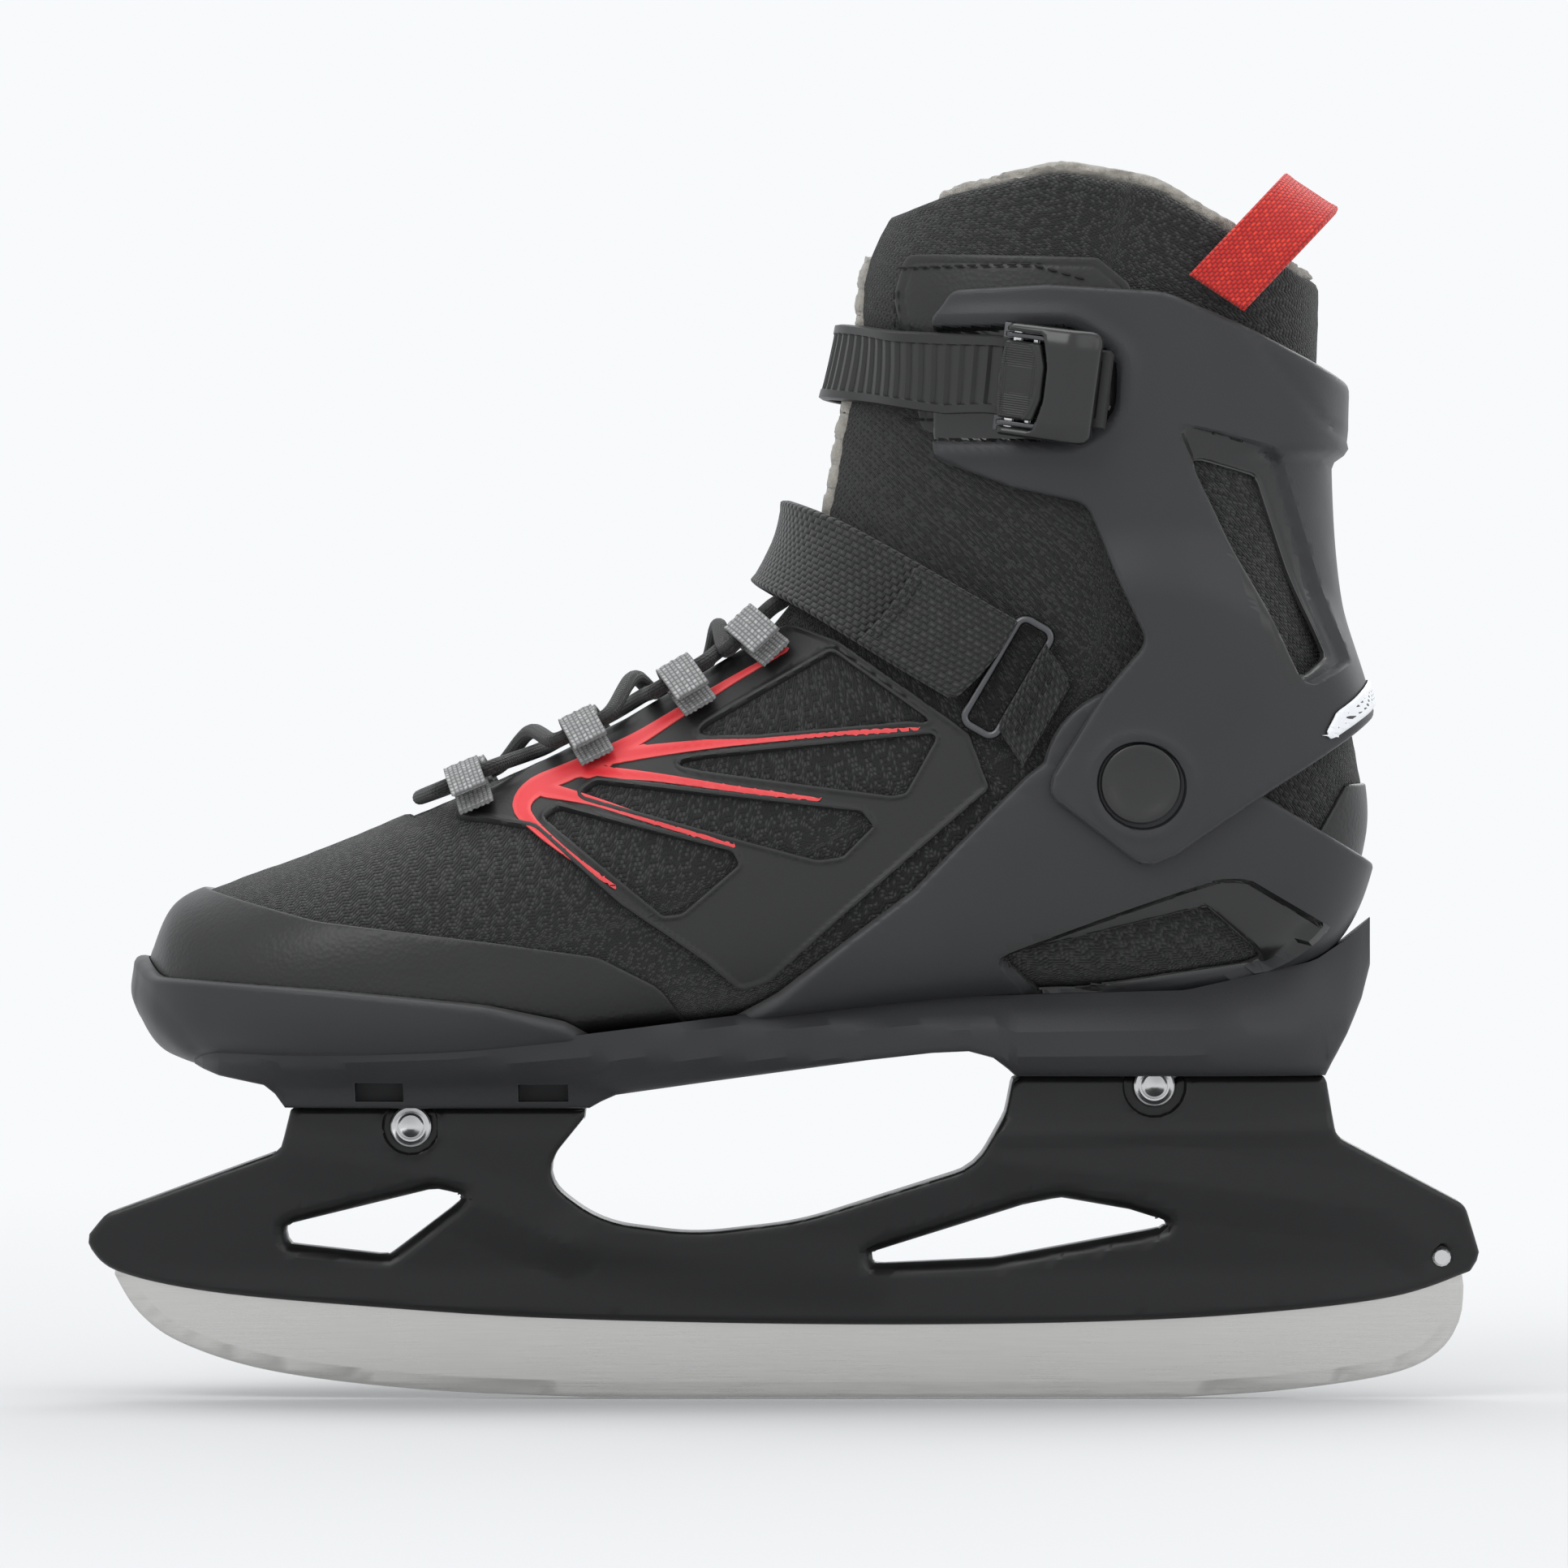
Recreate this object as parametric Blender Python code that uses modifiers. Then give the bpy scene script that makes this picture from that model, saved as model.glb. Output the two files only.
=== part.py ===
"""Left ice skate: soft laced boot, plastic chassis and hinged cuff, ratchet buckle, blade holder and runner.

Frame: origin on the runner's edge, toe towards -X, outer side towards -Y, +Z up. Outlines are given in
design millimetres as seen from the side and are stretched by the three overall sizes below. Walls, gaps,
pins, bolts and webbing keep their own sizes.
"""

import math

import bmesh
import bpy
from mathutils import Matrix, Vector
from mathutils.bvhtree import BVHTree

# Overall sizes in metres, and the design sizes that the outlines are drawn at.
SKATE_LENGTH = 0.3424
SKATE_HEIGHT = 0.302
BOOT_WIDTH = 0.102
DESIGN_LENGTH = 342.4
DESIGN_HEIGHT = 302.0
DESIGN_WIDTH = 102.0
MM = 0.001

# Layers of the boot and shells, measured out from the boot fabric in metres.
GAP = 0.0003
BOOT_WALL = 0.005
TONGUE_THICKNESS = 0.006
TONGUE_WIDTH = 0.052
THROAT_WIDTH = 0.027
FLEECE_THICKNESS = 0.0027
OVERLAY_THICKNESS = 0.0009
SHELL_START = 2 * GAP + OVERLAY_THICKNESS
CHASSIS_WALL = 0.003
BUMPER_WALL = 0.0033
CUFF_WALL = 0.003
CUFF_CLEARANCE = 0.0009
STRIP_THICKNESS = 0.0005

# Blade holder and runner.
BLADE_THICKNESS = 0.004
SLOT_DEPTH = 0.007
HOLDER_EDGE_HALF = 0.0043
HOLDER_TOP_HALF = 0.0115
LUG_HALF = 0.006
BOLT_SHANK = 0.0035
BOLT_THREAD = 0.0022
BOLT_HEAD = 0.0051
BOLT_HEAD_HEIGHT = 0.0022
SCREW_SHANK = 0.0013
SCREW_HEAD = 0.0023
SCREW_SEAT = 0.0038

# Cuff pivot.
PIVOT_PIN = 0.0045
PIVOT_CAP = 0.0098
PIVOT_NUT = 0.0075

# Webbing, lace and the ratchet buckle.
STRAP_WIDTH = 0.025
STRAP_THICKNESS = 0.0020
STRAP_SIDE_LIFT = 0.0024
STRAP_FRONT_LIFT = 0.0059
RING_WIRE = 0.0010
ANCHOR_LIFT = 0.0014
LACE_RADIUS = 0.0020
LOOP_WEBBING = 0.0011
LOOP_WIDTH = 0.009
LOOP_ROOM = 0.0011
PULL_WIDTH = 0.016
LADDER_WIDTH = 0.019
LADDER_THICKNESS = 0.0022
LADDER_LIFT = 0.0007
LADDER_BOOT_LIFT = 0.0012
RIVET_LIFT = 0.0008
BUCKLE_WIDTH = 0.0262
BUCKLE_PLATE = 0.0012
LEVER_PIN_RADIUS = 0.0014

FORM_SECTIONS = 24
FORM_AROUND = 20


def side(x, z):
    """A point of the side outlines, in metres."""
    return x * MM * SKATE_LENGTH * 1000 / DESIGN_LENGTH, z * MM * SKATE_HEIGHT * 1000 / DESIGN_HEIGHT


PIVOT = side(86.4, 151.3)
FRONT_BOLT = side(-91.6, 67.0)
REAR_BOLT = side(90.9, 77.0)
TAIL_SCREW = side(161.8, 34.6)

# ---------------------------------------------------------------- scene and small helpers

for old in list(bpy.data.objects):
    bpy.data.objects.remove(old, do_unlink=True)

parts = bpy.data.collections.new("ice_skate")
cutters = bpy.data.collections.new("cutters")
bpy.context.scene.collection.children.link(parts)
bpy.context.scene.collection.children.link(cutters)


def material(name, color, roughness, metallic=0.0):
    made = bpy.data.materials.new(name)
    made.use_nodes = True
    shader = made.node_tree.nodes["Principled BSDF"]
    shader.inputs["Base Color"].default_value = (*color, 1.0)
    shader.inputs["Roughness"].default_value = roughness
    shader.inputs["Metallic"].default_value = metallic
    return made


STEEL = material("stainless_steel", (0.62, 0.62, 0.63), 0.28, 1.0)
CHROME = material("chromed_steel", (0.75, 0.75, 0.76), 0.15, 1.0)
HOLDER_BLACK = material("holder_plastic", (0.018, 0.018, 0.019), 0.4)
SHELL_GREY = material("shell_plastic", (0.045, 0.046, 0.048), 0.5)
KNIT = material("knit_fabric", (0.012, 0.012, 0.013), 0.9)
OVERLAY = material("overlay_film", (0.02, 0.02, 0.022), 0.65)
LEATHER = material("smooth_leather", (0.016, 0.016, 0.017), 0.5)
FLEECE = material("fleece", (0.55, 0.52, 0.47), 0.95)
WEBBING = material("black_webbing", (0.014, 0.014, 0.015), 0.85)
LOOP_GREY = material("grey_webbing", (0.5, 0.5, 0.5), 0.85)
PULL_RED = material("red_webbing", (0.75, 0.03, 0.01), 0.8)
REFLECTIVE = material("reflective_film", (0.8, 0.8, 0.8), 0.35)
FOAM = material("insole_foam", (0.05, 0.05, 0.055), 0.9)


def finish(obj, name, mat, angle=35.0):
    """Names the object, gives it its material, moves it to the skate and shades it smooth by angle."""
    obj.name = name
    obj.data.name = name
    obj.data.materials.clear()
    obj.data.materials.append(mat)
    for user in list(obj.users_collection):
        user.objects.unlink(obj)
    parts.objects.link(obj)
    if obj.type == "MESH":
        obj.data.shade_smooth()
        obj.data.set_sharp_from_angle(angle=math.radians(angle))
    return obj


def new_object(name, bm):
    """An object from a bmesh, its faces turned outwards."""
    bmesh.ops.recalc_face_normals(bm, faces=bm.faces)
    mesh = bpy.data.meshes.new(name)
    bm.to_mesh(mesh)
    bm.free()
    obj = bpy.data.objects.new(name, mesh)
    cutters.objects.link(obj)
    obj.hide_render = True
    obj.display_type = "WIRE"
    return obj


def boolean(obj, operation, *others):
    """Joins, cuts or intersects for good, and drops the helpers."""
    for other in others:
        modifier = obj.modifiers.new(operation.lower(), "BOOLEAN")
        modifier.operation = operation
        modifier.solver = "EXACT"
        modifier.object = other
        graph = bpy.context.evaluated_depsgraph_get()
        mesh = bpy.data.meshes.new_from_object(obj.evaluated_get(graph))
        bm = bmesh.new()
        bm.from_mesh(mesh)
        bmesh.ops.triangulate(bm, faces=[face for face in bm.faces if len(face.verts) > 4])
        bm.to_mesh(mesh)
        bm.free()
        old = obj.data
        obj.modifiers.clear()
        obj.data = mesh
        bpy.data.meshes.remove(old)
    for other in set(others):
        bpy.data.objects.remove(other, do_unlink=True)
    return obj


def part(obj, name, mat, angle=35.0):
    """Makes a helper into a part of the skate."""
    obj.hide_render = False
    obj.display_type = "TEXTURED"
    bm = bmesh.new()
    bm.from_mesh(obj.data)
    bmesh.ops.remove_doubles(bm, verts=bm.verts, dist=0.00002)
    bmesh.ops.dissolve_degenerate(bm, edges=bm.edges, dist=0.00002)
    bmesh.ops.dissolve_limit(bm, angle_limit=math.radians(0.2), verts=bm.verts, edges=bm.edges)
    bmesh.ops.triangulate(bm, faces=bm.faces)
    bm.to_mesh(obj.data)
    bm.free()
    return finish(obj, name, mat, angle)


# ---------------------------------------------------------------- outlines


def rounded(corners, steps=3):
    """A closed outline from design corners (x, z) or (x, z, fillet radius), in metres."""
    points = []
    count = len(corners)
    for index, corner in enumerate(corners):
        here = Vector(corner[:2])
        radius = corner[2] if len(corner) > 2 else 0.0
        before = Vector(corners[index - 1][:2]) - here
        after = Vector(corners[(index + 1) % count][:2]) - here
        if radius <= 0.0 or before.length < 1e-6 or after.length < 1e-6:
            points.append(here)
            continue
        half = before.angle(after) / 2
        if half > math.radians(88.0):
            points.append(here)
            continue
        reach = min(radius / math.tan(half), 0.49 * before.length, 0.49 * after.length)
        start = here + before.normalized() * reach
        end = here + after.normalized() * reach
        for step in range(steps + 1):
            t = step / steps
            points.append(start * (1 - t) ** 2 + here * 2 * t * (1 - t) + end * t ** 2)
    return [side(p[0], p[1]) for p in points]


def smooth_run(points, steps=4):
    """Design points on a smooth curve through the given ones."""
    run = []
    last = len(points) - 1
    for index in range(last):
        a = Vector(points[max(index - 1, 0)])
        b = Vector(points[index])
        c = Vector(points[index + 1])
        d = Vector(points[min(index + 2, last)])
        for step in range(steps):
            t = step / steps
            run.append(tuple(0.5 * ((2 * b) + (c - a) * t + (2 * a - 5 * b + 4 * c - d) * t ** 2
                                    + (3 * b - a - 3 * c + d) * t ** 3)))
    run.append(tuple(points[-1]))
    return run


def plate(name, points, half, centre=0.0):
    """The closed side outline, in metres, as a solid of the given half thickness about y = centre."""
    curve = bpy.data.curves.new(name, "CURVE")
    curve.dimensions = "2D"
    curve.fill_mode = "BOTH"
    curve.extrude = half
    spline = curve.splines.new("POLY")
    spline.points.add(len(points) - 1)
    for point, (x, z) in zip(spline.points, points):
        point.co = (x, z, 0.0, 1.0)
    spline.use_cyclic_u = True
    guide = bpy.data.objects.new(name, curve)
    cutters.objects.link(guide)
    guide.rotation_euler = (math.pi / 2, 0.0, 0.0)
    guide.location = (0.0, centre, 0.0)
    return to_mesh(guide, name)


def to_mesh(guide, name):
    """The evaluated curve as a closed mesh object in world coordinates."""
    bpy.context.view_layer.update()
    graph = bpy.context.evaluated_depsgraph_get()
    mesh = bpy.data.meshes.new_from_object(guide.evaluated_get(graph))
    mesh.transform(guide.matrix_world)
    bpy.data.objects.remove(guide, do_unlink=True)
    bm = bmesh.new()
    bm.from_mesh(mesh)
    bmesh.ops.remove_doubles(bm, verts=bm.verts, dist=0.000001)
    return new_object(name, bm)


def box(name, low, high):
    """An axis-aligned box between two corners."""
    bm = bmesh.new()
    size = Vector(high) - Vector(low)
    middle = (Vector(high) + Vector(low)) / 2
    bmesh.ops.create_cube(bm, size=1.0, matrix=Matrix.Translation(middle) @ Matrix.Diagonal((*size, 1.0)))
    return new_object(name, bm)


def cylinder(name, centre, radius, half, axis=(0.0, 1.0, 0.0), segments=24):
    """A cylinder about its centre, along the given axis."""
    bm = bmesh.new()
    turn = Vector((0.0, 0.0, 1.0)).rotation_difference(Vector(axis)).to_matrix().to_4x4()
    bmesh.ops.create_cone(bm, cap_ends=True, segments=segments, radius1=radius, radius2=radius,
                          depth=2 * half, matrix=Matrix.Translation(Vector(centre)) @ turn)
    return new_object(name, bm)


def turned(name, profile, centre, axis, mat, steps=24):
    """A turned part: a profile of (radius, height) from its top down to its bottom, on the given axis."""
    mesh = bpy.data.meshes.new(name)
    mesh.from_pydata([(r, 0.0, h) for r, h in profile], [(i, i + 1) for i in range(len(profile) - 1)], [])
    obj = bpy.data.objects.new(name, mesh)
    cutters.objects.link(obj)
    screw = obj.modifiers.new("turn", "SCREW")
    screw.steps = steps
    screw.render_steps = steps
    screw.use_merge_vertices = True
    screw.merge_threshold = 0.00001
    obj.location = centre
    obj.rotation_mode = "QUATERNION"
    obj.rotation_quaternion = Vector((0.0, 0.0, 1.0)).rotation_difference(Vector(axis))
    return finish(obj, name, mat)


# ---------------------------------------------------------------- the boot form

# Sections of the boot from the toe to above the collar. Each is a slice between a point under or behind
# the foot and a point over or before it, in design millimetres: under x, z, over x, z, half width,
# share of the slice where it is widest, roundness under, roundness over, and skew towards the inner side.
BOOT_SLICES = [(-154.0, 95.0, -154.5, 110.0, 14.0, 0.45, 2.4, 2.2, 4.0),
               (-149.0, 89.0, -149.0, 121.0, 27.0, 0.42, 2.8, 2.2, 4.0),
               (-138.0, 87.0, -136.0, 127.0, 37.5, 0.38, 3.4, 2.2, 3.5),
               (-115.0, 86.0, -110.0, 136.6, 47.5, 0.35, 4.0, 2.2, 2.5),
               (-80.0, 86.0, -72.0, 153.0, 51.0, 0.33, 4.2, 2.1, 1.0),
               (-46.0, 89.0, -38.0, 170.0, 48.0, 0.33, 4.0, 2.0, 0.0),
               (-8.0, 94.0, -9.0, 188.5, 42.0, 0.36, 3.8, 2.0, 0.0),
               (42.0, 99.5, 4.0, 207.0, 38.5, 0.42, 3.4, 2.0, 0.0),
               (98.0, 102.0, 8.2, 226.0, 37.5, 0.46, 3.2, 2.1, 0.0),
               (130.0, 112.0, 10.5, 240.0, 38.0, 0.48, 2.8, 2.2, 0.0),
               (142.0, 138.0, 13.5, 252.0, 40.0, 0.5, 2.4, 2.2, 0.0),
               (139.5, 165.0, 16.0, 264.0, 42.5, 0.5, 2.3, 2.2, 0.0),
               (132.5, 200.0, 17.5, 275.0, 44.5, 0.5, 2.3, 2.3, 0.0),
               (130.5, 235.0, 21.0, 285.0, 45.5, 0.5, 2.3, 2.3, 0.0),
               (131.5, 270.0, 30.0, 300.0, 45.0, 0.5, 2.3, 2.3, 0.0),
               (130.5, 305.0, 48.0, 325.0, 44.0, 0.5, 2.3, 2.3, 0.0)]
SLICE_COUNT = len(BOOT_SLICES)


def slice_at(s):
    """The slice values at s, from 0 at the toe to 1 above the collar, on a smooth curve through them."""
    t = min(max(s, 0.0), 1.0) * (SLICE_COUNT - 1)
    index = min(int(t), SLICE_COUNT - 2)
    f = t - index
    rows = [BOOT_SLICES[min(max(index + k, 0), SLICE_COUNT - 1)] for k in (-1, 0, 1, 2)]
    return [0.5 * (2 * b + (c - a) * f + (2 * a - 5 * b + 4 * c - d) * f * f
                   + (3 * b - a - 3 * c + d) * f ** 3) for a, b, c, d in zip(*rows)]


def boot_point(s, turn):
    """A point of the boot's outside. turn runs from 0 under or behind, pi/2 inner side, to pi over, 2 pi."""
    ux, uz, ox, oz, half, widest, power_under, power_over, skew = slice_at(s)
    lift = -math.cos(turn)
    power = 2.0 / (power_over if lift > 0 else power_under)
    reach = math.copysign(abs(lift) ** power, lift)
    share = widest + (1.0 - widest) * reach if lift > 0 else widest + widest * reach
    width = math.copysign(abs(math.sin(turn)) ** power, math.sin(turn)) * half + skew
    x, z = side(ux + (ox - ux) * share, uz + (oz - uz) * share)
    return Vector((x, width * BOOT_WIDTH / DESIGN_WIDTH, z))


def boot_normal(s, turn):
    """The outward normal of the boot there."""
    step = 0.004
    along = boot_point(min(s + step, 1.0), turn) - boot_point(max(s - step, 0.0), turn)
    turn_a = turn - 0.02
    turn_b = turn + 0.02
    around = boot_point(s, turn_b) - boot_point(s, turn_a)
    normal = around.cross(along).normalized()
    if s < 0.03:
        normal = (normal + Vector((-1.2 * (1 - s / 0.03), 0.0, 0.0))).normalized()
    return normal


def boot_offset(s, turn, out):
    """The point that far out from the boot's surface; out may be a function of the surface point."""
    base = boot_point(s, turn)
    distance = out(base) if callable(out) else out
    return base + boot_normal(s, turn) * distance


def form(name, out, end=1.0):
    """The closed boot form, grown by out (a distance or a function of the surface point)."""
    bm = bmesh.new()
    rings = []
    for i in range(FORM_SECTIONS + 1):
        s = end * i / FORM_SECTIONS
        rings.append([bm.verts.new(boot_offset(s, 2 * math.pi * (j + 0.5) / FORM_AROUND, out))
                      for j in range(FORM_AROUND)])
    for low, high in zip(rings, rings[1:]):
        for j in range(FORM_AROUND):
            k = (j + 1) % FORM_AROUND
            bm.faces.new((low[j], low[k], high[k]))
            bm.faces.new((low[j], high[k], high[j]))
    for ring in (rings[0], rings[-1]):
        middle = bm.verts.new(sum((v.co for v in ring), Vector()) / FORM_AROUND)
        for j in range(FORM_AROUND):
            bm.faces.new((ring[j], ring[(j + 1) % FORM_AROUND], middle))
    return new_object(name, bm)


def layer(name, inner, outer, points, half=0.09, centre=0.0):
    """The shell between two offsets of the boot, inside a side outline."""
    shell = form(name, outer)
    boolean(shell, "INTERSECT", plate("region", points, half, centre))
    return boolean(shell, "DIFFERENCE", form("hollow", inner))


def surface_tree():
    """The boot's outside as a tree for finding its y at a side point."""
    probe = form("probe", 0.0)
    bm = bmesh.new()
    bm.from_mesh(probe.data)
    tree = BVHTree.FromBMesh(bm)
    bm.free()
    bpy.data.objects.remove(probe, do_unlink=True)
    return tree


BOOT_TREE = surface_tree()


def boot_y(x, z, sign):
    """The boot's y on the outer (-1) or inner (+1) side at a side point in metres."""
    hit = BOOT_TREE.ray_cast(Vector((x, sign * 0.2, z)), Vector((0.0, -sign, 0.0)))
    return hit[0].y


def boot_frame(x, z, sign):
    """Position and outward normal on the boot's side at a side point in metres."""
    where, normal, _, _ = BOOT_TREE.ray_cast(Vector((x, sign * 0.2, z)), Vector((0.0, -sign, 0.0)))
    return where, normal if normal.y * sign > 0 else -normal


# ---------------------------------------------------------------- runner and holder

HOLDER_EDGE = [(-171.0, 37.0), (-164.0, 31.0), (-141.0, 26.0), (-100.0, 22.2), (-55.0, 19.4),
               (10.0, 18.0), (68.0, 18.4), (112.0, 20.4), (149.0, 24.6), (169.0, 31.0)]


def runner():
    front = smooth_run([(-165.5, 31.4), (-159.0, 21.0), (-148.0, 13.2), (-126.0, 6.4), (-90.0, 1.9),
                        (-48.0, 0.0)])
    rear = smooth_run([(98.0, 0.0), (124.0, 1.8), (149.0, 5.6), (161.0, 11.0), (166.4, 19.0), (167.4, 27.5)])
    depth = SLOT_DEPTH / MM * DESIGN_HEIGHT / (SKATE_HEIGHT * 1000) - 0.3
    top = [(x, z + depth) for x, z in smooth_run(HOLDER_EDGE) if -160.0 < x < 157.0]
    outline = front + rear + [(165.6, 38.4), (157.5, 38.4)] + top[::-1] + [(-163.0, 36.0)]
    obj = plate("runner_blade", [side(x, z) for x, z in outline], BLADE_THICKNESS / 2)
    x, z = TAIL_SCREW
    boolean(obj, "DIFFERENCE", cylinder("screw_hole", (x, 0.0, z), SCREW_SHANK + GAP, 0.03))
    return part(obj, "runner_blade", STEEL)


def holder():
    edge = smooth_run(HOLDER_EDGE)
    upper = [(171.4, 35.0, 3), (167.5, 47.6, 5), (135.5, 64.6, 5), (133.0, 79.4, 1), (56.2, 79.4, 1),
             (54.4, 70.0, 6), (47.0, 57.0, 8), (4.0, 43.4, 22), (-22.0, 40.4, 22), (-45.0, 43.4, 12),
             (-60.5, 55.0, 7), (-47.0, 71.6, 2), (-121.0, 71.6, 1), (-123.6, 61.0, 4), (-167.0, 45.2, 4),
             (-171.6, 39.5, 2)]
    body = plate("blade_holder", rounded(edge + upper), 0.03)
    bm = bmesh.new()
    low = side(0.0, 10.0)[1]
    waist = side(0.0, 32.0)[1]
    top = side(0.0, 64.0)[1]
    high = side(0.0, 90.0)[1]
    profile = [(HOLDER_EDGE_HALF, low), (HOLDER_EDGE_HALF + 0.0008, waist), (HOLDER_TOP_HALF, top),
               (HOLDER_TOP_HALF, high)]
    ring = [(y, z) for y, z in profile] + [(-y, z) for y, z in profile[::-1]]
    ends = [[bm.verts.new((x, y, z)) for y, z in ring] for x in (-SKATE_LENGTH * 0.6, SKATE_LENGTH * 0.6)]
    count = len(ring)
    for j in range(count):
        k = (j + 1) % count
        bm.faces.new((ends[0][j], ends[0][k], ends[1][k], ends[1][j]))
    bm.faces.new(ends[0])
    bm.faces.new(ends[1][::-1])
    boolean(body, "INTERSECT", new_object("holder_taper", bm))
    windows = [[(-122.6, 42.6, 2), (-122.0, 38.0, 2), (-97.2, 35.2, 2), (-77.6, 50.0, 2), (-86.0, 51.6, 3)],
               [(21.0, 35.6, 1.2), (22.6, 33.0, 1.2), (52.0, 34.4, 20), (97.0, 42.6, 1.5), (85.0, 46.4, 3),
                (68.0, 49.4, 5), (59.0, 47.6, 4)]]
    for corners in windows:
        boolean(body, "DIFFERENCE", plate("window", rounded(corners), 0.05))
    slot_depth = SLOT_DEPTH / MM * DESIGN_HEIGHT / (SKATE_HEIGHT * 1000)
    slot = [(-166.6, 10.0), (-166.6, 33.0), (-163.4, 38.0)]
    slot += [(x, z + slot_depth) for x, z in edge if -160.0 < x < 157.0]
    slot += [(157.1, 38.8), (166.0, 38.8), (168.2, 27.0), (168.2, 10.0)]
    boolean(body, "DIFFERENCE", plate("slot", [side(x, z) for x, z in slot], BLADE_THICKNESS / 2 + GAP))
    for bolt, reach, depth in ((FRONT_BOLT, 0.0130, 0.0145), (REAR_BOLT, 0.0136, 0.0120)):
        x, z = bolt
        pocket_low = z - 0.0075 * SKATE_HEIGHT * 1000 / DESIGN_HEIGHT - GAP
        boolean(body, "DIFFERENCE",
                box("pocket", (x - reach - GAP, -LUG_HALF - GAP, pocket_low),
                    (x + reach + GAP, LUG_HALF + GAP, z + 0.03)),
                cylinder("bolt_hole", (x, 0.0, z), BOLT_SHANK + GAP, 0.03),
                cylinder("head_recess", (x, -HOLDER_TOP_HALF, z), BOLT_HEAD + 0.0015, 0.0026),
                cylinder("nut_recess", (x, HOLDER_TOP_HALF, z), BOLT_HEAD + 0.0015, 0.0026))
    x, z = TAIL_SCREW
    boolean(body, "DIFFERENCE", cylinder("screw_hole", (x, 0.0, z), SCREW_SHANK + GAP, 0.03),
            cylinder("screw_seat", (x, -SCREW_SEAT - 0.005, z), SCREW_HEAD + GAP, 0.005))
    return part(body, "blade_holder", HOLDER_BLACK)


def bolts():
    """Cross bolts with sleeve nuts through the pillars and the chassis lugs, and the tail screw."""
    face = HOLDER_TOP_HALF - 0.0026 + GAP
    for name, (x, z) in (("front_bolt", FRONT_BOLT), ("rear_bolt", REAR_BOLT)):
        head = [(0.0, BOLT_HEAD_HEIGHT - 0.0009), (0.0013, BOLT_HEAD_HEIGHT - 0.0009),
                (0.0027, BOLT_HEAD_HEIGHT - 0.0001), (0.0034, BOLT_HEAD_HEIGHT - 0.0004),
                (0.0044, BOLT_HEAD_HEIGHT), (BOLT_HEAD, BOLT_HEAD_HEIGHT - 0.0005), (BOLT_HEAD, 0.0)]
        shank = [(BOLT_SHANK - GAP, 0.0), (BOLT_SHANK - GAP, -face + 0.0015),
                 (BOLT_THREAD, -face + 0.0015), (BOLT_THREAD, -face - 0.0055), (0.0, -face - 0.0055)]
        turned(name, head + shank, (x, -face, z), (0.0, -1.0, 0.0), CHROME)
        nut = [(0.0, BOLT_HEAD_HEIGHT), (BOLT_HEAD - 0.0005, BOLT_HEAD_HEIGHT),
               (BOLT_HEAD, BOLT_HEAD_HEIGHT - 0.0005), (BOLT_HEAD, 0.0), (BOLT_SHANK - GAP, 0.0),
               (BOLT_SHANK - GAP, -face - 0.0010 + GAP), (BOLT_THREAD + GAP, -face - 0.0010 + GAP),
               (BOLT_THREAD + GAP, -face + 0.0063), (0.0, -face + 0.0063)]
        turned(name + "_nut", nut, (x, face, z), (0.0, 1.0, 0.0), CHROME)
    x, z = TAIL_SCREW
    length = 2 * SCREW_SEAT + 0.0005
    screw = [(0.0, 0.0012), (SCREW_HEAD - 0.0005, 0.0012), (SCREW_HEAD, 0.0007), (SCREW_HEAD, 0.0),
             (SCREW_SHANK, 0.0), (SCREW_SHANK, -length), (0.0, -length)]
    turned("blade_screw", screw, (x, -SCREW_SEAT - GAP, z), (0.0, -1.0, 0.0), HOLDER_BLACK, 12)


# ---------------------------------------------------------------- chassis and toe bumper

BUMPER_REGION = [(-175.0, 113.0), (-158.0, 111.5, 1), (-151.0, 104.0, 5), (-110.0, 101.4, 30),
                 (-72.0, 98.2, 30), (-53.0, 94.8, 10), (-41.5, 88.6, 1.5), (-47.0, 83.3, 2),
                 (-175.0, 83.3)]


def arc(centre, radius, start, end, steps=10):
    """Design points of an arc, angles in degrees."""
    angles = [math.radians(start + (end - start) * i / steps) for i in range(steps + 1)]
    return [(centre[0] + radius * math.cos(angle), centre[1] + radius * math.sin(angle)) for angle in angles]


def sole_frame():
    """The load-carrying sole of the chassis as a loft across the foot, narrow below and boot-wide above."""
    stations = [(-144.5, 20.0), (-138.0, 31.0), (-120.0, 41.0), (-95.0, 47.0), (-70.0, 48.0),
                (-45.0, 44.0), (-10.0, 36.0), (40.0, 33.0), (90.0, 34.0), (125.0, 31.0), (141.0, 22.0),
                (148.5, 9.0)]
    bm = bmesh.new()
    rings = []
    for x, half in stations:
        levels = [(0.50 * half, 68.0), (0.62 * half, 76.0), (0.96 * half, 84.0), (half, 92.0),
                  (0.8 * half, 100.0)]
        ring = [(y, z) for y, z in levels] + [(-y, z) for y, z in levels[::-1]]
        width_share = BOOT_WIDTH / DESIGN_WIDTH
        rings.append([bm.verts.new((side(x, z)[0], y * width_share, side(x, z)[1])) for y, z in ring])
    count = len(rings[0])
    for low, high in zip(rings, rings[1:]):
        for j in range(count):
            k = (j + 1) % count
            bm.faces.new((low[j], low[k], high[k], high[j]))
    bm.faces.new(rings[0])
    bm.faces.new(rings[-1][::-1])
    return new_object("sole_frame", bm)


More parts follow.
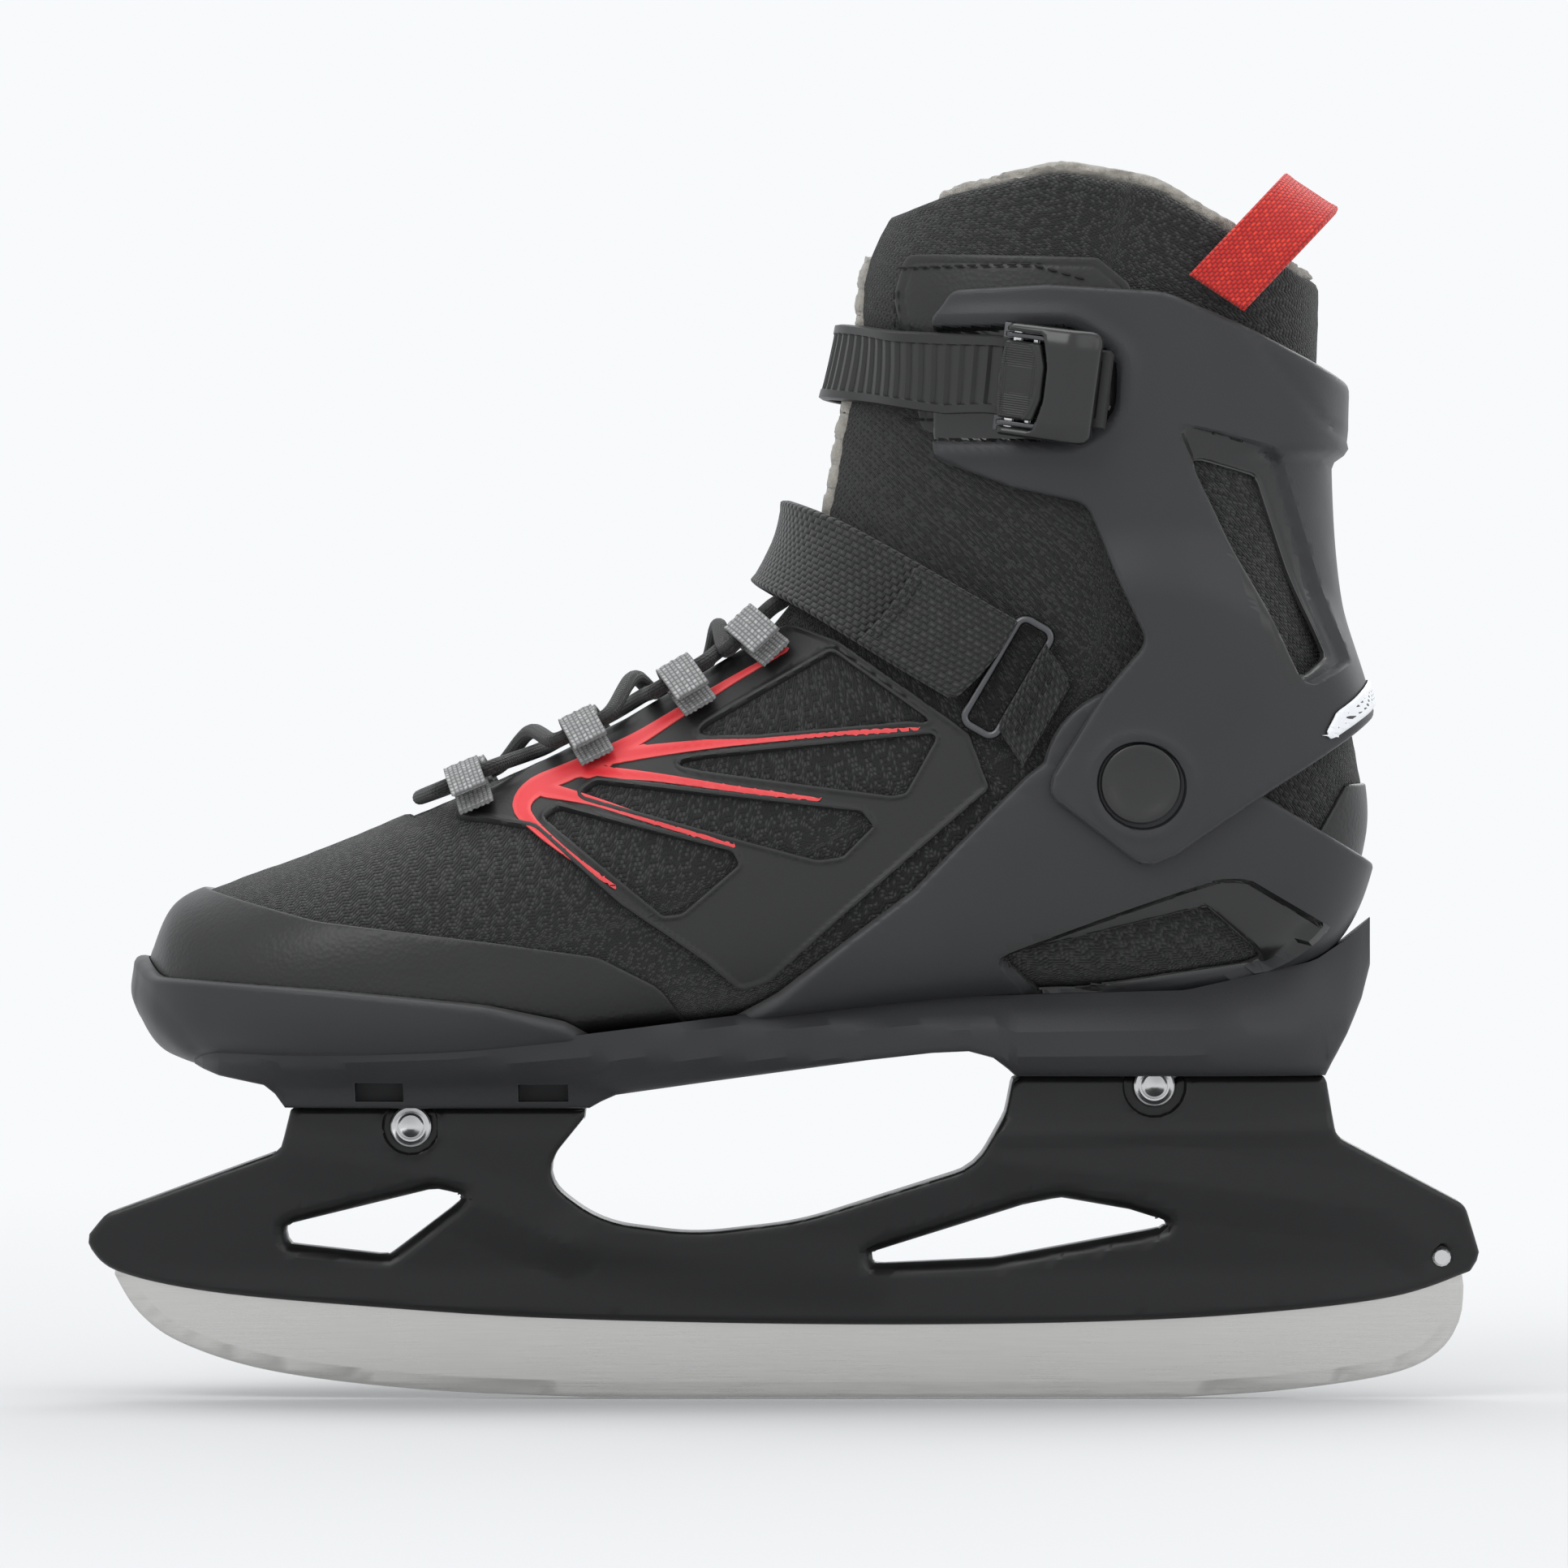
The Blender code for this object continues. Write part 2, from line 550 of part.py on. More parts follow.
def chassis():
    pivot = (86.4, 151.3)
    outline = [(-144.0, 82.9, 1), (-138.0, 79.6, 4), (-126.8, 77.6, 3), (-122.0, 71.95, 1),
               (-47.5, 71.95, 2), (-43.0, 75.0, 5), (0.0, 81.0, 40), (41.0, 86.2, 10), (51.0, 84.4, 5),
               (56.6, 79.75, 1), (132.6, 79.75, 1), (134.8, 84.5, 4), (145.0, 102.0, 14),
               (150.0, 122.0, 8), (150.0, 131.8, 2), (141.5, 132.4, 3), (116.0, 148.4, 4)]
    outline += [(x, z) for x, z in arc(pivot, 24.0, 0.0, 168.0)]
    outline += [(59.0, 153.4, 3), (44.0, 138.4, 12), (31.0, 125.4, 12), (-2.0, 101.4, 30),
                (-19.0, 92.6, 12), (-44.0, 85.2, 2), (-46.5, 82.9, 1)]
    body = form("chassis_shell", SHELL_START + CHASSIS_WALL)
    boolean(body, "UNION", sole_frame())
    boolean(body, "INTERSECT", plate("region", rounded(outline), 0.09))
    boolean(body, "DIFFERENCE", form("boot_room", SHELL_START))
    bumper_room = form("bumper_room", SHELL_START + BUMPER_WALL + GAP)
    boolean(bumper_room, "INTERSECT",
            box("bumper_reach", (-SKATE_LENGTH, -0.1, side(0.0, 82.9)[1]),
                (side(-41.0, 0.0)[0], 0.1, side(0.0, 120.0)[1])))
    boolean(body, "DIFFERENCE", bumper_room)
    window = [(53.0, 110.0, 1.5), (63.4, 101.4, 2), (117.4, 109.4, 2), (102.6, 122.0, 2)]
    boolean(body, "DIFFERENCE", plate("window", rounded(window), 0.09))
    for low_x, high_x, top in ((-104.6, -92.8, 78.4), (-64.8, -52.6, 78.0)):
        for y in (-0.03, 0.03):
            x0, z0 = side(low_x, 74.4)
            x1, z1 = side(high_x, top)
            boolean(body, "DIFFERENCE", box("pocket", (x0, y - 0.0085, z0), (x1, y + 0.0085, z1)))
    for bolt, reach in ((FRONT_BOLT, 0.0130), (REAR_BOLT, 0.0136)):
        x, z = bolt
        low = z - 0.0075 * SKATE_HEIGHT * 1000 / DESIGN_HEIGHT
        boolean(body, "UNION", box("lug", (x - reach, -LUG_HALF, low), (x + reach, LUG_HALF, z + 0.0075)))
        boolean(body, "DIFFERENCE",
                cylinder("head_notch", (x, -0.035, z), BOLT_HEAD + 0.0018, 0.0265),
                cylinder("nut_notch", (x, 0.035, z), BOLT_HEAD + 0.0018, 0.0265),
                cylinder("bolt_hole", (x, 0.0, z), BOLT_SHANK + GAP, 0.03))
    x, z = PIVOT
    for sign in (-1.0, 1.0):
        y = boot_y(x, z, sign)
        boolean(body, "DIFFERENCE",
                cylinder("pivot_hole", (x, y, z), PIVOT_PIN + GAP, 0.02),
                cylinder("nut_seat", (x, y, z), PIVOT_NUT + GAP, SHELL_START + 0.0016))
    return part(body, "chassis_shell", SHELL_GREY)


def bumper():
    obj = layer("toe_bumper", SHELL_START, SHELL_START + BUMPER_WALL, rounded(BUMPER_REGION))
    return part(obj, "toe_bumper", SHELL_GREY)


# ---------------------------------------------------------------- soft boot

def from_pivot(angle, radius):
    """The design point at an angle in degrees and a distance from the cuff's pivot."""
    return 86.4 + radius * math.cos(math.radians(angle)), 151.3 + radius * math.sin(math.radians(angle))


FOLD_LOW_FRONT = 139.5
FOLD_LOW_REAR = 15.0
FOLD_HIGH_FRONT = 130.0
FOLD_HIGH_REAR = 20.0
LOWER_REGION = [from_pivot(FOLD_LOW_FRONT, 160.0), (86.4, 151.3), from_pivot(FOLD_LOW_REAR, 90.0),
                (180.0, 60.0), (-190.0, 60.0), (-190.0, 200.0)]
COLLAR = [(0.0, 277.0), (15.0, 279.0, 3), (23.0, 290.0, 5), (40.0, 295.4, 15), (66.0, 300.0, 20),
          (90.0, 295.6, 20), (112.0, 283.6, 15), (128.0, 275.0, 5), (150.0, 272.0)]
SHAFT_REGION = [from_pivot(FOLD_HIGH_FRONT, 160.0)] + COLLAR + [from_pivot(FOLD_HIGH_REAR, 90.0),
                                                                (86.4, 154.3)]
DORSAL = [(-92.0, 145.6), (-72.0, 154.6), (-38.0, 171.6), (-9.0, 190.0), (4.0, 209.0), (8.2, 228.0),
          (12.0, 250.0), (16.5, 275.0), (26.0, 296.0), (40.0, 316.0)]


def dorsal_band(depth, start=0):
    """The side outline of a band along the boot's front, from outside it to depth inside."""
    line = smooth_run(DORSAL[start:], 3)
    inside = []
    outside = []
    for index, (x, z) in enumerate(line):
        ax, az = line[max(index - 1, 0)]
        bx, bz = line[min(index + 1, len(line) - 1)]
        along = Vector((bx - ax, bz - az)).normalized()
        inward = Vector((along[1], -along[0]))
        inside.append((x + inward[0] * depth, z + inward[1] * depth))
        outside.append((x - inward[0] * 12.0, z - inward[1] * 12.0))
    return [side(x, z) for x, z in outside + inside[::-1]]


def boot():
    for name, region in (("boot_lower", LOWER_REGION), ("boot_shaft", SHAFT_REGION)):
        obj = layer(name, -BOOT_WALL, 0.0, rounded(region))
        boolean(obj, "DIFFERENCE", plate("throat", dorsal_band(9.0), THROAT_WIDTH / 2))
        part(obj, name, KNIT)


def tongue():
    inner = -BOOT_WALL - GAP - TONGUE_THICKNESS
    for name, region in (("tongue_lower", LOWER_REGION), ("tongue_upper", SHAFT_REGION)):
        obj = layer(name, inner, -BOOT_WALL - GAP, dorsal_band(26.0), TONGUE_WIDTH / 2)
        boolean(obj, "INTERSECT", plate("region", rounded(region), 0.09))
        part(obj, name, KNIT)


def collar_lining():
    high = [(c[0], c[1] + 2.0) + tuple(c[2:]) for c in COLLAR[1:-1]]
    region = [(34.0, 236.0)] + [(15.0, 281.0, 3)] + high + [(150.0, 272.0), (150.0, 232.0)]
    obj = layer("fleece_collar", -BOOT_WALL - GAP - FLEECE_THICKNESS, -BOOT_WALL - GAP, rounded(region))
    boolean(obj, "DIFFERENCE", plate("tongue_room", dorsal_band(34.0, 4), TONGUE_WIDTH / 2 + GAP))
    return part(obj, "fleece_collar", FLEECE)


def insole():
    region = [(-146.0, 60.0), (-146.0, 96.5), (-80.0, 96.0, 30), (-46.0, 99.0, 40), (-8.0, 104.0, 40),
              (98.0, 112.5, 30), (134.0, 118.0), (150.0, 60.0)]
    obj = form("insole", -BOOT_WALL - GAP)
    boolean(obj, "INTERSECT", plate("region", rounded(region), 0.09))
    return part(obj, "insole", FOAM)


# ---------------------------------------------------------------- bonded pieces on the boot

def overlays():
    toe = [(-175.0, 128.0), (-144.4, 125.4), (-132.0, 122.2, 10), (-113.0, 117.6, 30), (-70.0, 112.8, 30),
           (-45.0, 109.4, 12), (-30.0, 102.0, 12), (-22.0, 91.0), (-24.0, 80.0), (-175.0, 80.0)]
    part(layer("toe_rand", GAP, GAP + OVERLAY_THICKNESS, rounded(toe)), "toe_rand", LEATHER)
    heel = [(126.0, 125.0), (130.0, 139.0, 2), (136.8, 151.0, 2), (170.0, 152.0), (170.0, 110.0),
            (130.0, 110.0)]
    part(layer("heel_patch", GAP, GAP + OVERLAY_THICKNESS, rounded(heel)), "heel_patch", LEATHER)
    frame = [(-82.0, 142.4, 2), (-72.4, 148.4, 8), (-38.0, 166.0, 20), (-8.0, 184.0, 12), (2.0, 190.0, 6),
             (14.0, 185.6, 3), (45.0, 163.5, 2), (50.0, 150.0, 2), (-4.0, 103.5, 8), (-11.0, 101.4, 3),
             (-19.4, 108.2, 6), (-39.6, 121.8, 8), (-60.4, 139.8, 6), (-72.0, 141.6, 6)]
    windows = [[(-23.6, 162.2, 2), (12.0, 183.0, 2), (36.0, 166.0, 2), (30.0, 166.4, 2), (-8.0, 162.6, 4)],
               [(-34.0, 155.6, 2), (37.6, 163.4, 1.5), (29.4, 149.0, 2), (26.0, 148.4, 1)],
               [(-50.0, 147.8, 1.5), (-45.4, 151.0, 1.5), (18.6, 144.4, 2), (21.4, 141.0, 1),
                (14.0, 133.6, 2), (8.0, 132.8, 1)],
               [(-58.2, 142.4, 1), (-54.6, 144.8, 1.5), (-12.8, 134.6, 2), (-11.2, 131.6, 1),
                (-25.2, 119.8, 3),
                (-29.4, 119.4, 1)]]
    for name, centre in (("side_overlay_outer", -0.0945), ("side_overlay_inner", 0.0945)):
        obj = layer(name, GAP, GAP + OVERLAY_THICKNESS, rounded(frame, 3), 0.09, centre)
        for corners in windows:
            boolean(obj, "DIFFERENCE", plate("window", rounded(corners, 2), 0.09, centre))
        part(obj, name, OVERLAY)
    ankle = [(34.0, 236.0, 4), (27.0, 270.0, 3), (30.0, 280.0, 3), (76.0, 278.6, 3), (84.0, 272.0, 4),
             (84.0, 244.0, 6)]
    for name, centre in (("ankle_patch_outer", -0.0945), ("ankle_patch_inner", 0.0945)):
        obj = layer(name, GAP, GAP + OVERLAY_THICKNESS / 3, rounded(ankle, 3), 0.09, centre)
        part(obj, name, LEATHER)


# ---------------------------------------------------------------- cuff

def ease(value):
    value = min(max(value, 0.0), 1.0)
    return value * value * (3 - 2 * value)


CUFF_NEAR = SHELL_START + CHASSIS_WALL + CUFF_CLEARANCE
CUFF_FAR = 2 * GAP + OVERLAY_THICKNESS / 3 + GAP


def cuff_inner(point):
    """The cuff's inside stands clear of the chassis arms near the pivot and close to the boot above."""
    radius = math.hypot(point.x - PIVOT[0], point.z - PIVOT[1])
    return CUFF_FAR + (CUFF_NEAR - CUFF_FAR) * ease((0.064 - radius) / 0.018)


def cuff_outer(point):
    """The cuff's outside, with its thicker spoiler at the top of the back."""
    back = ease((point.x - side(100.0, 0.0)[0]) / 0.025)
    spoiler = 0.0042 * ease((point.z - side(0.0, 229.0)[1]) / 0.004) * back
    return cuff_inner(point) + CUFF_WALL + spoiler


CUFF_REGION = [(37.0, 236.0, 3), (37.6, 264.0, 4), (42.0, 270.8, 4), (64.0, 272.0, 20), (92.0, 270.4, 20),
               (110.0, 262.6, 16), (134.0, 248.6, 4), (170.0, 246.0), (170.0, 172.0), (144.0, 170.6, 3),
               (138.0, 165.6, 4), (95.0, 134.8, 4), (87.0, 131.4, 6), (64.0, 148.4, 4), (65.0, 153.4, 2),
               (77.4, 173.2, 15), (88.2, 186.4, 5), (73.4, 219.4, 6), (56.0, 223.4, 8), (38.2, 230.0, 5)]


def cuff():
    body = layer("cuff_shell", cuff_inner, cuff_outer, rounded(CUFF_REGION))
    window = [(97.6, 230.6, 2), (113.8, 226.0, 3), (128.6, 181.6, 2), (122.0, 176.4, 2)]
    boolean(body, "DIFFERENCE", plate("window", rounded(window), 0.09))
    front = box("front_gap", (-0.05, -0.030, 0.1), (side(34.0, 0.0)[0], 0.030, 0.4))
    boolean(body, "DIFFERENCE", front)
    x, z = PIVOT
    for sign in (-1.0, 1.0):
        y = boot_y(x, z, sign)
        top = y + sign * (CUFF_NEAR + CUFF_WALL)
        boolean(body, "DIFFERENCE",
                cylinder("pivot_hole", (x, y, z), PIVOT_PIN + 2 * GAP, 0.02),
                cylinder("cap_recess", (x, top + sign * 0.004, z), PIVOT_CAP + 2 * GAP, 0.0054))
    for hole_x, hole_z, sign in ((*BUCKLE_AT, -1.0), (*LADDER_RIVET_AT, 1.0)):
        where, normal = boot_frame(hole_x, hole_z, sign)
        boolean(body, "DIFFERENCE", cylinder("rivet_hole", where, 0.0020 + GAP, 0.012, normal))
    return part(body, "cuff_shell", SHELL_GREY)


def pivots():
    """The screw with its dished cap and the nut under the chassis arm, on each side."""
    x, z = PIVOT
    for label, sign in (("outer", -1.0), ("inner", 1.0)):
        y = boot_y(x, z, sign)
        top = CUFF_NEAR + CUFF_WALL
        seat = top - 0.0014 + GAP
        inner = SHELL_START + GAP
        cap = [(0.0, seat + 0.0008), (0.0025, seat + 0.0009), (0.0075, seat + 0.0016),
               (0.0088, seat + 0.0019), (PIVOT_CAP, seat + 0.0013), (PIVOT_CAP, seat), (PIVOT_PIN, seat),
               (PIVOT_PIN, inner + 0.0019), (0.0, inner + 0.0019)]
        turned("pivot_cap_" + label, cap, (x, y, z), (0.0, sign, 0.0), SHELL_GREY, 32)
        nut = [(0.0, inner + 0.0015), (PIVOT_PIN, inner + 0.0015), (PIVOT_PIN, inner + 0.0011),
               (PIVOT_NUT, inner + 0.0011), (PIVOT_NUT, inner), (0.0, inner)]
        turned("pivot_nut_" + label, nut, (x, y, z), (0.0, sign, 0.0), STEEL, 24)


def strip():
    region = [(126.2, 162.4, 1), (128.4, 168.0, 1), (135.4, 173.6), (144.0, 180.6), (170.0, 182.0),
              (170.0, 171.0), (141.0, 171.0), (128.0, 161.8, 1)]

    def low(point):
        return cuff_outer(point) + GAP

    def high(point):
        return cuff_outer(point) + GAP + STRIP_THICKNESS

    obj = layer("reflective_strip", low, high, rounded(region))
    return part(obj, "reflective_strip", REFLECTIVE)


# ---------------------------------------------------------------- webbing

def crossing(turn, point, normal):
    """The s at which the boot's line at this turn crosses a plane, searched from the ankle upwards."""
    def gap_at(s):
        return (boot_point(s, turn) - point).dot(normal)
    best = None
    steps = 160
    previous = gap_at(0.15)
    for i in range(1, steps + 1):
        s = 0.15 + 0.8 * i / steps
        value = gap_at(s)
        if previous * value <= 0.0:
            low, high = s - 0.8 / steps, s
            for _ in range(30):
                middle = (low + high) / 2
                if gap_at(low) * gap_at(middle) <= 0.0:
                    high = middle
                else:
                    low = middle
            best = (low + high) / 2
            break
        previous = value
    return best


def band_mesh(name, rows):
    """A closed strip of rectangular section from rows of (left, right, outward normal, thickness)."""
    bm = bmesh.new()
    rings = []
    for left, right, normal, thickness in rows:
        corners = (left, right, right + normal * thickness, left + normal * thickness)
        rings.append([bm.verts.new(corner) for corner in corners])
    for low, high in zip(rings, rings[1:]):
        for j in range(4):
            k = (j + 1) % 4
            bm.faces.new((low[j], low[k], high[k], high[j]))
    bm.faces.new(rings[0])
    bm.faces.new(rings[-1][::-1])
    return new_object(name, bm)


def around_boot(name, centre, direction, width, turns, out, thickness):
    """A strap round the boot's front in the plane through a design point with a design direction."""
    cx, cz = side(*centre)
    along = Vector((direction[0], 0.0, direction[1])).normalized()
    across = Vector((-along.z, 0.0, along.x))
    rows = []
    for turn in turns:
        edges = []
        for sign in (-1.0, 1.0):
            point = Vector((cx, 0.0, cz)) + across * (sign * width / 2)
            s = crossing(turn, point, across)
            surface = boot_point(s, turn)
            normal = boot_normal(s, turn)
            edges.append((surface + normal * out(surface), normal))
        normal = (edges[0][1] + edges[1][1]).normalized()
        rows.append((edges[0][0], edges[1][0], normal, thickness))
    return band_mesh(name, rows)


def turns_between(start, end, count):
    return [start + (end - start) * i / count for i in range(count + 1)]


def turn_at(x, sign, centre, direction):
    """The turn at which a strap's middle line passes a side x, on the outer (-1) or inner (+1) side."""
    cx, cz = side(*centre)
    across = Vector((-direction[1], 0.0, direction[0])).normalized()
    near, far = math.pi, math.pi - sign * math.radians(100.0)
    for _ in range(30):
        middle = (near + far) / 2
        if boot_point(crossing(middle, Vector((cx, 0.0, cz)), across), middle).x < x:
            near = middle
        else:
            far = middle
    return (near + far) / 2


STRAP_CENTRE = (20.0, 198.0)
STRAP_LINE = (-53.0, 31.0)


def strap_out(point):
    """The instep strap rides over the laces at the front and lies on the overlay at the sides."""
    rise = STRAP_FRONT_LIFT - STRAP_SIDE_LIFT
    return STRAP_SIDE_LIFT + rise * ease((side(30.0, 0.0)[0] - point.x) / 0.022)


def instep():
    turns = turns_between(turn_at(side(45.0, 0.0)[0], -1.0, STRAP_CENTRE, STRAP_LINE),
                          turn_at(side(53.0, 0.0)[0], 1.0, STRAP_CENTRE, STRAP_LINE), 20)
    strap = around_boot("instep_strap", STRAP_CENTRE, STRAP_LINE, STRAP_WIDTH, turns, strap_out,
                        STRAP_THICKNESS)
    rivet_x, rivet_z = side(46.5, 182.4)
    where, normal = boot_frame(rivet_x, rivet_z, 1.0)
    boolean(strap, "DIFFERENCE", cylinder("rivet_hole", where, 0.0018 + GAP, 0.012, normal, 16))
    part(strap, "instep_strap", WEBBING)
    head = STRAP_SIDE_LIFT + STRAP_THICKNESS + 0.0012
    rivet = [(0.0, head + 0.0014), (0.0025, head + 0.0012), (0.0040, head), (0.0018, head), (0.0018, GAP),
             (0.0, GAP)]
    turned("strap_rivet", rivet, where, normal, STEEL, 16)


def ring_and_anchor():
    """The metal ring at the strap's outer end, and the webbing that ties it down towards the pivot."""
    x, z = side(54.5, 177.0)
    where, normal = boot_frame(x, z, -1.0)
    along = Vector((STRAP_LINE[0], 0.0, STRAP_LINE[1]))
    along = (along - normal * along.dot(normal)).normalized()
    across = normal.cross(along).normalized()
    centre = where + normal * 0.0034
    half_wide = STRAP_WIDTH / 2 + 0.0022
    half_long = 0.0045
    corner = 0.0024
    points = []
    for sx, sy, start in ((1, 1, 0), (-1, 1, 90), (-1, -1, 180), (1, -1, 270)):
        for step in range(4):
            angle = math.radians(start + 30 * step)
            points.append(centre + along * (sx * (half_long - corner) + corner * math.cos(angle))
                          + across * (sy * (half_wide - corner) + corner * math.sin(angle)))
    ring = tube("strap_ring", points, RING_WIRE, closed=True)
    part(ring, "strap_ring", STEEL)
    rows = []
    start = centre - along * (half_long + RING_WIRE + 0.0012)
    end_x, end_z = side(66.0, 163.5)
    count = 5
    for i in range(count + 1):
        t = i / count
        px = start.x + (end_x - start.x) * t
        pz = start.z + (end_z - start.z) * t
        base, up = boot_frame(px, pz, -1.0)
        low = base + up * ANCHOR_LIFT
        rows.append((low - across * STRAP_WIDTH / 2 * 0.94, low + across * STRAP_WIDTH / 2 * 0.94, up,
                     0.0018))
    anchor = band_mesh("ring_anchor", rows)
    arm_x, arm_z = PIVOT
    boolean(anchor, "DIFFERENCE", cylinder("arm_room", (arm_x, 0.0, arm_z), side(24.0, 0.0)[0] + 0.0038,
                                           0.09, segments=48))
    arm_front = [(20.3, 116.1), (43.3, 139.1), (58.3, 154.1), (75.0, 154.0), (75.0, 110.0), (20.0, 110.0)]
    boolean(anchor, "DIFFERENCE", plate("arm_front", [side(x, z) for x, z in arm_front], 0.09))
    boolean(anchor, "DIFFERENCE", form("boot_room", ANCHOR_LIFT * 0.8))
    part(anchor, "ring_anchor", WEBBING)


def tube(name, points, radius, closed=False, resolution=2):
    """A round bar along points, with filled caps where it is open."""
    curve = bpy.data.curves.new(name, "CURVE")
    curve.dimensions = "3D"
    curve.bevel_depth = radius
    curve.bevel_resolution = resolution
    curve.use_fill_caps = not closed
    spline = curve.splines.new("POLY")
    spline.points.add(len(points) - 1)
    for point, place in zip(spline.points, points):
        point.co = (*place, 1.0)
    spline.use_cyclic_u = closed
    guide = bpy.data.objects.new(name, curve)
    cutters.objects.link(guide)
    return to_mesh(guide, name)


# ---------------------------------------------------------------- lacing

LOOP_TURN = math.radians(27.0)
LACE_FIRST = 0.262
LACE_SHARES = (0.0, 0.36, 0.693, 1.0)
LACE_TO_STRAP = 0.01117


def lace_rows():
    """The s of each row of loops: the last one keeps clear of the instep strap's lower edge."""
    cx, cz = side(*STRAP_CENTRE)
    along = Vector((STRAP_LINE[0], 0.0, STRAP_LINE[1])).normalized()
    across = Vector((-along.z, 0.0, along.x))
    edge = min(crossing(math.pi - LOOP_TURN, Vector((cx, 0.0, cz)) + across * (sign * STRAP_WIDTH / 2),
                        across)
               for sign in (-1.0, 1.0))
    run = (boot_point(edge, math.pi - LOOP_TURN) - boot_point(edge - 0.02,
                                                              math.pi - LOOP_TURN)).length / 0.02
    last = edge - LACE_TO_STRAP / run
    return [LACE_FIRST + (last - LACE_FIRST) * share for share in LACE_SHARES]


LACE_ROWS = lace_rows()


def loop_frame(s, sign):
    """Fold centre of a lace loop, with the directions to the throat, along the boot and outwards."""
    turn = math.pi - sign * LOOP_TURN
    where = boot_point(s, turn)
    normal = boot_normal(s, turn)
    along = (boot_point(s + 0.01, turn) - boot_point(s - 0.01, turn)).normalized()
    inward = normal.cross(along).normalized()
    if inward.y * sign > 0:
        inward = -inward
    rise = SHELL_START + 2 * GAP + LOOP_WEBBING + LOOP_ROOM + LACE_RADIUS
    return where + normal * rise, inward, along, normal


def lace_loops():
    """Folded webbing: each loop is a flat hairpin round the lace, drawn in its fold's plane."""
    inner = LACE_RADIUS + LOOP_ROOM
    outer = inner + LOOP_WEBBING
    for label, sign in (("outer", -1.0), ("inner", 1.0)):
        for number, s in enumerate(LACE_ROWS, 1):
            centre, inward, along, normal = loop_frame(s, sign)
            bow = []
            for radius, order in ((outer, 1), (inner, -1)):
                angles = [math.radians(a) for a in range(-90, 91, 30)]
                turn = [(radius * math.cos(a), radius * math.sin(a)) for a in angles]
                half = [(-0.0105, -radius), *turn, (-0.0105, radius)]
                bow += half[::order]
            bm = bmesh.new()
            sides = []
            for offset in (-LOOP_WIDTH / 2, LOOP_WIDTH / 2):
                middle = centre + along * offset
                sides.append([bm.verts.new(middle + inward * u + normal * v) for u, v in bow])
            count = len(bow)
            bm.faces.new(sides[0])
            bm.faces.new(sides[1][::-1])
            for j in range(count):
                k = (j + 1) % count
                bm.faces.new((sides[0][j], sides[0][k], sides[1][k], sides[1][j]))
            part(new_object("loop", bm), f"lace_loop_{label}_{number}", LOOP_GREY)


def lace():
    """One lace: tucked end, across and up through the loops to the front bar, and back the same way."""
    def through(row, sign, ends):
        centre, _, along, _ = loop_frame(LACE_ROWS[row], sign)
        return [centre + along * (end * (LOOP_WIDTH / 2 + 0.0030)) for end in ends]

    def over_tongue(s, height):
        return boot_offset(s, math.pi, height)

    tuck = math.pi - LOOP_TURN * 0.9
    tucked = LACE_RADIUS + 0.0006
    ends = (LACE_ROWS[3] + 0.050, LACE_ROWS[3] + 0.034)
    route = [boot_offset(s, 2 * math.pi - tuck, tucked) for s in ends]
    low, high = 0.0008, 0.0058
    route += through(3, -1.0, (1, 0, -1))
    route += [over_tongue((LACE_ROWS[3] + LACE_ROWS[2]) / 2, high)]
    route += through(2, 1.0, (1, 0, -1))
    route += [over_tongue((LACE_ROWS[2] + LACE_ROWS[1]) / 2, high)]
    route += through(1, -1.0, (1, 0, -1))
    route += [over_tongue((LACE_ROWS[1] + LACE_ROWS[0]) / 2, high)]
    route += through(0, 1.0, (1, 0, -1))
    route += [over_tongue(LACE_ROWS[0] - 0.024, 0.0024)]
    route += through(0, -1.0, (-1, 0, 1))
    route += [over_tongue((LACE_ROWS[1] + LACE_ROWS[0]) / 2, low)]
    route += through(1, 1.0, (-1, 0, 1))
    route += [over_tongue((LACE_ROWS[2] + LACE_ROWS[1]) / 2, low)]
    route += through(2, -1.0, (-1, 0, 1))
    route += [over_tongue((LACE_ROWS[3] + LACE_ROWS[2]) / 2, low)]
    route += through(3, 1.0, (-1, 0, 1))
    route += [boot_offset(s, tuck, tucked) for s in ends[::-1]]
    return part(tube("lace", smooth_route(route, 72), LACE_RADIUS), "lace", WEBBING)


def smooth_route(route, count):
    """Evenly spaced points on a smooth curve through a route's own points."""
    fine = []
    last = len(route) - 1
    for index in range(last):
        a, b = route[max(index - 1, 0)], route[index]
        c, d = route[index + 1], route[min(index + 2, last)]
        for step in range(12):
            t = step / 12
            fine.append(0.5 * ((2 * b) + (c - a) * t + (2 * a - 5 * b + 4 * c - d) * t ** 2
                               + (3 * b - a - 3 * c + d) * t ** 3))
    fine.append(route[-1])
    lengths = [0.0]
    for p, q in zip(fine, fine[1:]):
        lengths.append(lengths[-1] + (q - p).length)
    points = []
    at = 0
    for i in range(count):
        target = lengths[-1] * i / (count - 1)
        while at < len(lengths) - 2 and lengths[at + 1] < target:
            at += 1
        share = (target - lengths[at]) / max(lengths[at + 1] - lengths[at], 1e-9)
        points.append(fine[at].lerp(fine[at + 1], min(max(share, 0.0), 1.0)))
    return points


# ---------------------------------------------------------------- pull loop

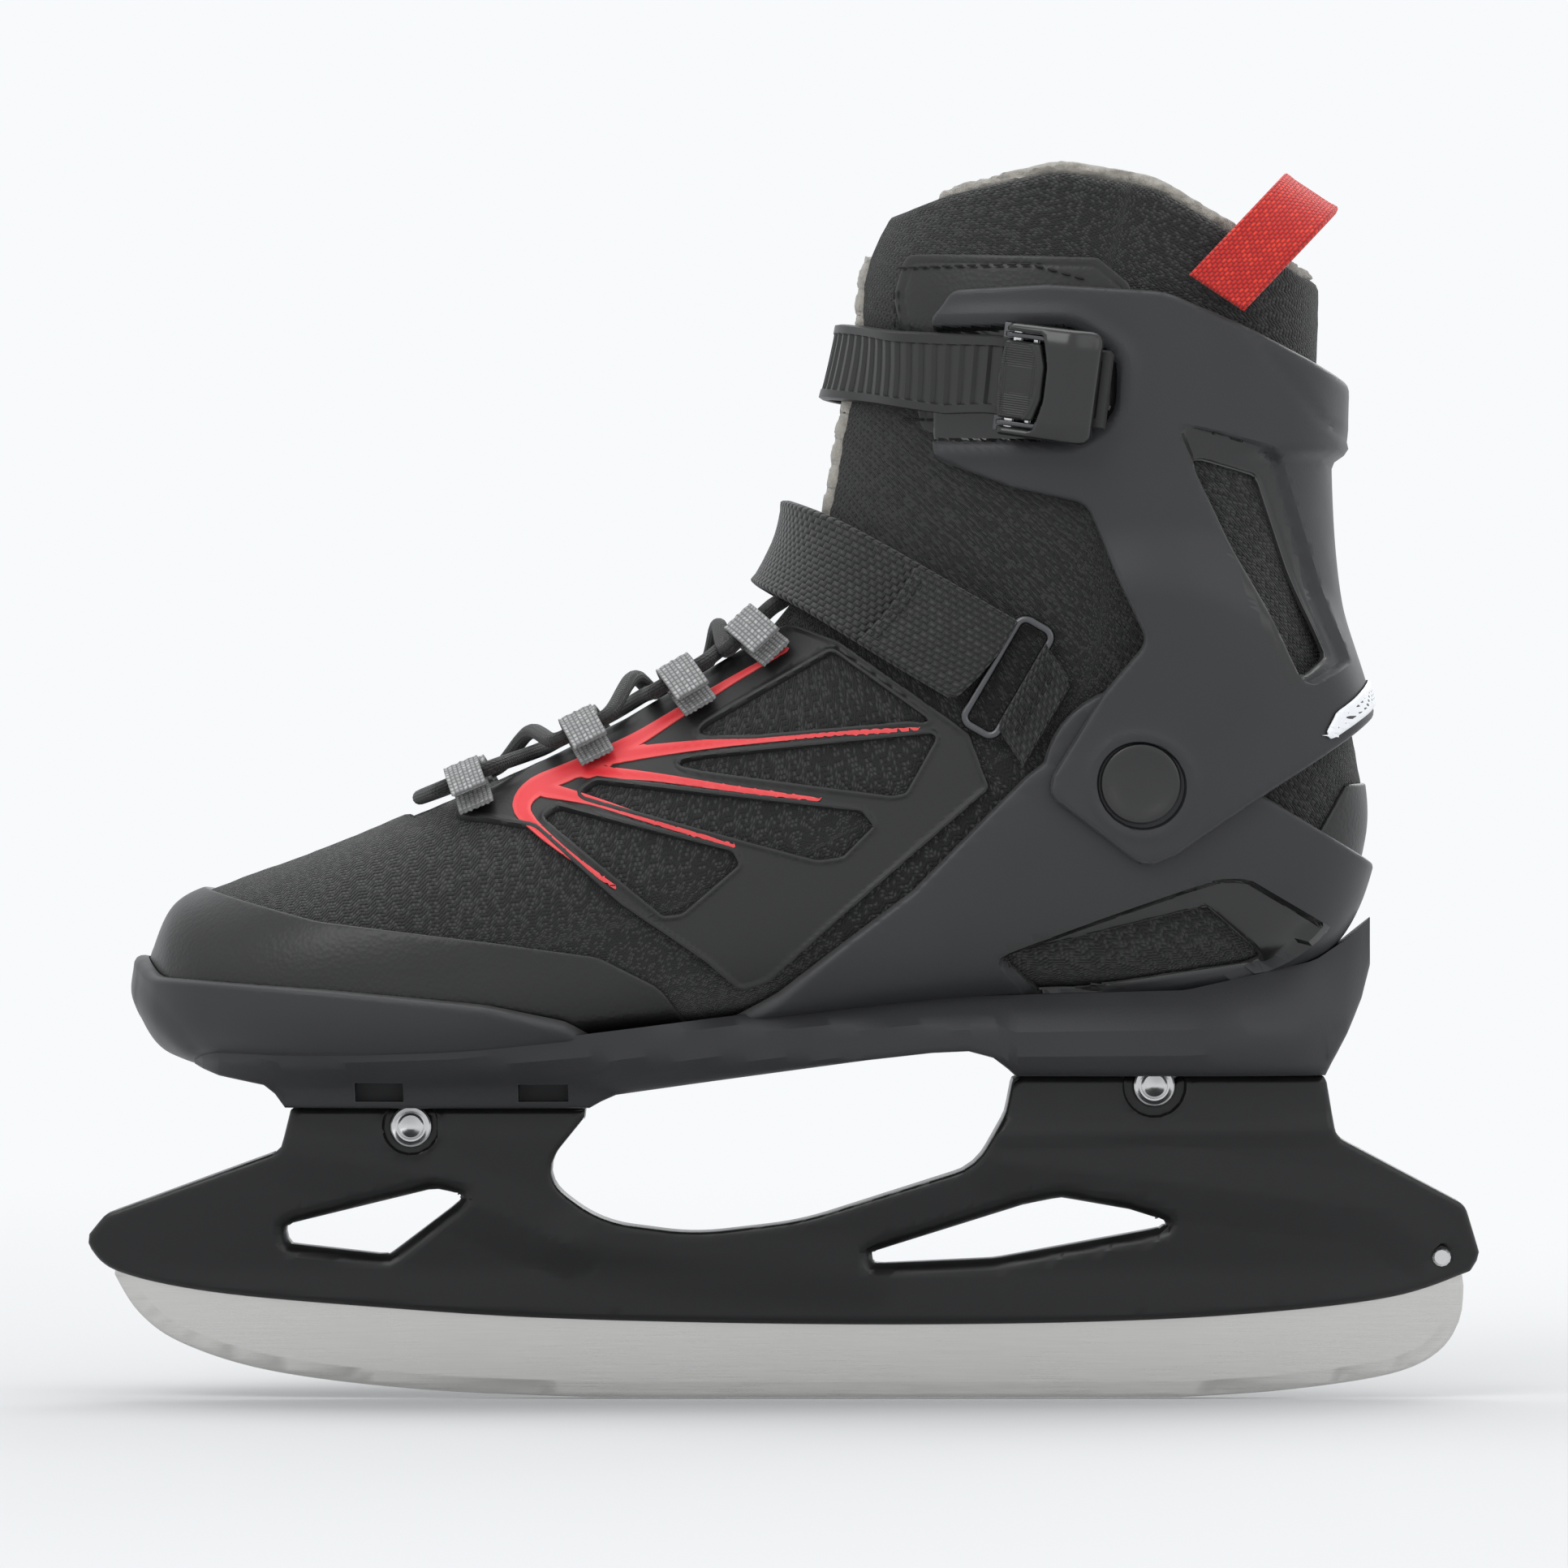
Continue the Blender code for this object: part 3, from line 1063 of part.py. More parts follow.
def pull_loop():
    """Webbing that rises from both sides of the shaft and arches over behind the opening."""
    x0, z0 = side(104.6, 270.0)
    x1, z1 = side(128.0, 294.6)
    lean = Vector((x1 - x0, 0.0, z1 - z0))
    width_dir = Vector((0.83, 0.0, -0.55)).normalized()
    y0 = abs(boot_y(x0, z0, -1.0)) + 0.0032
    heights = [0.0, 0.2, 0.4, 0.6, 0.78, 0.9, 0.97, 1.0]
    ys = [1.0, 0.995, 0.98, 0.95, 0.88, 0.76, 0.6, 0.4]
    half = [(Vector((x0, 0.0, z0)) + lean * h, y0 * y) for h, y in zip(heights, ys)]
    line = [p + Vector((0.0, -y, 0.0)) for p, y in half] + [p + Vector((0.0, y, 0.0)) for p, y in half[::-1]]
    rows = []
    for index, centre in enumerate(line):
        before = line[max(index - 1, 0)]
        after = line[min(index + 1, len(line) - 1)]
        along = (after - before).normalized()
        normal = width_dir.cross(along).normalized()
        if normal.dot(centre - Vector((x0, 0.0, z0))) < 0:
            normal = -normal
        rows.append((centre - width_dir * PULL_WIDTH / 2, centre + width_dir * PULL_WIDTH / 2, normal,
                     0.0018))
    return part(band_mesh("pull_loop", rows), "pull_loop", PULL_RED)


# ---------------------------------------------------------------- ratchet buckle and ladder strap

BUCKLE_AT = side(62.0, 249.2)
LADDER_RIVET_AT = side(56.0, 250.0)
LADDER_CENTRE = (11.2, 254.7)
LADDER_LINE = (-46.0, 5.4)
CUFF_TOP = CUFF_FAR + CUFF_WALL
PLATE_FRONT = -0.009
PLATE_REAR = 0.013
CHEEK_INSIDE = LADDER_WIDTH / 2 + 0.0006
CHEEK_WALL = 0.0012
LEVER_PIN_AT = (-0.0040, 0.0058)
TRIGGER_PIN_AT = (0.0006, 0.0062)
TRIGGER_PIN_RADIUS = 0.0009
LEVER_TOP = 0.0088
LEVER_WALL = 0.0014
PAD_FRONT = -0.0064
PAD_REAR = 0.0029
COVER_FRONT = 0.0048
COVER_REAR = 0.0152


def ladder_out(point):
    """The ladder strap lies on the boot at the front and on the cuff at the sides."""
    rise = CUFF_TOP + LADDER_LIFT - LADDER_BOOT_LIFT
    return LADDER_BOOT_LIFT + rise * ease((point.x - side(19.0, 0.0)[0]) / 0.014)


def buckle_frame():
    """The buckle's own frame: x to the heel, y up along the pins, z outwards, its origin under the plate."""
    where, normal = boot_frame(*BUCKLE_AT, -1.0)
    along = Vector((-LADDER_LINE[0], 0.0, -LADDER_LINE[1]))
    along = (along - normal * along.dot(normal)).normalized()
    up = normal.cross(along)
    frame = Matrix((along, up, normal)).transposed().to_4x4()
    frame.translation = where + normal * (CUFF_TOP + GAP)
    return frame


def ladder():
    frame = buckle_frame()
    front_x = (frame @ Vector((PLATE_FRONT - 0.011, 0.0, 0.0))).x
    turns = turns_between(turn_at(side(67.0, 0.0)[0], 1.0, LADDER_CENTRE, LADDER_LINE),
                          turn_at(front_x, -1.0, LADDER_CENTRE, LADDER_LINE), 26)
    cx, cz = side(*LADDER_CENTRE)
    across = Vector((-LADDER_LINE[1], 0.0, LADDER_LINE[0])).normalized()
    rows = []
    for turn in turns:
        edges = []
        for sign in (1.0, -1.0):
            point = Vector((cx, 0.0, cz)) + across * (sign * LADDER_WIDTH / 2)
            s = crossing(turn, point, across)
            edges.append((boot_offset(s, turn, ladder_out), boot_normal(s, turn)))
        rows.append((edges[0][0], edges[1][0], (edges[0][1] + edges[1][1]).normalized(), LADDER_THICKNESS))
    lift = BUCKLE_PLATE + GAP
    for x in (PLATE_FRONT - 0.002, PLATE_FRONT + 0.004, 0.0, PLATE_REAR, PLATE_REAR + 0.006):
        low = frame @ Vector((x, -LADDER_WIDTH / 2, lift))
        high = frame @ Vector((x, LADDER_WIDTH / 2, lift))
        if (rows[0][0] - rows[0][1]).dot(low - high) < 0:
            low, high = high, low
        rows.append((low, high, frame.to_3x3() @ Vector((0.0, 0.0, 1.0)), LADDER_THICKNESS))
    strap = band_mesh("ladder_strap", rows)
    where, normal = boot_frame(*LADDER_RIVET_AT, 1.0)
    boolean(strap, "DIFFERENCE", cylinder("rivet_hole", where, 0.0020 + GAP, 0.014, normal, 16))
    part(strap, "ladder_strap", SHELL_GREY)
    head = CUFF_TOP + LADDER_LIFT + LADDER_THICKNESS + RIVET_LIFT
    rivet = [(0.0, head + 0.0016), (0.0030, head + 0.0014), (0.0045, head), (0.0019, head),
             (0.0019, CUFF_FAR - 0.0001), (0.0, CUFF_FAR - 0.0001)]
    turned("ladder_rivet", rivet, where, normal, CHROME, 20)


def place(obj, frame, name, mat):
    """Moves a piece drawn in the buckle's own frame to its place."""
    obj.data.transform(frame)
    return part(obj, name, mat)


def profile_plate(name, corners, low, high):
    """A plate in the buckle's frame: an outline in its x and z, between two y levels."""
    bm = bmesh.new()
    ends = [[bm.verts.new((x, y, z)) for x, z in corners] for y in (low, high)]
    count = len(corners)
    bm.faces.new(ends[0])
    bm.faces.new(ends[1][::-1])
    for j in range(count):
        k = (j + 1) % count
        bm.faces.new((ends[0][j], ends[0][k], ends[1][k], ends[1][j]))
    return new_object(name, bm)


def buckle():
    """Base plate with two cheeks, rivet, lever on its pin, and the sprung release trigger on its own pin."""
    frame = buckle_frame()
    along_y = (0.0, 1.0, 0.0)
    lever_x, lever_z = LEVER_PIN_AT
    trigger_x, trigger_z = TRIGGER_PIN_AT
    base = box("plate", (PLATE_FRONT, -BUCKLE_WIDTH / 2, 0.0), (PLATE_REAR, BUCKLE_WIDTH / 2, BUCKLE_PLATE))
    cheek = [(-0.0072, 0.0002), (-0.0072, 0.0066), (-0.0058, 0.0080), (0.0020, 0.0082), (0.0060, 0.0060),
             (0.0100, 0.0002)]
    for sign in (-1.0, 1.0):
        low, high = sorted((sign * CHEEK_INSIDE, sign * (CHEEK_INSIDE + CHEEK_WALL)))
        boolean(base, "UNION", profile_plate("cheek", cheek, low, high))
    boolean(base, "DIFFERENCE",
            cylinder("lever_pin_hole", (lever_x, 0.0, lever_z), LEVER_PIN_RADIUS + GAP, 0.02, along_y, 16),
            cylinder("trigger_pin_hole", (trigger_x, 0.0, trigger_z), TRIGGER_PIN_RADIUS + GAP, 0.02,
                     along_y, 16),
            cylinder("rivet_hole", (0.0, 0.0, 0.0), 0.0020 + GAP, 0.004, (0.0, 0.0, 1.0), 16))
    place(base, frame, "buckle_base", STEEL)
    rivet = cylinder("rivet", (0.0, 0.0, (BUCKLE_PLATE - CUFF_WALL - GAP) / 2), 0.0020,
                     (BUCKLE_PLATE + CUFF_WALL + GAP) / 2,
                     (0.0, 0.0, 1.0), 16)
    place(rivet, frame, "buckle_rivet", STEEL)

    skirt_inside = CHEEK_INSIDE + CHEEK_WALL + GAP
    skirt_outside = skirt_inside + 0.0011
    cover = [(COVER_FRONT, LEVER_TOP), (COVER_FRONT + 0.0004, LEVER_TOP + LEVER_WALL),
             (0.0100, LEVER_TOP + 0.0019), (0.0140, LEVER_TOP + 0.0013), (COVER_REAR, LEVER_TOP - 0.0012),
             (COVER_REAR - 0.0010, LEVER_TOP - 0.0020), (0.0130, LEVER_TOP - 0.0004), (0.0100, LEVER_TOP)]
    lever = profile_plate("lever", cover, -skirt_outside, skirt_outside)
    skirt = [(-0.0066, 0.0040), (-0.0066, 0.0078), (COVER_FRONT + 0.0002, LEVER_TOP + 0.0008),
             (0.0136, LEVER_TOP + 0.0004), (0.0140, LEVER_TOP - 0.0016), (0.0040, 0.0034)]
    for sign in (-1.0, 1.0):
        low, high = sorted((sign * skirt_inside, sign * skirt_outside))
        boolean(lever, "UNION", profile_plate("skirt", skirt, low, high))
    boolean(lever, "DIFFERENCE", cylinder("pin_hole", (lever_x, 0.0, lever_z), LEVER_PIN_RADIUS + GAP, 0.02,
                                          along_y, 16))
    place(lever, frame, "buckle_lever", HOLDER_BLACK)
    place(cylinder("pin", (lever_x, 0.0, lever_z), LEVER_PIN_RADIUS, skirt_outside + 0.0006, along_y, 16),
          frame, "lever_pin", CHROME)

    pad = [(PAD_FRONT, LEVER_TOP + 0.0002), (PAD_FRONT + 0.0012, LEVER_TOP + 0.0012),
           (-0.0010, LEVER_TOP + 0.0018), (PAD_REAR, LEVER_TOP + 0.0014), (PAD_REAR, LEVER_TOP - 0.0006),
           (PAD_FRONT + 0.0006, LEVER_TOP - 0.0004)]
    trigger = profile_plate("trigger", pad, -0.0092, 0.0092)
    lug = [(trigger_x - 0.0016, LEVER_TOP), (trigger_x - 0.0018, trigger_z - 0.0016),
           (trigger_x + 0.0012, trigger_z - 0.0018), (trigger_x + 0.0020, LEVER_TOP)]
    for low, high in ((-0.0090, -0.0062), (0.0062, 0.0090)):
        boolean(trigger, "UNION", profile_plate("lug", lug, low, high))
    boolean(trigger, "DIFFERENCE",
            cylinder("pin_hole", (trigger_x, 0.0, trigger_z), TRIGGER_PIN_RADIUS + GAP, 0.02, along_y, 16))
    place(trigger, frame, "release_trigger", SHELL_GREY)
    place(cylinder("pin", (trigger_x, 0.0, trigger_z), TRIGGER_PIN_RADIUS,
                   CHEEK_INSIDE + CHEEK_WALL - 0.0001, along_y, 16), frame,
          "trigger_pin", STEEL)
    turns = 2.5
    count = 20
    coil = []
    for i in range(count + 1):
        angle = 2 * math.pi * turns * i / count
        coil.append(frame @ Vector((trigger_x + 0.0015 * math.cos(angle), -0.0030 + 0.0060 * i / count,
                                    trigger_z + 0.0015 * math.sin(angle))))
    part(tube("trigger_spring", coil, 0.0003, resolution=0), "trigger_spring", STEEL)


# ---------------------------------------------------------------- build

runner()
holder()
bolts()
chassis()
bumper()
boot()
tongue()
collar_lining()
insole()
overlays()
cuff()
pivots()
strip()
instep()
ring_and_anchor()
lace_loops()
lace()
pull_loop()
ladder()
buckle()
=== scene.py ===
"""Left ice skate for outdoor and rink skating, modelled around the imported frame."""

import math

import bmesh
import bpy
import numpy as np
from mathutils import Matrix, Vector


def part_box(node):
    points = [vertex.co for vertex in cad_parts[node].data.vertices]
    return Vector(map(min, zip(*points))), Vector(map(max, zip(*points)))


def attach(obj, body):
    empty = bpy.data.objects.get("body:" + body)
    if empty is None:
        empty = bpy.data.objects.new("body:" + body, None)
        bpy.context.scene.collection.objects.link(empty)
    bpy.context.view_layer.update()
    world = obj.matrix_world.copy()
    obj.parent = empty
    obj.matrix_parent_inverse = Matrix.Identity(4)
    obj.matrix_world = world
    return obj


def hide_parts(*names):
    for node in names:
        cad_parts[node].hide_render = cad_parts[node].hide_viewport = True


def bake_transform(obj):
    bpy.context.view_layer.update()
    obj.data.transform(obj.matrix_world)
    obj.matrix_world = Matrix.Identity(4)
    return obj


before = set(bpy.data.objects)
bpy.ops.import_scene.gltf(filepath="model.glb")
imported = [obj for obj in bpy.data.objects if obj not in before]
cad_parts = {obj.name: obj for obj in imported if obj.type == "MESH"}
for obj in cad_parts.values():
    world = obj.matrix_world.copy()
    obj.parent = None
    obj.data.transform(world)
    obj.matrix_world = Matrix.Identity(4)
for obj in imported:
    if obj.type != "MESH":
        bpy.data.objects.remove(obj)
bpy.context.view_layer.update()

bl_info = {
    "name": "Ice Skate",
    "version": (1, 0, 0),
    "blender": (4, 5, 0),
    "location": "3D View > Sidebar > Ice Skate",
    "description": "Builds a recreational ice skate with a hinged cuff, laces, strap and ratchet buckle",
    "category": "Add Mesh",
}

MM = 0.001

# Layers measured out from the boot fabric, as in the frame.
GAP = 0.0003
BOOT_WALL = 0.005
TONGUE_THICKNESS = 0.006
FLEECE_THICKNESS = 0.0027
OVERLAY_THICKNESS = 0.0009
SHELL_START = 2 * GAP + OVERLAY_THICKNESS
CHASSIS_WALL = 0.003
BUMPER_WALL = 0.0033
CUFF_WALL = 0.003
CUFF_CLEARANCE = 0.0009
CUFF_NEAR = SHELL_START + CHASSIS_WALL + CUFF_CLEARANCE
CUFF_FAR = 2 * GAP + OVERLAY_THICKNESS / 3 + GAP
CUFF_TOP = CUFF_FAR + CUFF_WALL
PIVOT = (0.0864, 0.1513)
FRONT_BOLT = (-0.0916, 0.067)
REAR_BOLT = (0.0909, 0.077)
TAIL_SCREW = (0.1618, 0.0346)

# ---------------------------------------------------------------- the boot's form

# under x, z, over x, z, half width, widest share, roundness under, roundness over, skew, in millimetres
BOOT_SLICES = np.array([
    (-154.0, 95.0, -154.5, 110.0, 14.0, 0.45, 2.4, 2.2, 4.0),
    (-149.0, 89.0, -149.0, 121.0, 27.0, 0.42, 2.8, 2.2, 4.0),
    (-138.0, 87.0, -136.0, 127.0, 37.5, 0.38, 3.4, 2.2, 3.5),
    (-115.0, 86.0, -110.0, 136.6, 47.5, 0.35, 4.0, 2.2, 2.5),
    (-80.0, 86.0, -72.0, 153.0, 51.0, 0.33, 4.2, 2.1, 1.0),
    (-46.0, 89.0, -38.0, 170.0, 48.0, 0.33, 4.0, 2.0, 0.0),
    (-8.0, 94.0, -9.0, 188.5, 42.0, 0.36, 3.8, 2.0, 0.0),
    (42.0, 99.5, 4.0, 207.0, 38.5, 0.42, 3.4, 2.0, 0.0),
    (98.0, 102.0, 8.2, 226.0, 37.5, 0.46, 3.2, 2.1, 0.0),
    (130.0, 112.0, 10.5, 240.0, 38.0, 0.48, 2.8, 2.2, 0.0),
    (142.0, 138.0, 13.5, 252.0, 40.0, 0.5, 2.4, 2.2, 0.0),
    (139.5, 165.0, 16.0, 264.0, 42.5, 0.5, 2.3, 2.2, 0.0),
    (132.5, 200.0, 17.5, 275.0, 44.5, 0.5, 2.3, 2.3, 0.0),
    (130.5, 235.0, 21.0, 285.0, 45.5, 0.5, 2.3, 2.3, 0.0),
    (131.5, 270.0, 30.0, 300.0, 45.0, 0.5, 2.3, 2.3, 0.0),
    (130.5, 305.0, 48.0, 325.0, 44.0, 0.5, 2.3, 2.3, 0.0),
])
NOSE = 0.03
NOSE_DOME = 0.0015
BOOT_RUN = 0.62
BOOT_GIRTH = 0.26


def slices(s):
    last = len(BOOT_SLICES) - 1
    t = np.clip(s, 0.0, 1.0) * last
    i = np.minimum(t.astype(int), last - 1)
    f = (t - i)[:, None]
    a, b, c, d = (BOOT_SLICES[np.clip(i + k, 0, last)] for k in (-1, 0, 1, 2))
    square, cube = 2 * a - 5 * b + 4 * c - d, 3 * b - a - 3 * c + d
    return 0.5 * (2 * b + (c - a) * f + square * f ** 2 + cube * f ** 3)


def turn_of(v):
    """The turn in radians at v quarters, spaced so that the boxy sides are sampled evenly."""
    quarter = np.floor(v)
    w = v - quarter
    return (quarter + w * w * (3 - 2 * w)) * math.pi / 2


def boot(s, turn):
    """Points of the boot's outside; turn 0 is under or behind, pi/2 the inner side, pi over or before."""
    s = np.atleast_1d(np.asarray(s, float))
    turn = np.broadcast_to(np.asarray(turn, float), s.shape)
    row = slices(s)
    lift = -np.cos(turn)
    over = lift > 0
    reach = np.sign(lift) * np.abs(lift) ** (2 / np.where(over, row[:, 7], row[:, 6]))
    widest = row[:, 5]
    share = np.where(over, widest + (1 - widest) * reach, widest + widest * reach)
    sine = np.sin(turn)
    width = np.sign(sine) * np.abs(sine) ** (2 / np.where(over, row[:, 7], row[:, 6])) * row[:, 4] + row[:, 8]
    x = row[:, 0] + (row[:, 2] - row[:, 0]) * share
    z = row[:, 1] + (row[:, 3] - row[:, 1]) * share
    points = np.stack([x, width, z], 1) * MM
    nose = s < 0
    if nose.any():
        k = np.clip(1 + s[nose] / NOSE, 0, 1)[:, None]
        middle = np.array([-0.15425, 0.004, 0.1025])
        points[nose] = middle + (points[nose] - middle) * k - np.array([NOSE_DOME, 0, 0]) * (1 - k * k)
    return points


def boot_normals(s, turn):
    s = np.atleast_1d(np.asarray(s, float))
    turn = np.broadcast_to(np.asarray(turn, float), s.shape)
    base = np.maximum(s, 0.0)
    along = boot(np.minimum(base + 0.004, 1), turn) - boot(np.maximum(base - 0.004, 0), turn)
    around = boot(base, turn + 0.02) - boot(base, turn - 0.02)
    normal = np.cross(around, along)
    normal /= np.linalg.norm(normal, axis=1)[:, None]
    front = np.clip(1 - s / 0.03, 0, None)
    normal[:, 0] -= 1.2 * front
    return normal / np.linalg.norm(normal, axis=1)[:, None]


def ease(value):
    value = np.clip(value, 0.0, 1.0)
    return value * value * (3 - 2 * value)


def one(s, turn, out=0.0):
    """One point of the boot, and its normal, as vectors."""
    normal = Vector(boot_normals([s], turn)[0])
    return Vector(boot([s], turn)[0]) + normal * out, normal


# ---------------------------------------------------------------- outlines and distances


def rounded(corners, steps=7):
    """A closed outline in metres from corners (x, z) or (x, z, fillet radius) in millimetres."""
    points = []
    count = len(corners)
    for index, corner in enumerate(corners):
        here = np.array(corner[:2], float)
        radius = corner[2] if len(corner) > 2 else 0.0
        before = np.array(corners[index - 1][:2]) - here
        after = np.array(corners[(index + 1) % count][:2]) - here
        lb, la = np.linalg.norm(before), np.linalg.norm(after)
        half = math.acos(np.clip(before @ after / (lb * la), -1, 1)) / 2 if min(lb, la) > 1e-6 else 2.0
        if radius <= 0.0 or half > math.radians(88.0):
            points.append(here)
            continue
        reach = min(radius / math.tan(half), 0.49 * lb, 0.49 * la)
        start = here + before / lb * reach
        end = here + after / la * reach
        for step in range(steps + 1):
            t = step / steps
            points.append(start * (1 - t) ** 2 + here * 2 * t * (1 - t) + end * t ** 2)
    return np.array(points) * MM


def smooth_run(points, steps=6):
    points = [np.array(p, float) for p in points]
    run = []
    last = len(points) - 1
    for index in range(last):
        a, b = points[max(index - 1, 0)], points[index]
        c, d = points[index + 1], points[min(index + 2, last)]
        for step in range(steps):
            t = step / steps
            run.append(0.5 * ((2 * b) + (c - a) * t + (2 * a - 5 * b + 4 * c - d) * t ** 2
                              + (3 * b - a - 3 * c + d) * t ** 3))
    run.append(points[-1])
    return [tuple(p) for p in run]


def to_segments(p, a, b):
    """The distance of each point to the nearest of the segments a to b."""
    best = np.full(len(p), 9.0)
    ab = b - a
    length = np.maximum((ab * ab).sum(-1), 1e-16)
    for low in range(0, len(p), 8000):
        part = p[low:low + 8000]
        ap = part[:, None, :] - a[None]
        t = np.clip((ap * ab).sum(-1) / length, 0, 1)
        best[low:low + 8000] = np.linalg.norm(ap - t[..., None] * ab, axis=-1).min(1)
    return best


def signed(p, outline):
    """The distance to a closed outline, negative inside."""
    a = np.asarray(outline)
    b = np.roll(a, -1, 0)
    distance = to_segments(p, a, b)
    inside = np.zeros(len(p), bool)
    for (ax, az), (bx, bz) in zip(a, b):
        if az == bz:
            continue
        crosses = (az > p[:, 1]) != (bz > p[:, 1])
        inside ^= crosses & (p[:, 0] < (bx - ax) * (p[:, 1] - az) / (bz - az) + ax)
    return np.where(inside, -distance, distance)


def from_side(p, outline):
    """The signed distance of points, seen from the side, to an outline."""
    return signed(p[:, [0, 2]], outline)


def along_line(p, line):
    """The distance to an open line given in millimetres."""
    line = np.array(line) * MM
    return to_segments(p, line[:-1], line[1:])


def bow(share):
    """A quarter round: 0 at the edge, 1 from a share of 1 on."""
    return np.sqrt(np.clip(1 - (1 - np.clip(share, 0, 1)) ** 2, 0, 1))


# ---------------------------------------------------------------- making meshes

EDGE_LEVELS = (0.0, -0.00012, -0.0005, -0.0011)


def new_piece(name, points, faces, angle=38.0):
    """A finished object at the origin from points and faces, turned outwards."""
    points = np.asarray(points, float)
    mesh = bpy.data.meshes.new(name)
    mesh.from_pydata(points.tolist(), [], [tuple(int(i) for i in face) for face in faces])
    mesh.validate()
    mesh.calc_loop_triangles()
    tri = np.empty(len(mesh.loop_triangles) * 3, np.int32)
    mesh.loop_triangles.foreach_get("vertices", tri)
    corner = points[tri.reshape(-1, 3)]
    if np.linalg.det(corner - points.mean(0)).sum() < 0:
        mesh.flip_normals()
    obj = bpy.data.objects.new(name, mesh)
    bpy.context.scene.collection.objects.link(obj)
    mesh.shade_smooth()
    mesh.set_sharp_from_angle(angle=math.radians(angle))
    return obj


def face_finish(obj, look, test):
    """Gives the faces whose centre passes the test another finish."""
    obj.data.materials.append(LOOKS[look])
    centres = np.empty(len(obj.data.polygons) * 3)
    obj.data.polygons.foreach_get("center", centres)
    chosen = test(centres.reshape(-1, 3))
    obj.data.polygons.foreach_set("material_index", chosen.astype(np.int32) * (len(obj.data.materials) - 1))


def keep_values(obj, name, values):
    layer = obj.data.attributes.new(name, "FLOAT", "POINT")
    layer.data.foreach_set("value", np.asarray(values, np.float32))


def keep_map(obj, coords):
    """Gives the piece a UV map in metres from one pair for each of its points."""
    layer = obj.data.uv_layers.new(name="Cloth")
    index = np.empty(len(obj.data.loops), np.int32)
    obj.data.loops.foreach_get("vertex_index", index)
    layer.data.foreach_set("uv", np.asarray(coords, np.float32)[index].ravel())


def split_at(uv, tris, values, snap):
    """Splits triangles where the values change sign. Returns points, triangles."""
    values = np.where(np.abs(values) < snap, 0.0, values)
    corner = values[tris]
    crossed = (corner.min(1) < 0) & (corner.max(1) > 0)
    out = [tris[~crossed]]
    extra = []
    made = {}
    base = len(uv)

    def cut(a, b):
        key = (a, b) if a < b else (b, a)
        if key not in made:
            t = values[a] / (values[a] - values[b])
            made[key] = base + len(extra)
            extra.append(uv[a] * (1 - t) + uv[b] * t)
        return made[key]

    fresh = []
    for tri in tris[crossed]:
        a, b, c = (int(i) for i in tri)
        for _ in range(3):
            va, vb, vc = values[a], values[b], values[c]
            if vb == 0.0 and va * vc < 0:
                m = cut(a, c)
                fresh += [(a, b, m), (b, c, m)]
                break
            if va * vb < 0 and va * vc < 0:
                m, n = cut(a, b), cut(a, c)
                fresh += [(a, m, n), (m, b, c), (m, c, n)]
                break
            a, b, c = b, c, a
    if fresh:
        out.append(np.array(fresh))
    if extra:
        uv = np.vstack([uv, np.array(extra)])
    return uv, np.vstack(out)


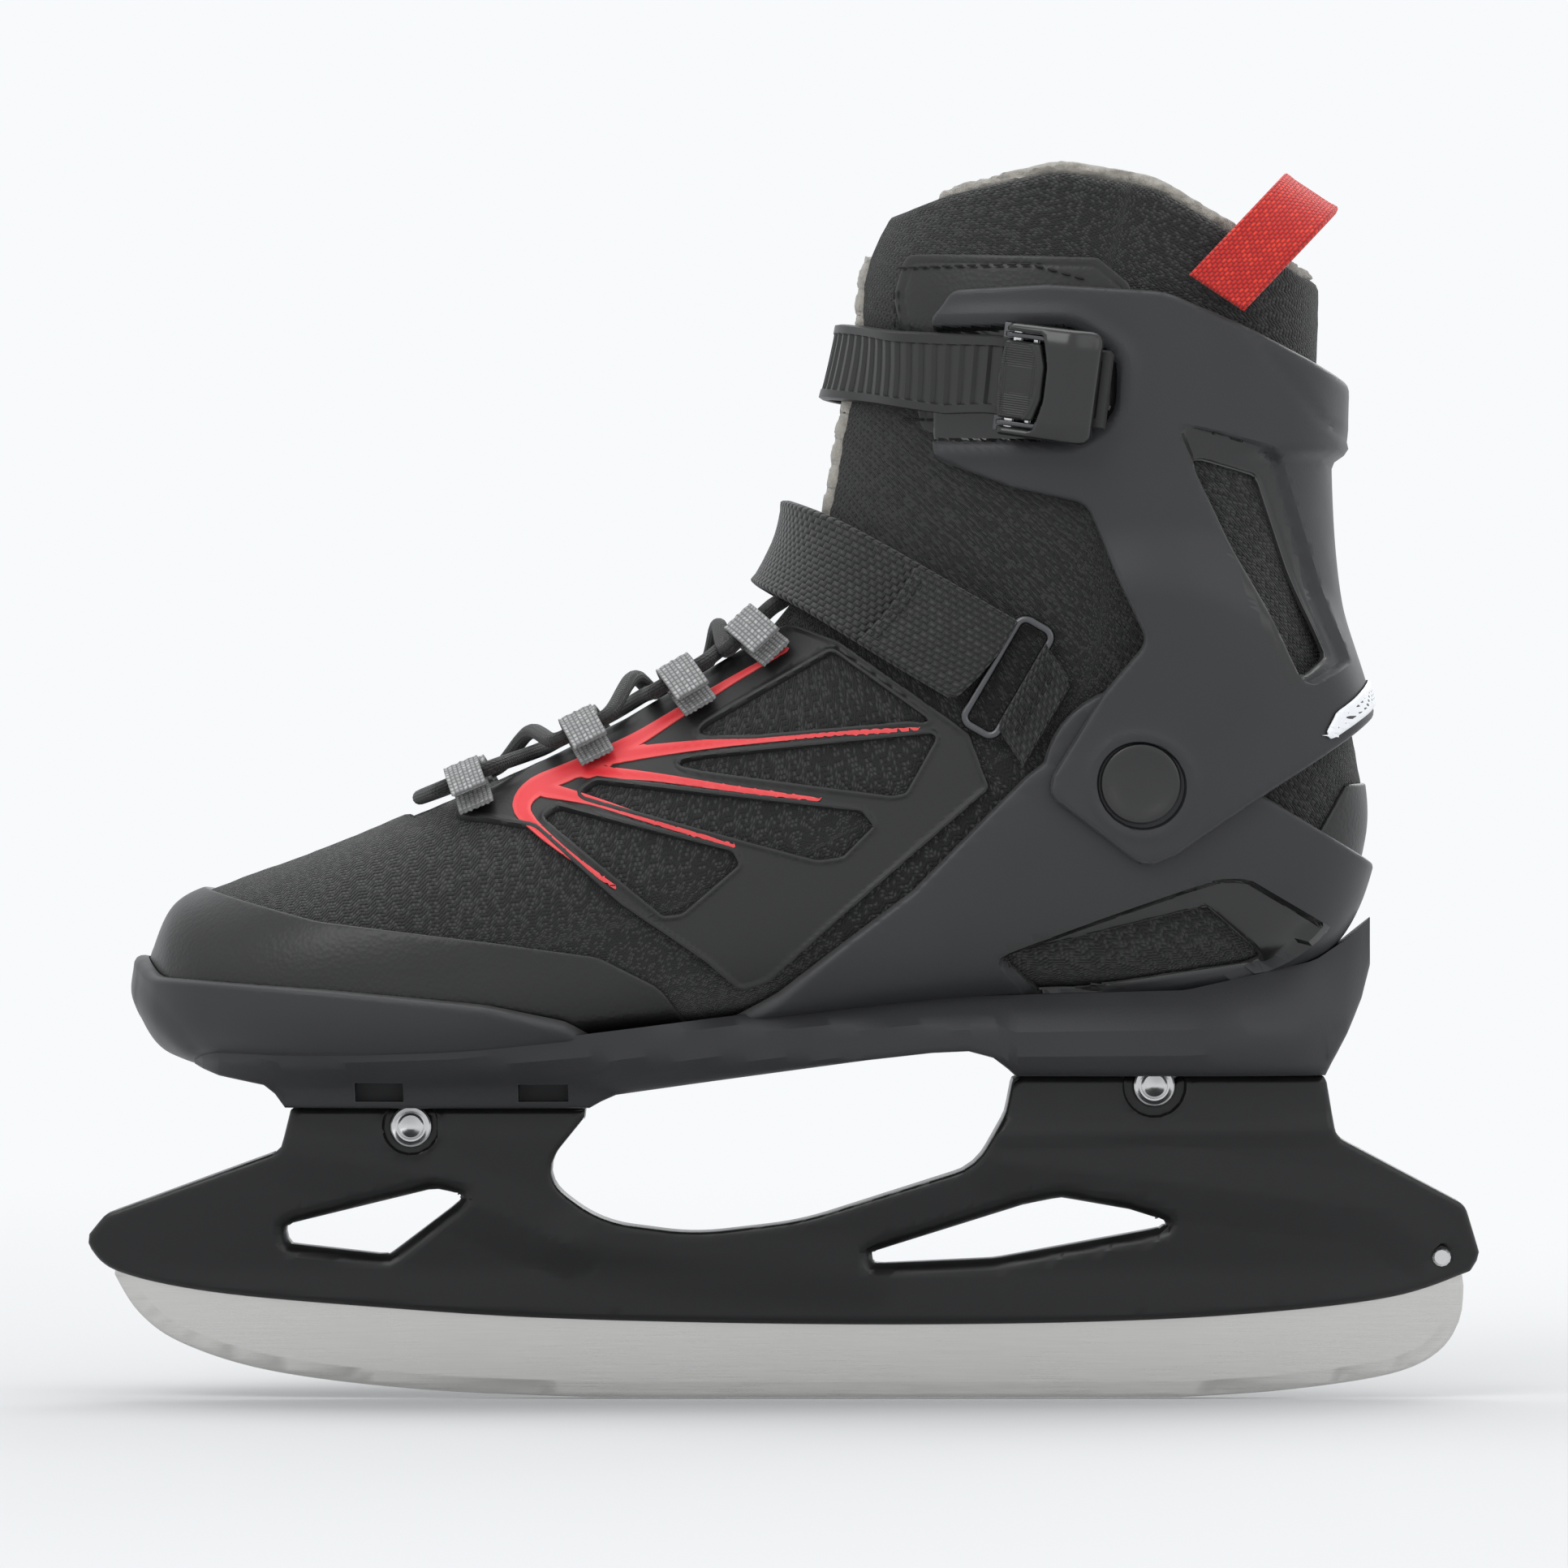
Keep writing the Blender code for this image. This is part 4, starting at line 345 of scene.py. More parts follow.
def trimmed(name, us, vs, trim, top, bottom, cuts=(), levels=EDGE_LEVELS, wrap=False, angle=38.0, cloth=None):
    """A closed sheet over a (u, v) grid between two surfaces, trimmed where trim > 0 and cut along lines."""
    nu, nv = len(us), len(vs)
    uu, vv = np.meshgrid(us, vs, indexing="ij")
    uv = np.stack([uu.ravel(), vv.ravel()], 1)
    reach = 0.006
    near = trim(uv) < reach
    tris = []
    columns = nv if wrap else nv - 1
    index = np.arange(nu * nv).reshape(nu, nv)
    a, b = index[:-1, :], index[1:, :]
    nxt = lambda m: np.roll(m, -1, 1)[:, :columns] if wrap else m[:, 1:]
    quads = np.stack([a[:, :columns], nxt(a), nxt(b), b[:, :columns]], -1).reshape(-1, 4)
    quads = quads[near[quads].any(1)]
    if wrap:
        # the last column joins v = 4 to v = 0, so its points are doubled with v + 4
        joined = uv[quads[:, 1], 1] < uv[quads[:, 0], 1]
        more = {}
        for row in quads[joined]:
            for k in (1, 2):
                more.setdefault(int(row[k]), len(uv) + len(more))
        if more:
            lifted = uv[list(more)] + np.array([0.0, 4.0])
            uv = np.vstack([uv, lifted])
            quads = quads.copy()
            for r in np.where(joined)[0]:
                quads[r, 1] = more[int(quads[r, 1])]
                quads[r, 2] = more[int(quads[r, 2])]
    tris = np.vstack([quads[:, [0, 1, 2]], quads[:, [0, 2, 3]]])
    for field, marks in [(trim, levels)] + list(cuts):
        for mark in marks:
            uv, tris = split_at(uv, tris, field(uv) - mark, 0.00005)
    value = trim(uv)
    tris = tris[value[tris].mean(1) < 0]
    used = np.unique(tris)
    remap = np.full(len(uv), -1)
    remap[used] = np.arange(len(used))
    uv, tris = uv[used], remap[tris]
    value = value[used]
    upper, lower = top(uv, value), bottom(uv, value)
    # weld the seam of a wrapped grid and the closed nose
    points = np.vstack([upper, lower])
    count = len(upper)
    key = {}
    weld = np.arange(count)
    for i, p in enumerate(np.round(upper, 7)):
        weld[i] = key.setdefault(tuple(p), i)
    tris = weld[tris]
    tris = tris[(tris[:, 0] != tris[:, 1]) & (tris[:, 1] != tris[:, 2]) & (tris[:, 0] != tris[:, 2])]
    edges = np.vstack([tris[:, [0, 1]], tris[:, [1, 2]], tris[:, [2, 0]]])
    code = edges[:, 0].astype(np.int64) * (2 * count) + edges[:, 1]
    back = edges[:, 1].astype(np.int64) * (2 * count) + edges[:, 0]
    rim = edges[~np.isin(code, back)]
    walls = [(b, a, a + count, b + count) for a, b in rim]
    faces = tris.tolist() + (tris[:, ::-1] + count).tolist() + walls
    used = np.unique(np.concatenate([np.array(f) for f in faces]))
    remap = np.full(2 * count, -1)
    remap[used] = np.arange(len(used))
    faces = [[int(remap[i]) for i in f] for f in faces]
    both = np.vstack([uv, uv])[used]
    obj = new_piece(name, points[used], faces, angle)
    keep_values(obj, "rim", np.concatenate([-value, -value])[used] * 1000)
    coords = cloth(both) if cloth else both * np.array([BOOT_RUN, BOOT_GIRTH / 4])
    keep_map(obj, coords)
    return obj


def boot_field(test):
    """A field over the boot's own grid from a test of side points and whole points."""
    def field(uv):
        p = boot(uv[:, 0], turn_of(uv[:, 1]))
        return test(p)
    return field


def offset(out):
    """A surface that far out from the boot; out is a number or a function of points and edge distances."""
    def surface(uv, value):
        turn = turn_of(uv[:, 1])
        p = boot(uv[:, 0], turn)
        distance = out(p, value, uv) if callable(out) else np.full(len(p), out)
        return p + boot_normals(uv[:, 0], turn) * distance[:, None]
    return surface


def round_steps(step):
    """Steps once round the boot, without the repeated end."""
    return steps(0.0, 4.0, step)[:-1]


NO_RIM = 5.0  # a rim distance, in millimetres, beyond any edge wear and painted edge sheen


def steps(low, high, step):
    return np.linspace(low, high, max(2, int(round((high - low) / step)) + 1))


# ---------------------------------------------------------------- materials


SHELL_COLOUR = (0.027, 0.0275, 0.030)
HOLDER_COLOUR = (0.0045, 0.0045, 0.005)
PULL_COLOUR = (0.62, 0.010, 0.004)


def group(name, inputs, outputs):
    """An empty shader node group with named sockets; inputs are (name, type, default)."""
    tree = bpy.data.node_groups.new(name, "ShaderNodeTree")
    for label, kind, value in inputs:
        socket = tree.interface.new_socket(label, in_out="INPUT", socket_type="NodeSocket" + kind)
        if value is not None:
            socket.default_value = value
    for label, kind in outputs:
        tree.interface.new_socket(label, in_out="OUTPUT", socket_type="NodeSocket" + kind)
    return tree, tree.nodes.new("NodeGroupInput"), tree.nodes.new("NodeGroupOutput")


def math_node(tree, operation, a, b=None, c=None, clamp=False):
    """A maths node's output; each operand is a number or a socket."""
    node = tree.nodes.new("ShaderNodeMath")
    node.operation = operation
    node.use_clamp = clamp
    for socket, value in zip(node.inputs, (a, b, c)):
        if value is None:
            continue
        if isinstance(value, (int, float)):
            socket.default_value = value
        else:
            tree.links.new(value, socket)
    return node.outputs[0]


def colour_mix(tree, factor, a, b, blend="MIX"):
    """The blend of two colours; each operand is a value or a socket."""
    node = tree.nodes.new("ShaderNodeMix")
    node.data_type = "RGBA"
    node.blend_type = blend
    for label, value in (("Factor", factor), ("A", a), ("B", b)):
        if isinstance(value, (float, tuple)):
            node.inputs[label].default_value = value
        else:
            tree.links.new(value, node.inputs[label])
    return node.outputs["Result"]


def even_colour(tree, level):
    """A grey of a level, for multiplying a colour."""
    node = tree.nodes.new("ShaderNodeCombineColor")
    for socket in node.inputs:
        tree.links.new(level, socket)
    return node.outputs[0]


def noise(tree, vector, scale, detail=3.0, rough=0.55):
    node = tree.nodes.new("ShaderNodeTexNoise")
    node.inputs["Scale"].default_value = scale
    node.inputs["Detail"].default_value = detail
    node.inputs["Roughness"].default_value = rough
    tree.links.new(vector, node.inputs["Vector"])
    return node.outputs["Fac"]


def moulded_group():
    """Moulded plastic: fine grain, slow colour drift, and a lighter colour along the rims that is partly
    handling wear and partly a painted edge sheen.
    """
    tree, inp, out = group("Moulded finish", [
        ("Vector", "Vector", None), ("Rim", "Float", 10.0), ("Base", "Color", (0.05, 0.05, 0.05, 1)),
        ("Wear and Sheen", "Color", (0.1, 0.1, 0.1, 1)), ("Rough", "Float", 0.45), ("Grain Scale", "Float", 2200.0)],
        [("Color", "Color"), ("Roughness", "Float"), ("Height", "Float")])
    vector = inp.outputs["Vector"]
    drift = noise(tree, vector, 22.0, 2.0)
    smear = noise(tree, vector, 90.0, 4.0, 0.6)
    grain = tree.nodes.new("ShaderNodeTexNoise")
    grain.inputs["Detail"].default_value = 2.0
    tree.links.new(vector, grain.inputs["Vector"])
    tree.links.new(inp.outputs["Grain Scale"], grain.inputs["Scale"])
    # painted highlight and wear: near the rims the colour turns lighter, partly handling wear and partly a
    # painted edge sheen
    near = math_node(tree, "SUBTRACT", 1.0, math_node(tree, "DIVIDE", inp.outputs["Rim"], 1.1), clamp=True)
    scuff_and_sheen = math_node(tree, "MULTIPLY", near, math_node(tree, "MULTIPLY_ADD", smear, 1.3))
    wear_and_sheen = math_node(tree, "MULTIPLY", scuff_and_sheen, 0.55, clamp=True)
    tone = colour_mix(tree, wear_and_sheen, inp.outputs["Base"], inp.outputs["Wear and Sheen"])
    level = math_node(tree, "MULTIPLY_ADD", drift, 0.36, 0.82)
    shade = colour_mix(tree, 1.0, tone, even_colour(tree, level), "MULTIPLY")
    least = math_node(tree, "SUBTRACT", inp.outputs["Rough"], 0.08)
    rough = math_node(tree, "MULTIPLY_ADD", smear, 0.16, least)
    tree.links.new(shade, out.inputs["Color"])
    tree.links.new(rough, out.inputs["Roughness"])
    tree.links.new(grain.outputs["Fac"], out.inputs["Height"])
    return tree


def weave_group():
    """Woven cloth on a map in metres: crossing yarns with a brick offset, flecks of lighter yarn, and painted
    shade in the gaps between the yarns.
    """
    tree, inp, out = group("Woven yarns", [("Vector", "Vector", None), ("Yarn", "Float", 0.001),
                                           ("Stretch", "Float", 1.0), ("Shift", "Float", 0.5),
                                           ("Zigzag", "Float", 0.0),
                                           ("Base", "Color", (0.02, 0.02, 0.02, 1)),
                                           ("Fleck", "Color", (0.1, 0.1, 0.1, 1)),
                                           ("Flecks", "Float", 0.2)],
        [("Color", "Color"), ("Height", "Float"), ("Gap", "Float")])
    split = tree.nodes.new("ShaderNodeSeparateXYZ")
    tree.links.new(inp.outputs["Vector"], split.inputs[0])
    u = math_node(tree, "DIVIDE", split.outputs["X"], inp.outputs["Yarn"])
    v = math_node(tree, "DIVIDE", split.outputs["Y"], math_node(tree, "MULTIPLY", inp.outputs["Yarn"],
                                                              inp.outputs["Stretch"]))
    bend = math_node(tree, "ABSOLUTE", math_node(tree, "SUBTRACT", math_node(
        tree, "FRACT", math_node(tree, "MULTIPLY", u, 0.25)), 0.5))
    v = math_node(tree, "ADD", v, math_node(tree, "MULTIPLY", bend, inp.outputs["Zigzag"]))
    row = math_node(tree, "FLOOR", v)
    u = math_node(tree, "ADD", u, math_node(tree, "MULTIPLY", row, inp.outputs["Shift"]))
    cell_u = math_node(tree, "FRACT", u)
    cell_v = math_node(tree, "FRACT", v)

    def hump(cell):
        return math_node(tree, "SINE", math_node(tree, "MULTIPLY", cell, math.pi))

    height = math_node(tree, "POWER", math_node(tree, "MULTIPLY", hump(cell_u), hump(cell_v)), 0.5)
    cell = tree.nodes.new("ShaderNodeCombineXYZ")
    tree.links.new(math_node(tree, "FLOOR", u), cell.inputs[0])
    tree.links.new(row, cell.inputs[1])
    random = tree.nodes.new("ShaderNodeTexWhiteNoise")
    random.noise_dimensions = "2D"
    tree.links.new(cell.outputs[0], random.inputs["Vector"])
    light = math_node(tree, "LESS_THAN", random.outputs["Value"], inp.outputs["Flecks"])
    flecked = math_node(tree, "MULTIPLY", light, height)
    mixed = colour_mix(tree, flecked, inp.outputs["Base"], inp.outputs["Fleck"])
    # painted shade: the colour darkens between the yarns, where the height falls
    level = math_node(tree, "MULTIPLY_ADD", height, 0.62, 0.38)
    gap_shaded = colour_mix(tree, 1.0, mixed, even_colour(tree, level), "MULTIPLY")
    tree.links.new(gap_shaded, out.inputs["Color"])
    tree.links.new(height, out.inputs["Height"])
    tree.links.new(math_node(tree, "SUBTRACT", 1.0, height, clamp=True), out.inputs["Gap"])
    return tree


def new_material(name):
    made = bpy.data.materials.new(name)
    made.use_nodes = True
    return made, made.node_tree, made.node_tree.nodes["Principled BSDF"]


def bump(tree, shader, height, distance, strength=1.0):
    node = tree.nodes.new("ShaderNodeBump")
    node.inputs["Distance"].default_value = distance
    node.inputs["Strength"].default_value = strength
    tree.links.new(height, node.inputs["Height"])
    tree.links.new(node.outputs[0], shader.inputs["Normal"])
    return node


def object_vector(tree):
    return tree.nodes.new("ShaderNodeTexCoord").outputs["Object"]


def attribute(tree, name):
    node = tree.nodes.new("ShaderNodeAttribute")
    node.attribute_name = name
    return node.outputs["Fac"]


def grey(value, tint=(1.0, 1.0, 1.0)):
    return (value * tint[0], value * tint[1], value * tint[2], 1.0)


MOULDED = moulded_group()
WOVEN = weave_group()


def moulded(name, base, wear_and_sheen, rough, grain=2200.0, depth=0.00004, coat=0.0, rim=True):
    made, tree, shader = new_material(name)
    node = tree.nodes.new("ShaderNodeGroup")
    node.node_tree = MOULDED
    tree.links.new(object_vector(tree), node.inputs["Vector"])
    if rim:
        tree.links.new(attribute(tree, "rim"), node.inputs["Rim"])
    for label, value in (("Base", base), ("Wear and Sheen", wear_and_sheen), ("Rough", rough), ("Grain Scale", grain)):
        node.inputs[label].default_value = value
    tree.links.new(node.outputs["Color"], shader.inputs["Base Color"])
    tree.links.new(node.outputs["Roughness"], shader.inputs["Roughness"])
    shader.inputs["Specular IOR Level"].default_value = 0.36
    shader.inputs["Coat Weight"].default_value = coat
    shader.inputs["Coat Roughness"].default_value = 0.25
    bump(tree, shader, node.outputs["Height"], depth)
    return made


def woven(name, base, fleck, yarn, stretch=1.0, shift=0.5, flecks=0.15, depth=0.0003, rough=0.85, sheen=0.12,
          turned=0.0, zigzag=0.0):
    made, tree, shader = new_material(name)
    coords = tree.nodes.new("ShaderNodeUVMap")
    coords.uv_map = "Cloth"
    mapping = tree.nodes.new("ShaderNodeMapping")
    mapping.inputs["Rotation"].default_value = (0.0, 0.0, turned)
    tree.links.new(coords.outputs[0], mapping.inputs["Vector"])
    node = tree.nodes.new("ShaderNodeGroup")
    node.node_tree = WOVEN
    tree.links.new(mapping.outputs[0], node.inputs["Vector"])
    for label, value in (("Yarn", yarn), ("Stretch", stretch), ("Shift", shift), ("Base", base),
                         ("Fleck", fleck), ("Flecks", flecks), ("Zigzag", zigzag)):
        node.inputs[label].default_value = value
    tree.links.new(node.outputs["Color"], shader.inputs["Base Color"])
    shader.inputs["Roughness"].default_value = rough
    shader.inputs["Sheen Weight"].default_value = sheen
    shader.inputs["Sheen Roughness"].default_value = 0.5
    bump(tree, shader, node.outputs["Height"], depth)
    return made


def brushed(name, base, rough, along):
    """Metal with fine grinding marks; along is the scale of the marks on X, Y and Z."""
    made, tree, shader = new_material(name)
    mapping = tree.nodes.new("ShaderNodeMapping")
    mapping.inputs["Scale"].default_value = along
    tree.links.new(object_vector(tree), mapping.inputs["Vector"])
    marks = noise(tree, mapping.outputs[0], 1.0, 4.0, 0.65)
    patches = noise(tree, object_vector(tree), 35.0, 3.0)
    patched = math_node(tree, "MULTIPLY_ADD", patches, 0.12, rough - 0.17)
    tree.links.new(math_node(tree, "MULTIPLY_ADD", marks, 0.22, patched), shader.inputs["Roughness"])
    darker = tuple(c * 0.82 for c in base[:3]) + (1.0,)
    tree.links.new(colour_mix(tree, marks, darker, base), shader.inputs["Base Color"])
    shader.inputs["Metallic"].default_value = 1.0
    bump(tree, shader, marks, 0.00001)
    return made


def leather(name, base, wear_and_sheen, rough, depth=0.00012, scale=900.0):
    """Smooth coated leather: shallow pebble grain, slow creases, and paler rims that are partly wear and
    partly a painted edge sheen.
    """
    made, tree, shader = new_material(name)
    vector = object_vector(tree)
    pebble = tree.nodes.new("ShaderNodeTexVoronoi")
    pebble.inputs["Scale"].default_value = scale
    tree.links.new(vector, pebble.inputs["Vector"])
    slow = noise(tree, vector, 60.0, 5.0, 0.6)
    height = math_node(tree, "ADD", math_node(tree, "MULTIPLY", pebble.outputs["Distance"], 0.5),
                       math_node(tree, "MULTIPLY", slow, 0.9))
    # paler near the rims: partly wear, partly a painted edge sheen
    away = math_node(tree, "DIVIDE", attribute(tree, "rim"), 0.8)
    near = math_node(tree, "SUBTRACT", 1.0, away, clamp=True)
    share = math_node(tree, "MULTIPLY_ADD", near, 0.6, math_node(tree, "MULTIPLY", slow, 0.25))
    tree.links.new(colour_mix(tree, share, base, wear_and_sheen), shader.inputs["Base Color"])
    tree.links.new(math_node(tree, "MULTIPLY_ADD", slow, 0.2, rough - 0.1), shader.inputs["Roughness"])
    bump(tree, shader, height, depth)
    return made


def pile(name, base, clump_shade):
    """Short brushed pile: soft clumps, with painted shade between them."""
    made, tree, shader = new_material(name)
    vector = object_vector(tree)
    clumps = noise(tree, vector, 420.0, 6.0, 0.7)
    fibres = noise(tree, vector, 2600.0, 3.0, 0.7)
    height = math_node(tree, "ADD", clumps, math_node(tree, "MULTIPLY", fibres, 0.5))
    # painted shade: the colour turns darker where the pile is low, between the clumps
    spread = tree.nodes.new("ShaderNodeMapRange")
    spread.inputs["From Min"].default_value = 0.42
    spread.inputs["From Max"].default_value = 1.05
    tree.links.new(height, spread.inputs["Value"])
    tree.links.new(colour_mix(tree, spread.outputs[0], clump_shade, base), shader.inputs["Base Color"])
    shader.inputs["Roughness"].default_value = 0.95
    shader.inputs["Sheen Weight"].default_value = 0.5
    bump(tree, shader, height, 0.0009)
    return made


def make_materials():
    shell = (*SHELL_COLOUR, 1.0)
    made = {
        "shell": moulded("Charcoal shell", shell, grey(0.07), 0.44, 1900.0, 0.00003),
        "facet": moulded("Polished facet", grey(0.008), grey(0.05), 0.2, 300.0, 0.000005, 0.5),
        "holder": moulded("Black holder", (*HOLDER_COLOUR, 1.0), grey(0.022), 0.36, 1600.0, 0.000012, 0.15),
        "button": moulded("Glossy button", grey(0.007), grey(0.04), 0.25, 300.0, 0.000005, 0.5, rim=False),
        "small_plastic": moulded("Buckle plastic", grey(0.008), grey(0.04), 0.33, 1900.0, 0.00002, 0.1,
                                 rim=False),
        "ladder": moulded("Ladder plastic", grey(0.022), grey(0.06), 0.42, 1900.0, 0.00003, rim=False),
        "steel": brushed("Ground steel", (0.63, 0.62, 0.60, 1.0), 0.30, (60.0, 900.0, 2600.0)),
        "chrome": brushed("Turned bright steel", (0.66, 0.66, 0.66, 1.0), 0.18, (300.0, 300.0, 300.0)),
        "dark_steel": brushed("Dark wire", (0.11, 0.11, 0.115, 1.0), 0.3, (500.0, 500.0, 500.0)),
        "knit": woven("Zigzag knit", grey(0.0045), grey(0.036), 0.0011, 0.75, 0.5, 0.42, 0.0004,
                      turned=0.25, zigzag=2.2),
        "tongue": woven("Tongue knit", grey(0.0045), grey(0.03), 0.0010, 1.0, 0.5, 0.25, 0.0004),
        "branch": moulded("Printed branch", (0.62, 0.028, 0.036, 1.0), (0.75, 0.10, 0.10, 1.0), 0.42, 2600.0,
                          0.00002),
        "overlay": leather("Matt film", grey(0.0065), grey(0.02), 0.5, 0.00004, 1500.0),
        "leather": leather("Coated leather", grey(0.006), grey(0.02), 0.40),
        "black_webbing": woven("Black webbing", grey(0.0045), grey(0.016), 0.0021, 0.75, 0.5, 0.3, 0.0008,
                               0.55, 0.15),
        "grey_webbing": woven("Grey ribbed webbing", grey(0.30), grey(0.42), 0.0014, 0.8, 0.0, 0.3,
                              0.0004, 0.8),
        "red_webbing": woven("Red webbing", (*PULL_COLOUR, 1.0), (0.80, 0.03, 0.01, 1.0), 0.0015, 0.6, 0.5,
                             0.3, 0.0004, 0.7, 0.1),
        "lace": woven("Lace braid", grey(0.005), grey(0.02), 0.0011, 0.8, 0.5, 0.2, 0.0003, 0.7),
        "fleece": pile("Pale fleece", (0.46, 0.43, 0.38, 1.0), (0.22, 0.205, 0.18, 1.0)),
        "foam": woven("Insole felt", grey(0.03), grey(0.07), 0.0016, 1.0, 0.5, 0.3, 0.0002),
        "thread": moulded("Black thread", grey(0.004), grey(0.02), 0.6, 2600.0, 0.00004, rim=False),
        "strip": reflective(),
    }
    return made


def reflective():
    """Silver reflective film with dark dots that thin out towards the top."""
    made, tree, shader = new_material("Dotted reflective film")
    vector = object_vector(tree)
    split = tree.nodes.new("ShaderNodeSeparateXYZ")
    tree.links.new(vector, split.inputs[0])
    pitch = 0.0013
    angle = math.radians(38.0)
    c, s = math.cos(angle) / pitch, math.sin(angle) / pitch
    x, y, z = split.outputs
    flat = math_node(tree, "ADD", x, math_node(tree, "MULTIPLY", y, -0.7))
    u = math_node(tree, "ADD", math_node(tree, "MULTIPLY", flat, c), math_node(tree, "MULTIPLY", z, s))
    v = math_node(tree, "SUBTRACT", math_node(tree, "MULTIPLY", z, c), math_node(tree, "MULTIPLY", flat, s))
    du = math_node(tree, "SUBTRACT", math_node(tree, "FRACT", u), 0.5)
    dv = math_node(tree, "SUBTRACT", math_node(tree, "FRACT", v), 0.5)
    radius = math_node(tree, "SQRT", math_node(tree, "ADD", math_node(tree, "MULTIPLY", du, du),
                                               math_node(tree, "MULTIPLY", dv, dv)))
    size = tree.nodes.new("ShaderNodeMapRange")
    tree.links.new(z, size.inputs["Value"])
    size.inputs["From Min"].default_value = 0.160
    size.inputs["From Max"].default_value = 0.1795
    size.inputs["To Min"].default_value = 0.46
    size.inputs["To Max"].default_value = 0.10
    dot = math_node(tree, "LESS_THAN", radius, size.outputs[0])
    dot = math_node(tree, "MULTIPLY", dot, math_node(tree, "GREATER_THAN", attribute(tree, "rim"), 1.5))
    silver, dark_dot = (0.80, 0.81, 0.83, 1.0), (0.035, 0.035, 0.037, 1.0)
    tree.links.new(colour_mix(tree, dot, silver, dark_dot), shader.inputs["Base Color"])
    shader.inputs["Roughness"].default_value = 0.35
    beads = noise(tree, vector, 3000.0, 2.0)
    bump(tree, shader, beads, 0.00002)
    return made


def dress(piece, material, body, *replaced, slot=None):
    """Gives a finished piece its material, its body and the nodes it stands for; the slot is not used."""
    piece.data.materials.clear()
    piece.data.materials.append(LOOKS[material])
    if body:
        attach(piece, body)
    if replaced:
        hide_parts(*replaced)
    return piece


LOOKS = make_materials()


# ---------------------------------------------------------------- soft boot

COLLAR = [(0.0, 277.0), (15.0, 279.0, 3), (23.0, 290.0, 5), (40.0, 295.4, 15), (66.0, 300.0, 20),
          (90.0, 295.6, 20), (112.0, 283.6, 15), (128.0, 275.0, 5), (150.0, 272.0)]
DORSAL = [(-92.0, 145.6), (-72.0, 154.6), (-38.0, 171.6), (-9.0, 190.0), (4.0, 209.0), (8.2, 228.0),
          (12.0, 250.0), (16.5, 275.0), (26.0, 296.0), (40.0, 316.0)]
THROAT_HALF = 0.0135
TONGUE_HALF = 0.026


def band_of(points, depth):
    """The side outline of a band along a run of design points, from outside it to depth inside."""
    line = smooth_run(points, 3)
    outside, inside = [], []
    for index, (x, z) in enumerate(line):
        ax, az = line[max(index - 1, 0)]
        bx, bz = line[min(index + 1, len(line) - 1)]
        along = np.array((bx - ax, bz - az)) / math.hypot(bx - ax, bz - az)
        outside.append((x - along[1] * 12.0, z + along[0] * 12.0))
        inside.append((x + along[1] * depth, z - along[0] * depth))
    return np.array(outside + inside[::-1]) * MM


def boot_fabric():
    """The knit bootie: one skin from toe to collar, open at the throat."""
    below = rounded([(-200.0, 60.0), (-200.0, 230.0), (-60.0, 277.0)] + COLLAR + [(190.0, 272.0),
                                                                                  (190.0, 60.0)])
    throat = band_of(DORSAL, 9.0)

    def test(p):
        flat = p[:, [0, 2]]
        slot = np.maximum(signed(flat, throat), np.abs(p[:, 1]) - THROAT_HALF)
        return np.maximum(signed(flat, below), -slot)

    def out(p, value, uv):
        crown = bow(-value / 0.0024)
        return -0.0022 * (1 - crown) + 0.00008 * np.sin(p[:, 2] * 900) * np.sin(p[:, 0] * 700)

    def inner(p, value, uv):
        return -BOOT_WALL + 0.0022 * (1 - bow(-value / 0.0024))

    piece = trimmed("boot_fabric", steps(-NOSE, 1.0, 0.0052), round_steps(0.04), boot_field(test),
                    offset(out), offset(inner), levels=(0.0, -0.0002, -0.0009, -0.0024), wrap=True,
                    angle=60.0)
    dress(piece, "knit", None, "boot_lower", "boot_shaft", slot="knit_fabric")
    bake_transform(piece)
    return piece


def tongue_pad():
    band = band_of(DORSAL, 26.0)
    top = rounded([(-200.0, 60.0), (-200.0, 230.0), (-60.0, 277.0)] + COLLAR + [(190.0, 272.0),
                                                                                (190.0, 60.0)])

    def test(p):
        flat = p[:, [0, 2]]
        return np.maximum(np.maximum(signed(flat, band), np.abs(p[:, 1]) - TONGUE_HALF), signed(flat, top))

    def out(p, value, uv):
        ribs = 0.5 + 0.5 * np.cos(uv[:, 0] * 2 * math.pi / 0.024)
        return -BOOT_WALL - GAP - 0.0024 * (1 - bow(-value / 0.005)) - 0.0006 * ribs ** 4

    def inner(p, value, uv):
        return -BOOT_WALL - GAP - TONGUE_THICKNESS + 0.0024 * (1 - bow(-value / 0.005))

    piece = trimmed("tongue_pad", steps(0.2, 1.0, 0.003), steps(1.0, 3.0, 0.022), boot_field(test),
                    offset(out), offset(inner), levels=(0.0, -0.0003, -0.0015, -0.005), angle=60.0)
    dress(piece, "tongue", None, "tongue_lower", "tongue_upper", slot="knit_fabric")
    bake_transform(piece)
    return piece


